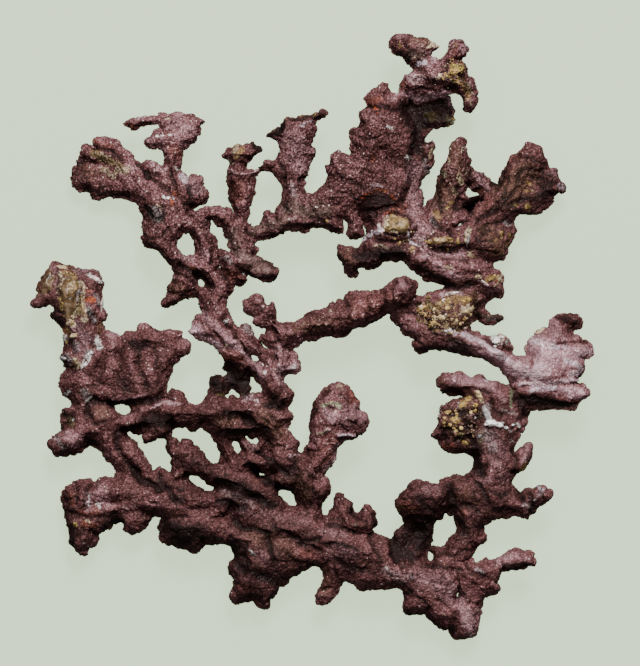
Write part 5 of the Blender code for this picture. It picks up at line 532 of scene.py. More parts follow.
MARKS += [
    (-0.4, -0.5, 1.0, [(29.4, -11.4), (31.4, -11.8), (32.6, -12.2)]), (0.3, 0.14, 1.2, [(30.6, -8.8), (34.6, -9.4), (39.0, -10.4)]), (-0.3, -0.3, 0.4, [(33.6, -10.8), (36.0, -11.2), (38.6, -12.0)]),
    (-0.3, -0.3, 0.5, [(38.8, -13.4), (39.2, -15.4), (41.4, -16.8)]), (-0.5, -0.55, 0.9, [(30.4, -16.2), (33.4, -16.4), (36.0, -15.8)]), (-0.5, -0.5, 0.6, [(29.0, -19.8), (32.0, -20.0), (35.4, -19.6)]),
    (-0.4, -0.5, 0.9, [(33.6, -18.4), (35.6, -18.8), (36.4, -17.2)]), (-0.4, -0.4, 0.6, [(31.4, -22.4), (34.6, -21.4), (35.4, -23.4)]), (-0.3, -0.3, 0.5, [(28.2, -20.2), (29.6, -22.2)]),
    (0.4, 0.06, 0.9, [(28.8, -18.4)]), (0.4, 0.06, 0.8, [(29.4, -21.0)]), (0.4, 0.04, 0.8, [(29.0, -23.6), (30.6, -23.8)]), (-0.3, -0.4, 0.8, [(36.4, -16.4), (37.0, -17.2)]),
    (-0.3, -0.55, 1.2, [(35.8, -24.6), (35.6, -27.0), (36.6, -29.0)]), (-0.3, -0.3, 0.7, [(38.0, -27.6), (37.4, -30.6)]), (0.1, 0.08, 2.4, [(39.2, -22.4), (40.0, -24.6)]),
    (-0.3, -0.4, 0.5, [(44.0, -24.6), (44.6, -26.6), (44.0, -29.4)]), (0.2, 0.1, 0.8, [(46.6, -24.4), (45.8, -27.4)]), (0.2, 0.12, 1.0, [(36.8, -31.2), (38.6, -30.8)]),
    (-0.5, -0.5, 0.9, [(30.2, -32.4), (30.4, -35.0), (31.2, -37.8)]), (-0.4, -0.4, 0.5, [(35.8, -31.6), (37.4, -33.6), (38.6, -36.4)]), (-0.4, -0.35, 0.5, [(32.4, -36.4), (34.6, -36.6), (36.4, -38.0)]),
    (-0.4, -0.35, 0.5, [(38.8, -33.4), (41.4, -34.8), (43.4, -33.4)]), (-0.3, -0.3, 0.5, [(39.4, -37.6), (42.0, -37.0), (44.6, -37.8)]), (0.3, 0.08, 1.1, [(33.4, -33.0), (34.6, -34.0)]),
    (0.3, 0.06, 0.8, [(33.4, -38.2)]), (0.3, 0.06, 1.2, [(39.4, -35.4), (40.8, -36.2)]), (-0.3, -0.4, 0.7, [(45.4, -33.8), (46.0, -35.4)]), (-0.3, -0.35, 0.5, [(47.4, -34.0), (48.2, -36.2), (47.6, -38.6)]),
    (-0.3, -0.3, 0.4, [(50.0, -33.2), (50.6, -35.2)]), (0.3, 0.08, 1.0, [(25.0, -33.4), (27.6, -33.4)]), (-0.3, -0.3, 0.5, [(23.6, -34.6), (24.4, -36.6), (26.6, -38.0)]), (0.3, 0.04, 1.6, [(21.6, -34.6), (22.4, -36.6)]),
    (-0.5, -0.55, 2.0, [(22.0, -41.2), (24.4, -42.4), (24.0, -45.0)]), (-0.4, -0.55, 1.4, [(20.4, -44.4), (18.6, -47.6), (21.6, -47.8)]), (-0.3, -0.5, 1.0, [(22.8, -39.6), (25.6, -39.8)]),
    (-0.3, -0.4, 0.8, [(32.4, -39.8), (33.0, -42.6)]), (-0.3, -0.3, 1.0, [(34.0, -42.0), (36.4, -41.2)]), (-0.3, -0.3, 0.5, [(28.0, -47.6), (31.0, -47.6), (33.8, -46.4)]), (-0.4, -0.35, 0.5, [(25.4, -49.6), (28.4, -50.4), (32.4, -50.8)]),
    (-0.4, -0.35, 0.4, [(33.6, -49.6), (35.4, -51.6), (38.0, -52.2)]), (-0.3, -0.3, 0.4, [(31.6, -53.0), (32.6, -54.2)]), (-0.3, -0.25, 0.4, [(35.4, -53.6), (37.0, -55.2)]), (0.2, 0.12, 1.6, [(25.6, -52.6), (30.4, -55.6), (33.4, -59.0)]),
    (0.2, 0.12, 1.4, [(34.0, -61.0), (34.4, -64.0)]), (0.3, 0.12, 1.0, [(41.0, -49.0), (44.0, -47.6), (46.8, -48.2)]), (-0.3, -0.4, 0.5, [(42.0, -50.4), (45.0, -50.4), (48.0, -50.0)]), (-0.3, -0.3, 0.8, [(31.2, -60.2), (30.8, -64.0)]),
    (-0.3, -0.5, 0.8, [(25.6, -61.4), (28.4, -63.4), (30.2, -65.4)]), (-0.3, -0.4, 0.6, [(20.2, -60.0), (22.0, -60.8), (24.4, -60.2)]), (-0.3, -0.35, 0.5, [(22.8, -56.4), (24.6, -57.6), (25.4, -59.4)]), (-0.3, -0.3, 0.5, [(20.4, -56.0), (22.0, -55.4)]),
    (0.2, 0.1, 1.4, [(16.4, -51.0), (20.4, -52.2)]), (-0.3, -0.3, 0.5, [(19.6, -50.0), (21.4, -49.6)]), (-0.3, -0.25, 0.4, [(27.6, -57.6), (29.4, -58.4)]), (-0.3, -0.25, 0.4, [(33.6, -57.4), (36.0, -58.2)]),
]
PATCHES += [
    (MAUVE, 0.7, 1.5, [(30.8, -9.0), (34.6, -9.6), (39.0, -10.6)]), (LILAC_SHEEN, 0.7, 0.6, [(37.4, -9.3), (38.4, -9.6)]), (PINK, 0.4, 0.9, [(31.2, -8.8), (33.0, -9.2)]), (UMBER, 0.4, 0.9, [(28.4, -9.6)]),
    (MAUVE, 0.6, 1.0, [(40.4, -12.4), (41.6, -13.4)]), (VERT, 0.6, 0.4, [(43.6, -11.4), (43.2, -14.8)]), (UMBER, 0.6, 3.4, [(30.8, -18.0), (33.0, -20.0), (34.6, -15.4)]), (OLIVE, 0.5, 1.0, [(34.4, -17.6), (35.4, -16.4)]),
    (RUST, 0.3, 0.8, [(28.6, -18.6)]), (RUST, 0.35, 0.9, [(28.8, -23.6), (30.6, -23.6)]), (GREY, 0.4, 2.2, [(38.6, -21.6), (39.6, -24.0)]), (MAUVE, 0.4, 2.6, [(39.6, -22.0), (41.0, -25.6)]), (VERT, 0.5, 0.6, [(36.9, -20.8), (36.6, -22.4)]),
    (WHITE, 0.8, 0.4, [(44.2, -18.7), (44.9, -19.0)]), (WHITE, 0.6, 0.35, [(43.2, -20.0)]), (WHITE, 0.5, 0.35, [(43.6, -22.0), (43.8, -22.6)]), (GREY, 0.35, 0.6, [(42.0, -16.0), (44.4, -16.6)]),
    (PAINTED_SHADOW, 0.4, 1.2, [(35.8, -24.8), (35.6, -27.0), (36.4, -28.8)]), (MAUVE, 0.5, 0.9, [(47.0, -24.0), (46.0, -27.0)]), (OCHRE, 0.8, 0.5, [(46.4, -27.0), (46.0, -28.4)]), (CREAM, 0.5, 0.25, [(45.8, -27.2)]),
    (MAUVE, 0.35, 1.2, [(36.8, -31.2), (38.6, -30.8)]), (MAUVE, 0.3, 1.6, [(40.4, -27.4), (41.6, -30.0)]), (RUST, 0.2, 0.9, [(33.4, -38.2)]), (UMBER, 0.35, 1.8, [(33.6, -33.4), (35.0, -35.0)]),
    (GREY, 0.4, 0.7, [(46.4, -36.4), (48.2, -37.2)]), (GREY, 0.35, 0.5, [(49.2, -34.4), (50.2, -34.0)]), (WHITE, 0.6, 0.25, [(46.8, -36.8)]), (WHITE, 0.6, 0.25, [(48.6, -35.2)]), (WHITE, 0.5, 0.22, [(50.0, -34.8)]), (LILAC_SHEEN, 0.5, 0.5, [(49.6, -32.9), (50.6, -33.2)]), (WHITE, 0.5, 0.22, [(47.6, -38.0)]),
    (RUST, 0.25, 1.4, [(20.4, -36.4), (22.0, -37.6)]), (OCHRE, 0.45, 0.6, [(19.4, -36.8)]), (SAND, 0.6, 0.35, [(22.3, -37.8)]), (MAUVE, 0.4, 1.2, [(24.6, -33.4), (27.4, -33.4)]), (PAINTED_SHADOW, 0.45, 1.8, [(22.2, -41.8), (24.2, -43.0), (23.8, -45.6)]),
    (MAUVE, 0.45, 2.4, [(23.6, -52.2), (28.6, -53.8), (32.4, -57.4)]), (PINK, 0.25, 1.6, [(28.0, -55.0), (33.0, -59.0), (34.6, -62.6)]), (MAUVE, 0.25, 1.2, [(40.4, -49.2), (44.0, -47.8), (46.6, -48.4)]), (LILAC_SHEEN, 0.4, 0.6, [(36.2, -50.8), (37.2, -51.4)]),
    (GREY, 0.6, 0.4, [(34.4, -64.8), (35.0, -65.0)]), (SAND, 0.5, 0.3, [(28.8, -60.4)]), (SAND, 0.5, 0.3, [(36.4, -59.4)]), (CREAM, 0.5, 0.25, [(29.0, -49.4)]),
    (WHITE, 0.75, 0.4, [(16.2, -50.2), (16.5, -50.8)]), (LILAC_SHEEN, 0.5, 0.35, [(21.6, -51.6), (21.8, -52.2)]), (PINK, 0.4, 1.4, [(16.4, -51.2), (20.0, -52.6)]),
]
# Marks on the inner limbs, the middle mass, the lower band and the bulge

MARKS += [
    (-0.5, -0.5, 0.8, [(-18.4, -16.2), (-14.2, -17.6), (-10.2, -20.2)]), (-0.4, -0.4, 0.6, [(-9.6, -14.0), (-6.6, -15.0)]), (-0.4, -0.5, 0.6, [(-20.2, -20.8), (-16.6, -21.0), (-13.6, -20.6)]), (-0.4, -0.35, 0.6, [(-12.4, -20.2), (-9.4, -22.4)]),
    (-0.3, -0.25, 0.35, [(-11.4, -17.2), (-8.8, -19.0), (-6.6, -21.4)]), (-0.3, -0.25, 0.35, [(-9.6, -16.6), (-7.0, -18.6)]), (0.3, 0.1, 1.0, [(-7.6, -15.6), (-6.2, -18.0), (-5.4, -20.6)]), (-0.3, -0.25, 0.35, [(-11.6, -21.8), (-8.8, -23.4), (-6.2, -23.8)]),
    (0.3, 0.08, 0.8, [(-14.8, -22.8), (-12.0, -24.6)]), (-0.5, -0.5, 0.6, [(-12.4, -24.8), (-8.6, -26.8), (-5.6, -29.4)]), (0.3, 0.06, 0.8, [(-15.6, -25.6), (-12.6, -26.6), (-9.6, -28.6)]), (-0.4, -0.35, 0.7, [(-4.8, -26.4), (-3.8, -27.2)]),
    (-0.5, -0.55, 0.8, [(-13.8, -27.4), (-11.2, -30.2), (-8.6, -31.8), (-4.8, -33.8)]), (0.4, 0.1, 1.2, [(-19.4, -28.0), (-15.2, -29.4), (-12.2, -32.0)]), (-0.5, -0.55, 0.9, [(-20.4, -31.4), (-15.6, -32.8), (-11.6, -35.2), (-8.6, -36.6)]),
    (0.4, 0.1, 0.9, [(-20.0, -33.4), (-16.0, -34.8), (-12.6, -36.8)]), (-0.5, -0.5, 0.8, [(-20.4, -35.6), (-17.0, -36.6), (-14.6, -37.4)]), (-0.2, -0.2, 1.8, [(-4.4, -29.8), (-2.4, -32.0), (-1.0, -35.0)]), (-0.3, -0.3, 0.4, [(-3.0, -22.8), (-0.6, -24.6), (2.0, -24.4)]),
    (-0.3, -0.3, 0.4, [(-4.6, -28.4), (-1.4, -29.0), (0.4, -30.8)]), (0.2, 0.08, 1.2, [(1.2, -22.6), (2.2, -25.6)]), (0.3, 0.25, 0.8, [(5.4, -23.2), (4.6, -26.6), (2.4, -28.6)]), (-0.3, -0.3, 0.4, [(0.2, -33.0), (1.6, -34.6), (1.4, -37.0)]),
    (0.3, 0.08, 1.1, [(-17.0, -37.9), (-12.4, -38.2), (-7.0, -38.8), (-1.8, -40.0), (1.2, -41.2)]), (-0.5, -0.5, 0.6, [(-17.2, -39.6), (-15.4, -41.4), (-11.6, -42.0), (-9.4, -42.6)]), (-0.5, -0.5, 0.5, [(-8.6, -41.2), (-5.0, -43.0), (-2.4, -44.4), (1.8, -43.6)]),
    (-0.5, -0.45, 0.5, [(-9.8, -42.4), (-9.4, -45.0), (-8.4, -48.4)]), (-0.3, -0.3, 0.4, [(-17.8, -43.6), (-15.4, -44.6), (-13.6, -44.4)]), (0.3, 0.12, 1.4, [(-13.8, -43.4), (-12.2, -44.0)]), (0.3, 0.1, 1.4, [(-7.4, -44.2), (-5.0, -45.8)]),
    (-0.4, -0.35, 0.4, [(-3.2, -45.0), (0.2, -45.4), (2.0, -46.8)]), (0.3, 0.08, 0.8, [(-3.8, -46.8), (-0.6, -48.0)]), (-0.3, -0.3, 0.4, [(-5.4, -47.2), (-3.0, -49.0), (0.6, -49.6)]), (0.3, 0.2, 1.0, [(2.2, -42.2), (5.6, -43.2), (8.2, -44.0)]),
    (-0.3, -0.3, 0.4, [(3.4, -41.0), (6.0, -41.2), (9.4, -42.6)]), (-0.3, -0.25, 0.4, [(3.2, -45.2), (6.4, -45.0), (9.4, -46.2)]), (0.2, 0.08, 1.2, [(4.2, -46.8), (8.6, -47.6)]), (-0.4, -0.4, 0.7, [(5.6, -48.8), (9.0, -50.6), (12.0, -50.6)]),
    (0.2, 0.12, 0.8, [(11.4, -44.8), (12.4, -46.8)]), (-0.4, -0.35, 0.5, [(13.0, -44.4), (14.0, -46.6), (15.4, -49.0)]), (-0.5, -0.5, 0.7, [(17.4, -43.8), (17.8, -46.4), (18.4, -48.6)]), (0.2, 0.12, 0.9, [(15.4, -45.2), (16.4, -47.6)]),
    (-0.3, -0.3, 0.4, [(8.4, -36.8), (9.4, -38.8), (11.8, -40.4)]), (0.2, 0.08, 0.9, [(5.6, -36.2), (5.2, -38.8)]), (-0.3, -0.35, 0.6, [(13.6, -38.6), (13.8, -41.0), (12.6, -43.4)]), (-0.3, -0.3, 0.4, [(5.0, -50.2), (5.6, -52.4)]),
    (-0.3, -0.3, 0.5, [(1.6, -55.0), (4.0, -54.6)]), (0.3, 0.1, 0.6, [(1.8, -56.2), (3.8, -55.8)]), (-0.5, -0.5, 1.2, [(-17.2, -45.8), (-16.6, -48.4), (-15.2, -50.6)]), (-0.5, -0.5, 1.2, [(-14.4, -50.8), (-11.4, -51.8), (-8.4, -53.2)]),
    (0.4, 0.12, 1.2, [(-12.4, -46.6), (-10.6, -47.4), (-10.2, -49.2)]), (-0.4, -0.4, 0.5, [(-14.4, -45.4), (-15.0, -47.8), (-13.6, -49.2)]), (0.3, 0.1, 0.9, [(-7.2, -49.6), (-5.0, -50.0)]), (-0.3, -0.25, 1.8, [(-15.2, -54.4), (-12.0, -55.8), (-9.4, -57.0)]),
    (0.2, 0.08, 1.0, [(-10.4, -53.8), (-9.0, -54.8)]), (-0.3, -0.3, 0.4, [(-7.8, -51.0), (-6.4, -52.6)]), (0.3, 0.14, 1.0, [(-31.0, -37.4), (-27.6, -37.8), (-24.4, -39.6)]), (-0.4, -0.5, 2.4, [(-31.4, -41.2), (-28.4, -43.4), (-25.8, -42.8)]),
    (-0.4, -0.35, 0.5, [(2.6, -12.6), (3.6, -11.4)]), (-0.5, -0.45, 0.7, [(0.4, -13.8), (0.6, -16.0), (-0.6, -18.6)]), (0.2, 0.1, 1.2, [(3.4, -15.8), (5.0, -17.4)]), (-0.5, -0.4, 0.5, [(3.8, -15.2), (4.4, -15.4)]), (0.2, 0.12, 1.0, [(10.2, -16.0), (11.4, -17.6)]),
    (-0.4, -0.35, 0.4, [(8.2, -18.0), (9.8, -19.2)]), (-0.4, -0.3, 0.4, [(6.4, -19.2), (8.0, -20.4)]), (0.4, 0.25, 0.35, [(5.6, -21.0), (9.2, -21.2)]), (-0.4, -0.4, 0.35, [(5.6, -21.9), (9.0, -22.0), (10.6, -21.0)]), (0.4, 0.25, 0.3, [(1.6, -20.9), (3.8, -19.9)]),
    (-0.3, -0.3, 0.35, [(2.4, -19.0), (5.0, -19.2)]), (-0.3, -0.25, 0.35, [(6.2, -12.0), (8.4, -13.8), (8.0, -16.0)]), (0.2, 0.05, 2.4, [(-31.0, 46.0), (-28.0, 45.6)]), (0.3, 0.15, 0.7, [(-38.4, 48.0), (-35.8, 48.2)]), (-0.2, -0.2, 0.5, [(-41.0, 46.8), (-38.4, 46.2), (-35.2, 46.7)]),
    (-0.5, -0.55, 0.6, [(-36.6, 36.6), (-35.0, 35.8), (-33.6, 35.4)]), (-0.5, -0.6, 0.7, [(-10.2, 44.3), (-8.0, 44.8), (-6.2, 46.2)]), (-0.3, -0.4, 0.5, [(-4.4, 47.6), (-1.0, 48.4), (2.4, 49.2)]), (-0.4, -0.55, 0.5, [(0.4, 47.8), (1.8, 48.2)]), (0.2, 0.1, 1.6, [(-4.6, 44.6), (-2.6, 42.4)]),
    (-0.4, -0.5, 0.6, [(-12.2, 42.2), (-11.2, 41.2)]), (0.2, 0.06, 1.4, [(-4.4, 40.0), (-2.6, 37.6)]),
]
PATCHES += [
    (UMBER, 0.4, 1.6, [(-20.0, -18.2), (-17.4, -18.6)]), (UMBER, 0.4, 2.6, [(-10.4, -17.0), (-7.2, -20.4)]), (PAINTED_SHADOW, 0.4, 0.7, [(-18.0, -16.4), (-14.2, -17.8), (-10.4, -20.2)]), (MAUVE, 0.45, 0.9, [(-14.6, -22.9), (-12.0, -24.5)]), (PINK, 0.5, 0.4, [(-4.8, -25.7), (-3.0, -25.6)]), (UMBER, 0.45, 2.0, [(-3.2, -31.4), (-1.4, -34.0)]),
    (PAINTED_SHADOW, 0.45, 0.8, [(-13.6, -27.6), (-11.2, -30.2), (-5.4, -33.4)]), (PAINTED_SHADOW, 0.45, 0.9, [(-20.0, -31.6), (-15.6, -32.9), (-9.4, -36.2)]), (GREY, 0.22, 0.9, [(-19.4, -33.6), (-16.0, -34.8), (-12.8, -36.6)]), (VERT, 0.6, 0.2, [(-16.8, -35.8)]), (SAND, 0.6, 0.2, [(-17.0, -33.0)]), (SAND, 0.6, 0.2, [(-4.0, -34.1)]),
    (VERT, 0.5, 0.3, [(2.0, -20.8), (3.6, -20.0)]), (UMBER, 0.3, 2.4, [(-12.4, -43.8), (-6.4, -45.0), (-4.6, -48.4)]), (MOSS, 0.25, 1.4, [(-8.0, -49.6), (-11.4, -49.0)]), (OLIVE, 0.2, 1.0, [(-13.4, -43.0)]), (MAUVE, 0.4, 1.1, [(2.4, -42.2), (6.4, -43.4)]), (MAUVE, 0.3, 1.6, [(4.4, -46.4), (9.0, -47.4)]), (MAUVE, 0.2, 0.9, [(-15.6, -38.0), (-8.0, -38.8), (-1.0, -40.4)]),
    (WHITE, 0.9, 0.55, [(-13.2, -46.4), (-12.9, -47.3)]), (MAUVE, 0.3, 1.2, [(-11.6, -46.6), (-10.4, -48.2)]), (SAND, 0.7, 0.22, [(1.2, -43.8)]), (WHITE, 0.7, 0.25, [(4.8, -41.4)]), (PINK, 0.6, 0.5, [(5.6, -39.6)]), (VERT, 0.6, 0.25, [(9.4, -40.7)]), (PAINTED_SHADOW, 0.35, 1.4, [(-14.4, -50.8), (-8.6, -53.0)]), (PAINTED_SHADOW, 0.5, 2.0, [(-31.2, -41.6), (-28.4, -43.4), (-26.0, -43.0)]),
    (RUST, 0.15, 1.4, [(-12.4, -55.8), (-15.0, -54.4)]), (RUST, 0.15, 1.2, [(-2.8, -46.6), (0.2, -48.0)]), (UMBER, 0.4, 1.0, [(3.2, -51.0), (2.8, -55.8)]),
    (SAND, 0.85, 0.45, [(5.6, -10.8), (6.4, -11.0)]), (GREY, 0.75, 0.45, [(6.4, -12.9)]), (OCHRE, 0.6, 0.35, [(4.2, -13.5)]), (VERT, 0.7, 0.5, [(2.6, -14.9), (4.4, -13.9), (6.0, -14.7)]), (CREAM, 0.7, 0.3, [(3.2, -14.2), (4.6, -13.7)]), (MOSS, 0.7, 0.5, [(4.1, -15.3)]), (CREAM, 0.7, 0.3, [(5.2, -15.8), (5.1, -16.4)]), (MAUVE, 0.6, 1.0, [(3.4, -16.2), (4.2, -17.6)]), (GREY, 0.5, 0.6, [(3.0, -16.0), (3.6, -17.4)]),
    (MAUVE, 0.45, 2.2, [(6.4, -16.0), (9.4, -17.0)]), (RUST, 0.3, 0.9, [(8.6, -11.8), (9.4, -13.4)]), (LILAC_SHEEN, 0.6, 0.3, [(6.0, -21.0), (9.0, -21.2)]), (RUST, 0.15, 2.2, [(3.6, -22.4), (3.4, -25.8)]),
    (WHITE, 1.0, 0.2, [(-34.0, 44.0), (-32.7, 44.0)]), (WHITE, 1.0, 0.2, [(-31.6, 44.1), (-30.9, 44.2)]), (CREAM, 0.8, 0.3, [(-32.0, 47.7), (-30.8, 48.0)]), (PINK, 0.7, 0.25, [(-38.4, 48.0), (-36.4, 48.3)]), (MAUVE, 0.5, 2.6, [(-29.6, 46.6), (-27.4, 45.0)]), (RUST, 0.2, 1.4, [(-30.6, 41.8), (-29.0, 40.2)]), (RUST, 0.3, 0.5, [(-41.0, 46.7), (-38.4, 46.2), (-36.0, 46.6)]),
    (OCHRE, 0.95, 0.4, [(-9.2, 45.5), (-7.6, 46.2), (-6.5, 46.8)]), (SAND, 0.6, 0.25, [(-8.4, 45.9), (-7.0, 46.6)]), (OCHRE, 0.8, 0.2, [(-4.2, 48.2), (-1.6, 48.9), (0.8, 49.4)]), (UMBER, 0.6, 0.5, [(-5.2, 47.9)]), (PAINTED_SHADOW, 0.6, 0.6, [(-10.0, 44.4), (-7.4, 45.1), (-6.2, 46.2)]), (MAUVE, 0.5, 2.6, [(-4.6, 44.0), (-2.8, 41.0)]), (LILAC_SHEEN, 0.5, 0.3, [(-2.2, 46.4), (-1.0, 47.2), (0.2, 47.6)]),
    (SAND, 0.5, 0.35, [(-5.2, 42.4)]), (WHITE, 0.6, 0.2, [(-3.2, 42.6)]), (WHITE, 0.6, 0.2, [(-1.6, 41.8)]), (WHITE, 0.6, 0.2, [(-4.2, 37.4)]),
]
# Mineral stains under and beside the lumps, and painted shadow between them in near black

PATCHES += [
    (OCHRE, 0.5, 1.4, [(24.4, 7.2), (27.2, 6.6), (29.6, 7.6), (33.0, 8.4)]), (UMBER, 0.6, 2.6, [(26.6, 4.2), (30.0, 4.6), (33.6, 4.2)]), (CREAM, 0.75, 0.9, [(32.6, 6.0), (34.4, 6.4)]), (CREAM, 0.6, 0.6, [(28.2, 4.6), (29.0, 2.6)]),
    (OCHRE, 0.7, 0.8, [(26.0, 3.2), (27.0, 2.0)]), (PINK, 0.7, 0.7, [(28.6, 9.4), (30.6, 9.8), (32.6, 9.9)]), (LILAC_SHEEN, 0.6, 0.8, [(29.4, 1.6), (31.4, 1.8)]), (PAINTED_SHADOW, 0.5, 0.5, [(26.2, 5.4), (29.0, 5.8)]), (PAINTED_SHADOW, 0.5, 0.5, [(31.4, 7.0), (32.0, 4.8)]),
    (OCHRE, 0.6, 0.8, [(38.2, 12.4), (39.6, 13.2), (41.2, 13.2)]), (CREAM, 0.75, 0.5, [(35.6, 13.3), (37.0, 13.5)]), (PINK, 0.7, 0.35, [(36.8, 12.5), (38.6, 11.3)]), (SAND, 0.75, 0.4, [(40.0, 11.4), (41.4, 12.6), (41.6, 13.8)]), (PAINTED_SHADOW, 0.6, 0.7, [(37.0, 11.0), (36.0, 10.0)]), (PAINTED_SHADOW, 0.5, 0.6, [(41.2, 10.6), (40.4, 9.6)]), (RUST, 0.5, 0.6, [(40.4, 12.4)]),
    (OCHRE, 0.7, 0.9, [(33.2, -14.0), (34.4, -13.0)]), (OCHRE, 0.6, 0.7, [(35.6, -14.7)]), (OCHRE, 0.65, 1.1, [(31.2, -17.6), (31.6, -18.6)]), (OCHRE, 0.5, 0.8, [(32.6, -21.0), (33.4, -22.8)]), (GREY, 0.6, 1.0, [(37.8, -15.2), (38.6, -17.6)]), (CREAM, 0.7, 0.7, [(36.2, -12.0), (36.9, -13.6)]), (UMBER, 0.7, 1.4, [(33.6, -16.6), (35.2, -18.6), (34.0, -20.0)]), (RUST, 0.5, 0.7, [(29.0, -17.6)]),
    (CREAM, 0.6, 0.4, [(-50.0, 10.4), (-50.0, 7.0), (-49.4, 4.2)]), (RUST, 0.7, 0.35, [(-59.2, 14.0), (-59.4, 11.0)]), (OCHRE, 0.7, 0.6, [(-46.4, 2.2)]), (OCHRE, 0.5, 0.6, [(-54.0, 2.0), (-53.2, 1.2)]), (UMBER, 0.7, 0.6, [(-53.2, 15.2), (-52.6, 14.0)]),
]

# Last corrections: furrows filled and painted lighter, undersides darkened with painted shade

MARKS += [
    (0.3, 0.24, 0.9, [(-44.5, -37.2), (-40.0, -36.8), (-34.0, -36.4), (-28.0, -36.4), (-21.5, -36.0)]), (0.25, 0.22, 1.0, [(-7.0, -6.4), (-4.6, -6.6)]), (-0.3, -0.35, 0.4, [(-37.6, -30.6), (-34.0, -31.6), (-31.0, -32.6), (-28.4, -33.2)]),
    (-0.3, -0.28, 1.6, [(22.4, 52.4), (25.0, 50.0), (24.4, 46.6)]), (-0.3, -0.35, 1.5, [(28.0, 51.6), (30.6, 50.2)]),
]
PATCHES += [
    (PAINTED_SHADOW, 0.4, 1.5, [(22.4, 52.4), (25.0, 50.0), (24.4, 46.6)]), (PAINTED_SHADOW, 0.35, 1.2, [(28.0, 51.6), (30.4, 50.4)]),
]
# Ledges and furrows of the crown, the right leaf, the trunk and the hub, with painted light on the ledges and painted
# shade under them

MARKS += [
    (0.35, 0.75, 1.1, [(21.8, 53.2), (23.6, 52.4), (26.4, 53.0), (29.4, 53.0), (30.8, 51.6), (31.4, 50.0)]),
    (0, -0.16, 2.0, [(22.0, 57.4), (24.0, 58.0)]), (0, -0.3, 1.5, [(30.4, 59.4), (32.6, 58.6)]), (0.2, 0.35, 1.2, [(25.6, 56.4), (28.6, 56.6)]),
    (0.25, 0.3, 1.6, [(43.5, -6.2), (46.5, -7.2), (50.0, -7.6)]), (0.5, 0.6, 0.5, [(45.4, -10.2), (49.0, -10.0), (53.0, -9.6), (57.6, -9.1)]), (0.2, 0.4, 1.4, [(43.4, -7.6), (46.4, -8.0), (48.4, -8.0)]),
    (0.3, 0.35, 0.9, [(58.4, -3.3), (60.2, -3.4)]), (-0.2, -0.4, 0.9, [(46.5, -13.0), (50.0, -13.6), (54.0, -14.3)]), (0, 0.25, 1.2, [(56.0, -13.2), (58.4, -12.8)]),
    (-0.2, -0.3, 0.8, [(53.4, 4.4), (55.0, 3.8)]), (0.3, 0.45, 2.0, [(-19.0, -3.4), (-16.0, -3.6)]),
    (0.4, 0.55, 1.6, [(-25.4, 1.4), (-23.0, -0.6), (-20.6, -1.8)]), (0.5, 0.4, 1.0, [(-6.5, -6.6), (-4.0, -6.6)]),
    (0, -0.15, 2.5, [(40.4, -12.6), (41.4, -15.6)]),
]
PATCHES += [
    (MAUVE, 0.6, 1.0, [(21.5, 53.2), (23.6, 52.4), (26.4, 53.0), (29.4, 53.0), (30.8, 51.6), (31.4, 50.0)]),
    (UMBER, 0.55, 1.4, [(22.5, 65.2), (25.0, 65.0)]), (OCHRE, 0.8, 1.0, [(29.8, 47.6), (31.2, 47.8)]),
    (PAINTED_SHADOW, 0.45, 0.9, [(46.5, -13.4), (50.0, -13.9), (54.6, -14.4)]), (RUST, 0.4, 1.8, [(-19.0, -3.4), (-16.0, -3.6)]), (UMBER, 0.5, 1.0, [(25.8, 56.6), (28.4, 56.8)]),
]


def arrays(mesh):
    """The mesh's corners, in millimetres, and its triangles."""
    corners = np.empty(len(mesh.vertices) * 3)
    mesh.vertices.foreach_get("co", corners)
    mesh.calc_loop_triangles()
    faces = np.empty(len(mesh.loop_triangles) * 3, np.int64)
    mesh.loop_triangles.foreach_get("vertices", faces)
    return corners.reshape(-1, 3) / MM, faces.reshape(-1, 3)


def welded(corners, faces):
    """Corners at one place made one."""
    _, first, index = np.unique(np.round(corners, 3), axis=0, return_index=True, return_inverse=True)
    return corners[first], index.reshape(-1)[faces]


def tree_of(corners, faces):
    return BVHTree.FromPolygons([tuple(c) for c in corners], [tuple(f) for f in faces])


def limb_shapes():
    """Every limb's welded corners and triangles, and its search tree."""
    shapes = {}
    for name in LIMBS:
        corners, faces = welded(*arrays(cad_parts[name].data))
        shapes[name] = (corners, faces, tree_of(corners, faces))
    return shapes


def let_in(name, shapes):
    """The limb's corners, with those on a fork's face moved into the neighbour."""
    corners = shapes[name][0].copy()
    low, high = corners.min(axis=0) - FORK_GAP, corners.max(axis=0) + FORK_GAP
    for other, (other_corners, _, tree) in shapes.items():
        if other == name or (other_corners.min(axis=0) > high).any() or (other_corners.max(axis=0) < low).any():
            continue
        for i, corner in enumerate(shapes[name][0]):
            place, _, _, gap = tree.find_nearest(Vector(corner), FORK_GAP)
            if place is not None and gap > 1e-6:
                corners[i] += (np.array(place) - corner) / gap * FORK_REACH
    return corners


def fused(shapes, voxel):
    """One closed mesh of all the limbs."""
    corners, faces, count = [], [], 0
    for name in LIMBS:
        corners.append(let_in(name, shapes))
        faces.append(shapes[name][1] + count)
        count += len(corners[-1])
    for name in MINERALS:
        points, triangles = welded(*arrays(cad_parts[name].data))
        middle = points.mean(axis=0)
        corners.append(middle + (points - middle) * MINERAL_BED)
        faces.append(triangles + count)
        count += len(points)
    mesh = bpy.data.meshes.new("fused")
    mesh.from_pydata(np.concatenate(corners) * MM, [], np.concatenate(faces).tolist())
    growth = bpy.data.objects.new("fused", mesh)
    bpy.context.scene.collection.objects.link(growth)
    remesh = growth.modifiers.new("remesh", "REMESH")
    remesh.mode = "VOXEL"
    remesh.voxel_size = voxel * MM
    smooth = growth.modifiers.new("smooth", "SMOOTH")
    smooth.factor = 0.5
    smooth.iterations = SMOOTHING_ROUNDS
    graph = bpy.context.evaluated_depsgraph_get()
    result = bpy.data.meshes.new_from_object(growth.evaluated_get(graph))
    bpy.data.objects.remove(growth)
    return result


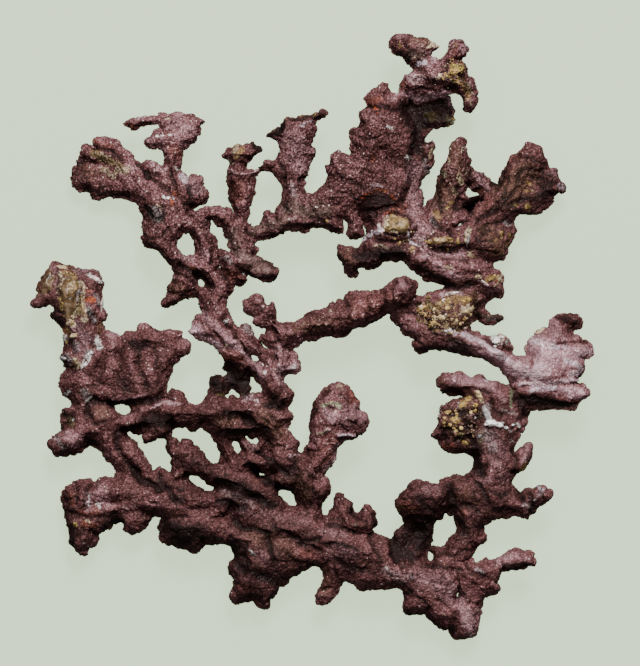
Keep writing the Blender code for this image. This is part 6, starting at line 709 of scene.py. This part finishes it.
def crystals(place, size, seed):
    """Height of a crust of small crystals at a place, about 0 to 1, each with its own tilt."""
    spot = place / size + Vector((seed, 2 * seed, 3 * seed))
    gaps, points = noise.voronoi(spot)
    tilt = noise.cell_vector(points[0] * 7.3) - Vector((0.5, 0.5, 0.5))
    edge = min(1, 1.6 * (gaps[1] - gaps[0]))
    return 0.7 * math.sqrt(edge) + 1.3 * tilt.dot(spot - points[0])


def distance_to_run(places, run):
    """From each place in the picture's plane to the nearest part of a run of straight steps."""
    nearest = np.full(len(places), np.inf)
    for start, end in zip(run[:-1], run[1:]):
        step = end - start
        share = np.clip((places - start) @ step / max(step @ step, 1e-9), 0, 1)
        nearest = np.minimum(nearest, np.linalg.norm(places - start - share[:, None] * step, axis=1))
    return nearest


def near_run(places, points, width):
    """The places near a drawn run, and how far each is from it, in widths."""
    run = np.array(points if len(points) > 1 else points * 2, float)
    low, high = run.min(axis=0) - 3 * width, run.max(axis=0) + 3 * width
    near = np.flatnonzero(((places[:, :2] > low) & (places[:, :2] < high)).all(axis=1))
    return near, distance_to_run(places[near, :2], run) / width


def mark_values(places, facing):
    """Height and tone that the drawn marks add at each place."""
    height, tone = np.zeros(len(places)), np.zeros(len(places))
    for rise, shade, width, points in MARKS:
        near, gap = near_run(places, points, width)
        profile = np.exp(-(gap ** 2)) * facing[near]
        height[near] += MARK_HEIGHT * rise * profile
        tone[near] += MARK_TONE * shade * profile
    return height, tone


def normals_of(mesh):
    normals = np.empty(len(mesh.vertices) * 3)
    mesh.vertex_normals.foreach_get("vector", normals)
    return normals.reshape(-1, 3)


def skin(mesh):
    """Gives the fused growth its lumps, marks and crust, and returns what the colours need."""
    corners, _ = arrays(mesh)
    normals = normals_of(mesh)
    count = len(corners)
    warped = np.empty((count, 3))
    knobs, crust, ragged = np.empty(count), np.empty(count), np.empty(count)
    for i, corner in enumerate(corners):
        place = Vector(corner)
        shifted = place + noise.noise_vector(place / WARP_SIZE) * WARP
        warped[i] = shifted
        knobs[i] = (WAVE_HEIGHT * noise.noise(place / WAVE_SIZE)
                    + KNOB_HEIGHT * (crystals(shifted, KNOB_SIZE, 1) - 0.4))
        crust[i] = (GRAIN_HEIGHT * (crystals(shifted, GRAIN_SIZE, 2) - 0.4)
                    + SUGAR_HEIGHT * (crystals(place, SUGAR_SIZE, 3) - 0.4))
        ragged[i] = (0.55 * noise.noise(place / RAGGED_SIZES[0])
                     + 0.4 * noise.noise(place / RAGGED_SIZES[1]))
    facing = np.clip(normals[:, 2] * 1.6 + 0.3, 0, 1)
    drawn, drawn_tone = mark_values(warped, facing)
    side = 1 - np.abs(normals[:, 2])
    crisp = np.clip(1 + spread(corners, CRISP), 0.3, 2)
    crust *= np.sqrt(crisp)
    rise = drawn + np.sqrt(np.minimum(crisp, 1)) * knobs * (1 + RIM_KNOBS * side) + RIM_SWELL * side + crust
    grown = corners + normals * rise[:, None]
    low, high = np.array(CAD_LOW) / MM, np.array(CAD_HIGH) / MM
    grown = np.clip(grown, low, high)
    mesh.vertices.foreach_set("co", (grown * MM).ravel())
    mesh.update()
    return {"warped": warped, "facing": facing, "ragged": ragged, "side": side,
            "relief": knobs + 0.5 * drawn, "crust": crust, "drawn": drawn_tone, "crisp": crisp}


def keep_values(mesh, name, values):
    attribute = mesh.attributes.new(name, "FLOAT", "POINT")
    attribute.data.foreach_set("value", values.astype(np.float32))


def owners(places, shapes):
    """For each place, the number of the limb that it is nearest to."""
    corners = np.concatenate([shapes[name][0] for name in LIMBS])
    counts = np.cumsum([0] + [len(shapes[name][0]) for name in LIMBS])
    faces = np.concatenate([shapes[name][1] + counts[i] for i, name in enumerate(LIMBS)])
    owner = np.repeat(np.arange(len(LIMBS)), [len(shapes[name][1]) for name in LIMBS])
    tree = tree_of(corners, faces)
    return np.array([owner[tree.find_nearest(Vector(place))[2]] for place in places])


def quads_of(mesh):
    quads = np.empty(len(mesh.loops), np.int64)
    mesh.loops.foreach_get("vertex_index", quads)
    return quads.reshape(-1, 4)


def open_ends(quads):
    """The rings of corners round a limb's open ends, each ordered so that its face points out."""
    steps = np.concatenate([quads[:, [i, (i + 1) % 4]] for i in range(4)])
    steps = steps[steps[:, 0] != steps[:, 1]]
    edges, index = np.unique(np.sort(steps, axis=1), axis=0, return_inverse=True)
    forward = np.where(steps[:, 0] < steps[:, 1], 1, -1)
    net = np.bincount(index.reshape(-1), weights=forward).astype(int)
    follow = {}
    for (low, high), times in zip(edges[net != 0].tolist(), net[net != 0].tolist()):
        start, end = (low, high) if times > 0 else (high, low)
        follow.setdefault(end, []).extend([start] * abs(times))
    rings = []
    while follow:
        ring = [next(iter(follow))]
        while ring[-1] in follow:
            here = ring[-1]
            step = follow[here].pop()
            if not follow[here]:
                del follow[here]
            if step in ring:
                turn = ring.index(step)
                rings.append(ring[turn:])
                ring = ring[:turn + 1]
            else:
                ring.append(step)
    return rings


def zipped(ring, places):
    """Triangles across a ring of corners, laid like a zip from its far end."""
    far = int(np.argmax(np.linalg.norm(places[ring] - places[ring].mean(axis=0), axis=1)))
    ring = ring[far:] + ring[:far]
    first, last = 1, len(ring) - 1
    triangles = [(ring[0], ring[first], ring[last])]
    while last - first > 1:
        ahead = np.linalg.norm(places[ring[first + 1]] - places[ring[last]])
        behind = np.linalg.norm(places[ring[first]] - places[ring[last - 1]])
        if ahead < behind:
            triangles.append((ring[first], ring[first + 1], ring[last]))
            first += 1
        else:
            triangles.append((ring[first], ring[last - 1], ring[last]))
            last -= 1
    return triangles


def thinned(growth):
    """The growth with small faces above and larger ones below, and its faces as rows of four corners.

    A triangle's row holds one corner twice.
    """
    corners, _ = arrays(growth)
    normals = normals_of(growth)
    quads = quads_of(growth)
    below = normals[:, 2] < UNDERSIDE
    leaning = np.where(np.abs(normals) > 0.6, np.sign(normals), 0)
    cells = np.concatenate([np.floor(corners / UNDER_CELL), leaning[:, :2]], axis=1)
    cells[~below] = np.arange((~below).sum())[:, None] + 1000
    _, index = np.unique(cells, axis=0, return_inverse=True)
    index = index.reshape(-1)
    counts = np.bincount(index)
    merged = np.stack([np.bincount(index, weights=corners[:, axis]) / counts for axis in range(3)], axis=1)
    quads = index[quads]
    folded = (quads[:, 0] == quads[:, 2]) | (quads[:, 1] == quads[:, 3])
    repeats = (quads == np.roll(quads, 1, axis=1)).sum(axis=1)
    quads = quads[~folded & (repeats < 2)]
    bpy.data.meshes.remove(growth)
    mesh = bpy.data.meshes.new("thinned")
    mesh.from_pydata(merged * MM, [], faces_of(quads))
    return mesh, quads


def faces_of(quads):
    return [list(dict.fromkeys(quad)) for quad in quads.tolist()]


def limb_piece(name, corners, normals, quads, values):
    """One limb's share of the skin, closed at its forks by caps that lie inside the growth."""
    used, index = np.unique(quads, return_inverse=True)
    quads = index.reshape(-1, 4)
    rings = [ring for ring in open_ends(quads) if len(ring) > 2]
    source = np.concatenate([used] + [used[ring] for ring in rings])
    places = corners[source]
    places[len(used):] -= normals[source[len(used):]] * CAP_DEPTH
    faces, first = faces_of(quads), len(used)
    for ring in rings:
        inner = {corner: first + i for i, corner in enumerate(ring)}
        first += len(ring)
        faces += [(a, b, inner[b], inner[a]) for a, b in zip(ring, ring[1:] + ring[:1])]
        faces += [tuple(inner[corner] for corner in triangle) for triangle in zipped(ring, places)]
    mesh = bpy.data.meshes.new(name)
    mesh.from_pydata(places * MM, [], faces)
    for key, value in values.items():
        keep_values(mesh, key, value[source])
    mesh.shade_smooth()
    mesh.normals_split_custom_set_from_vertices(normals[source].tolist())
    return mesh, source


def principled(name):
    material = bpy.data.materials.new(name)
    material.use_nodes = True
    nodes, links = material.node_tree.nodes, material.node_tree.links
    return material, nodes, links, nodes["Principled BSDF"]


def ramp(nodes, links, source, stops):
    """A colour ramp driven by a socket; stops are (position, colour)."""
    node = nodes.new("ShaderNodeValToRGB")
    while len(node.color_ramp.elements) < len(stops):
        node.color_ramp.elements.new(0.5)
    for element, (position, colour) in zip(node.color_ramp.elements, stops):
        element.position = position
        element.color = (*colour, 1)
    links.new(source, node.inputs["Fac"])
    return node.outputs["Color"]


def mixed(nodes, links, factor, first, second, kind="MIX"):
    node = nodes.new("ShaderNodeMix")
    node.data_type = "RGBA"
    node.blend_type = kind
    for socket, value in ((node.inputs["Factor"], factor), (node.inputs[6], first), (node.inputs[7], second)):
        if isinstance(value, bpy.types.NodeSocket):
            links.new(value, socket)
        elif isinstance(value, tuple):
            socket.default_value = (*value, 1)
        else:
            socket.default_value = value
    return node.outputs[2]


def maths(nodes, links, kind, first, second=0.0, third=0.0):
    node = nodes.new("ShaderNodeMath")
    node.operation = kind
    for socket, value in zip(node.inputs, (first, second, third)):
        if isinstance(value, bpy.types.NodeSocket):
            links.new(value, socket)
        else:
            socket.default_value = value
    return node.outputs[0]


def noise_at(nodes, links, size, detail=3, kind="ShaderNodeTexNoise"):
    """A noise, or cells, of about that size in millimetres, fixed in the object's own space."""
    place = nodes.new("ShaderNodeTexCoord").outputs["Object"]
    node = nodes.new(kind)
    node.inputs["Scale"].default_value = 1 / (size * MM)
    if "Detail" in node.inputs:
        node.inputs["Detail"].default_value = detail
    links.new(place, node.inputs["Vector"])
    return node.outputs["Distance" if kind == "ShaderNodeTexVoronoi" else "Fac"]


def attribute(nodes, name, output="Fac"):
    node = nodes.new("ShaderNodeAttribute")
    node.attribute_name = name
    return node.outputs[output]


def copper_material():
    material, nodes, links, shader = principled("copper")
    crisp = attribute(nodes, "crisp")
    blotch = noise_at(nodes, links, 5.0, 4)
    speck = noise_at(nodes, links, SPECK_SIZE, 3)
    tone = maths(nodes, links, "MULTIPLY_ADD", blotch, 0.5, -0.25)
    tone = maths(nodes, links, "ADD", attribute(nodes, "tone"), tone)
    fine = maths(nodes, links, "MULTIPLY_ADD", speck, SPECKS, -0.5 * SPECKS)
    tone = maths(nodes, links, "MULTIPLY_ADD", fine, crisp, tone)
    colour = ramp(nodes, links, tone, COPPER_TONES)
    patch = mixed(nodes, links, 1.0, attribute(nodes, "patch", "Color"),
                  ramp(nodes, links, tone, PATCH_TONES), "MULTIPLY")
    dapple = maths(nodes, links, "MINIMUM", maths(nodes, links, "MULTIPLY_ADD", speck, 4.0, -1.1), 1.0)
    dapple = maths(nodes, links, "MAXIMUM", dapple, 0.15)
    dapple = maths(nodes, links, "MULTIPLY", dapple, attribute(nodes, "patched"))
    colour = mixed(nodes, links, dapple, colour, patch)
    cells = nodes.new("ShaderNodeTexVoronoi")
    cells.inputs["Scale"].default_value = 1 / (GLINT_SIZE * MM)
    links.new(nodes.new("ShaderNodeTexCoord").outputs["Object"], cells.inputs["Vector"])
    lot = nodes.new("ShaderNodeSeparateColor")
    links.new(cells.outputs["Color"], lot.inputs["Color"])
    # Painted glints: pale specks mixed into the colour in a few cells where the copper is lighter and crisper.
    glint = maths(nodes, links, "GREATER_THAN", lot.outputs["Red"], GLINTS)
    glint = maths(nodes, links, "MULTIPLY", glint, lot.outputs["Blue"])
    glint = maths(nodes, links, "MULTIPLY", glint, maths(nodes, links, "LESS_THAN", cells.outputs["Distance"], 0.45))
    glint = maths(nodes, links, "MULTIPLY", glint, maths(nodes, links, "GREATER_THAN", tone, 0.42))
    glint = maths(nodes, links, "MULTIPLY", glint, maths(nodes, links, "MULTIPLY", crisp, 0.6))
    colour = mixed(nodes, links, glint, colour, GLINT)
    links.new(colour, shader.inputs["Base Color"])
    shader.inputs["Metallic"].default_value = COPPER_METALLIC
    shader.inputs["Specular IOR Level"].default_value = 0.14
    rough = maths(nodes, links, "MULTIPLY_ADD", lot.outputs["Green"], 0.35, 0.4)
    links.new(rough, shader.inputs["Roughness"])
    bump = nodes.new("ShaderNodeBump")
    bump.inputs["Distance"].default_value = 0.2 * MM
    bump.inputs["Strength"].default_value = 0.7
    links.new(cells.outputs["Distance"], bump.inputs["Height"])
    bump.invert = True
    links.new(bump.outputs["Normal"], shader.inputs["Normal"])
    return material




def patch_values(skin_values):
    """Colour and strength of the patches at each place, with ragged, speckled edges."""
    places, ragged = skin_values["warped"], skin_values["ragged"]
    colour = np.zeros((len(places), 4))
    strength = np.zeros(len(places))
    for tint, most, width, points in PATCHES:
        near, gap = near_run(places, points, width)
        share = most * np.clip(1.6 * (1.1 - gap + ragged[near]), 0, 1) * skin_values["facing"][near]
        near, share = near[share > strength[near]], share[share > strength[near]]
        strength[near] = share
        colour[near] = (*tint, 1)
    return colour, strength


def spread(places, spots):
    """Sum of round, soft spots: x, y, radius, amount."""
    total = np.zeros(len(places))
    for x, y, radius, amount in spots:
        total += amount * np.exp(-(np.linalg.norm(places[:, :2] - (x, y), axis=1) / radius) ** 2)
    return total


def make_copper(shapes):
    voxel = VOXEL
    growth, quads = thinned(fused(shapes, voxel))
    before, _ = arrays(growth)
    labels = owners(before[quads].mean(axis=1), shapes)
    for limb, host in ONE_PIECE.items():
        labels[labels == LIMBS.index(limb)] = LIMBS.index(host)
    made = skin(growth)
    corners, _ = arrays(growth)
    normals = normals_of(growth)
    colour, strength = patch_values(made)
    # Painted light and shade in the tone: lighter relief tops and darker hollows, the drawn marks' light and shade,
    # darker steep sides, and lighter faces turned to the top of the picture, towards the key light.
    tone = BASE_TONE + RELIEF_TONE * np.clip(made["relief"], -0.6, 0.6) + made["drawn"]
    tone += CRUST_TONE * made["crust"] + spread(corners, SHADES)
    tone += SIDE_TONE * made["side"] ** 2 + 0.08 * normals[:, 1]
    values = {"tone": tone, "patched": strength, "crisp": made["crisp"]}
    material = copper_material()
    for number, name in enumerate(LIMBS):
        if name in ONE_PIECE:
            continue
        mine = quads[labels == number]
        mesh, source = limb_piece(name + "_skin", corners, normals, mine, values)
        paint = mesh.color_attributes.new("patch", "FLOAT_COLOR", "POINT")
        paint.data.foreach_set("color", colour[source].astype(np.float32).ravel())
        mesh.materials.append(material)
        piece = add(name + "_skin", mesh)
        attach(piece, "root")
        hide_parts(name, *(limb for limb, host in ONE_PIECE.items() if host == name))
    bpy.data.meshes.remove(growth)


def add(name, data):
    thing = bpy.data.objects.new(name, data)
    bpy.context.scene.collection.objects.link(thing)
    return thing


def on_skin(tree, x, y):
    """The highest point of the skin there and its normal, or None where there is none."""
    hit, normal, _, _ = tree.ray_cast(Vector((x, y, 60)), Vector((0, 0, -1)))
    return (hit, normal) if hit is not None and hit.z > 3 else (None, None)


def crystal(bm, place, size, turn, number):
    """One angular crystal: the hull of a few points round an ellipsoid."""
    matrix = Matrix.Translation(place) @ turn.to_matrix().to_4x4() @ Matrix.Diagonal((*size, 1))
    points = [bm.verts.new(matrix @ (noise.random_unit_vector() * 0.5)) for _ in range(CRYSTAL_CORNERS)]
    made = bmesh.ops.convex_hull(bm, input=points)
    for piece in made["geom"]:
        if isinstance(piece, bmesh.types.BMFace):
            piece.material_index = number


def sheet(bm, tree, spot, number):
    """One lump of mineral that lies on the skin: an uneven, rounded sheet with its rim let in."""
    x, y, length, width, height, turn, _ = spot
    middle, _ = on_skin(tree, x, y)
    if middle is None:
        return
    along = Vector((math.cos(math.radians(turn)), math.sin(math.radians(turn)), 0))
    across = Vector((-along.y, along.x, 0))
    large = length > LARGE_SHEET
    ring_count, sides = (SHEET_RINGS, SHEET_SIDES) if large else (SHEET_RINGS // 2, SHEET_SIDES // 2)
    rings = []
    for ring in range(ring_count + 1):
        share = ring / ring_count
        corners = []
        for side in range(sides):
            angle = 2 * math.pi * side / sides
            out = along * math.cos(angle) * length + across * math.sin(angle) * width
            reach = share * (1 + SHEET_RAGGED * noise.noise(Vector((x, y, 0)) + out * 0.9))
            place = Vector((x, y, 0)) + out * reach
            hit, _ = on_skin(tree, place.x, place.y)
            for _ in range(6):
                if hit is None:
                    place = place.lerp(Vector((x, y, 0)), 0.2)
                    hit, _ = on_skin(tree, place.x, place.y)
            level = middle.z if hit is None else max(hit.z, middle.z - 1.5)
            rough = 1 + 0.45 * noise.fractal(place * 0.9, 0.9, 2.0, 3) + (0.15 if large else 0.9) * noise.noise(place * 2.6)
            level += height * math.sqrt(max(0, 1 - share ** 3)) * rough - SHEET_RIM * share ** 4
            corners.append(bm.verts.new((place.x, place.y, level)))
        rings.append(corners)
    for inner, outer in zip(rings, rings[1:]):
        for i in range(sides):
            j = (i + 1) % sides
            face = bm.faces.new((inner[i], outer[i], outer[j], inner[j]))
            face.material_index = number
            face.smooth = large
    bm.faces.new(rings[-1]).material_index = number
    bmesh.ops.remove_doubles(bm, verts=rings[0], dist=0.001)


def make_minerals(name, tree):
    """The sheets and small crystals that show where a lump of mineral reaches the air."""
    count, sizes, reach, colours = CRYSTALS[name]
    used = sorted(set(colours) | {spot[-1] for spot in SHEETS[name]})
    low, high = (np.array(corner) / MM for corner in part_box(name))
    middle, half = (low + high) / 2, (high - low) / 2 * reach
    noise.seed_set(len(name) + count)
    bm = bmesh.new()
    for spot in SHEETS[name]:
        sheet(bm, tree, spot, used.index(spot[-1]))
    for _ in range(count):
        spin = noise.random_unit_vector()
        hit, normal = on_skin(tree, middle[0] + spin.x * half[0], middle[1] + spin.y * half[1])
        if hit is None or math.hypot(spin.x, spin.y) > 0.9 + 0.6 * noise.noise(hit * 0.35):
            continue
        size = sizes[0] + (sizes[1] - sizes[0]) * noise.random() ** 2
        shape = Vector((1, 0.7 + 0.3 * noise.random(), 0.5 + 0.4 * noise.random())) * size
        turn = noise.random_unit_vector().to_track_quat("X", "Z")
        shade = 0.5 + 0.9 * noise.noise(hit * 0.45) + 0.5 * (noise.random() - 0.5)
        colour = colours[min(len(colours) - 1, max(0, int(shade * len(colours))))]
        crystal(bm, hit + normal * size * 0.05, shape, turn, used.index(colour))
    mesh = bpy.data.meshes.new(name)
    bmesh.ops.scale(bm, vec=(MM, MM, MM), verts=bm.verts)
    bm.to_mesh(mesh)
    bm.free()
    for colour in used:
        mesh.materials.append(mineral_material(colour))
    piece = add(name + "_grains", mesh)
    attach(piece, "root")
    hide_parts(name)


def mineral_material(colour):
    """Cloudy, slightly see-through mineral of one of the named colours."""
    known = bpy.data.materials.get(colour)
    if known:
        return known
    material, nodes, links, shader = principled(colour)
    tint = MINERAL_COLOURS[colour]
    dark = tuple(c * 0.3 for c in tint)
    pale = tuple(min(1, c * 1.5 + 0.05) for c in tint)
    blotch = noise_at(nodes, links, 1.6, 6)
    links.new(ramp(nodes, links, blotch, ((0.34, dark), (0.5, tint), (0.66, pale))), shader.inputs["Base Color"])
    shader.inputs["Roughness"].default_value = 0.35
    shader.inputs["Subsurface Weight"].default_value = 0.2
    shader.inputs["Subsurface Radius"].default_value = (1.0 * MM, 0.8 * MM, 0.6 * MM)
    shader.inputs["Subsurface Scale"].default_value = 1
    bump = nodes.new("ShaderNodeBump")
    bump.inputs["Distance"].default_value = 0.15 * MM
    bump.inputs["Strength"].default_value = 0.6
    links.new(noise_at(nodes, links, 0.5, 3), bump.inputs["Height"])
    links.new(bump.outputs["Normal"], shader.inputs["Normal"])
    return material


def make_floor():
    mesh = bpy.data.meshes.new("floor")
    half = 3000 * MM
    mesh.from_pydata([(-half, -half, 0), (half, -half, 0), (half, half, 0), (-half, half, 0)], [], [(0, 1, 2, 3)])
    floor = add("floor", mesh)
    material, _, _, shader = principled("floor")
    shader.inputs["Base Color"].default_value = (*FLOOR_COLOUR, 1)
    shader.inputs["Roughness"].default_value = 0.9
    shader.inputs["Specular IOR Level"].default_value = 0.1
    shader.inputs["Emission Color"].default_value = (*FLOOR_GLOW_COLOUR, 1)
    shader.inputs["Emission Strength"].default_value = FLOOR_GLOW
    mesh.materials.append(material)
    floor.visible_glossy = False
    floor.visible_diffuse = False
    floor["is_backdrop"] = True


def make_camera():
    data = bpy.data.cameras.new("camera")
    data.sensor_width = 36
    long_side = max(PICTURE_WIDTH, PICTURE_HEIGHT)
    data.lens = data.sensor_width * CAMERA_HEIGHT / long_side
    data.clip_start, data.clip_end = 0.01, 10
    camera = add("camera", data)
    camera.location = (PICTURE_CENTRE[0] * MM, PICTURE_CENTRE[1] * MM, CAMERA_HEIGHT * MM)
    bpy.context.scene.camera = camera


def area_light(name, place, size, power, colour=(1, 1, 1)):
    """A square light in millimetres that faces the middle of the specimen."""
    data = bpy.data.lights.new(name, "AREA")
    data.shape = "SQUARE"
    data.size = size * MM
    data.energy = power
    data.color = colour
    light = add(name, data)
    light.location = Vector(place) * MM
    light.rotation_euler = (-light.location).to_track_quat("-Z", "Y").to_euler()


def make_studio():
    world = bpy.data.worlds.new("studio")
    bpy.context.scene.world = world
    world.use_nodes = True
    background = world.node_tree.nodes["Background"]
    background.inputs["Color"].default_value = (*WORLD_COLOUR, 1)
    background.inputs["Strength"].default_value = WORLD_STRENGTH
    for light in LIGHTS:
        area_light(*light)


def copper_tree():
    """Search tree of the finished skin near the mineral lumps, in millimetres."""
    corners, faces, count = [], [], 0
    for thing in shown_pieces():
        if thing.name.endswith("_skin"):
            points, triangles = arrays(thing.data)
            corners.append(points)
            faces.append(triangles + count)
            count += len(points)
    corners, faces = np.concatenate(corners), np.concatenate(faces)
    near = np.zeros(len(faces), bool)
    for name in MINERALS:
        low, high = (np.array(corner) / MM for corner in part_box(name))
        spot = corners[faces[:, 0], :2]
        near |= ((spot > low[:2] - 4) & (spot < high[:2] + 4)).all(axis=1)
        for x, y, length, *_ in SHEETS[name]:
            near |= (np.abs(spot - (x, y)) < length + 2).all(axis=1)
    used, index = np.unique(faces[near], return_inverse=True)
    return tree_of(corners[used], index.reshape(-1, 3))


def main():
    make_camera()
    make_studio()
    make_floor()
    make_copper(limb_shapes())
    tree = copper_tree()
    for name in MINERALS:
        make_minerals(name, tree)


main()
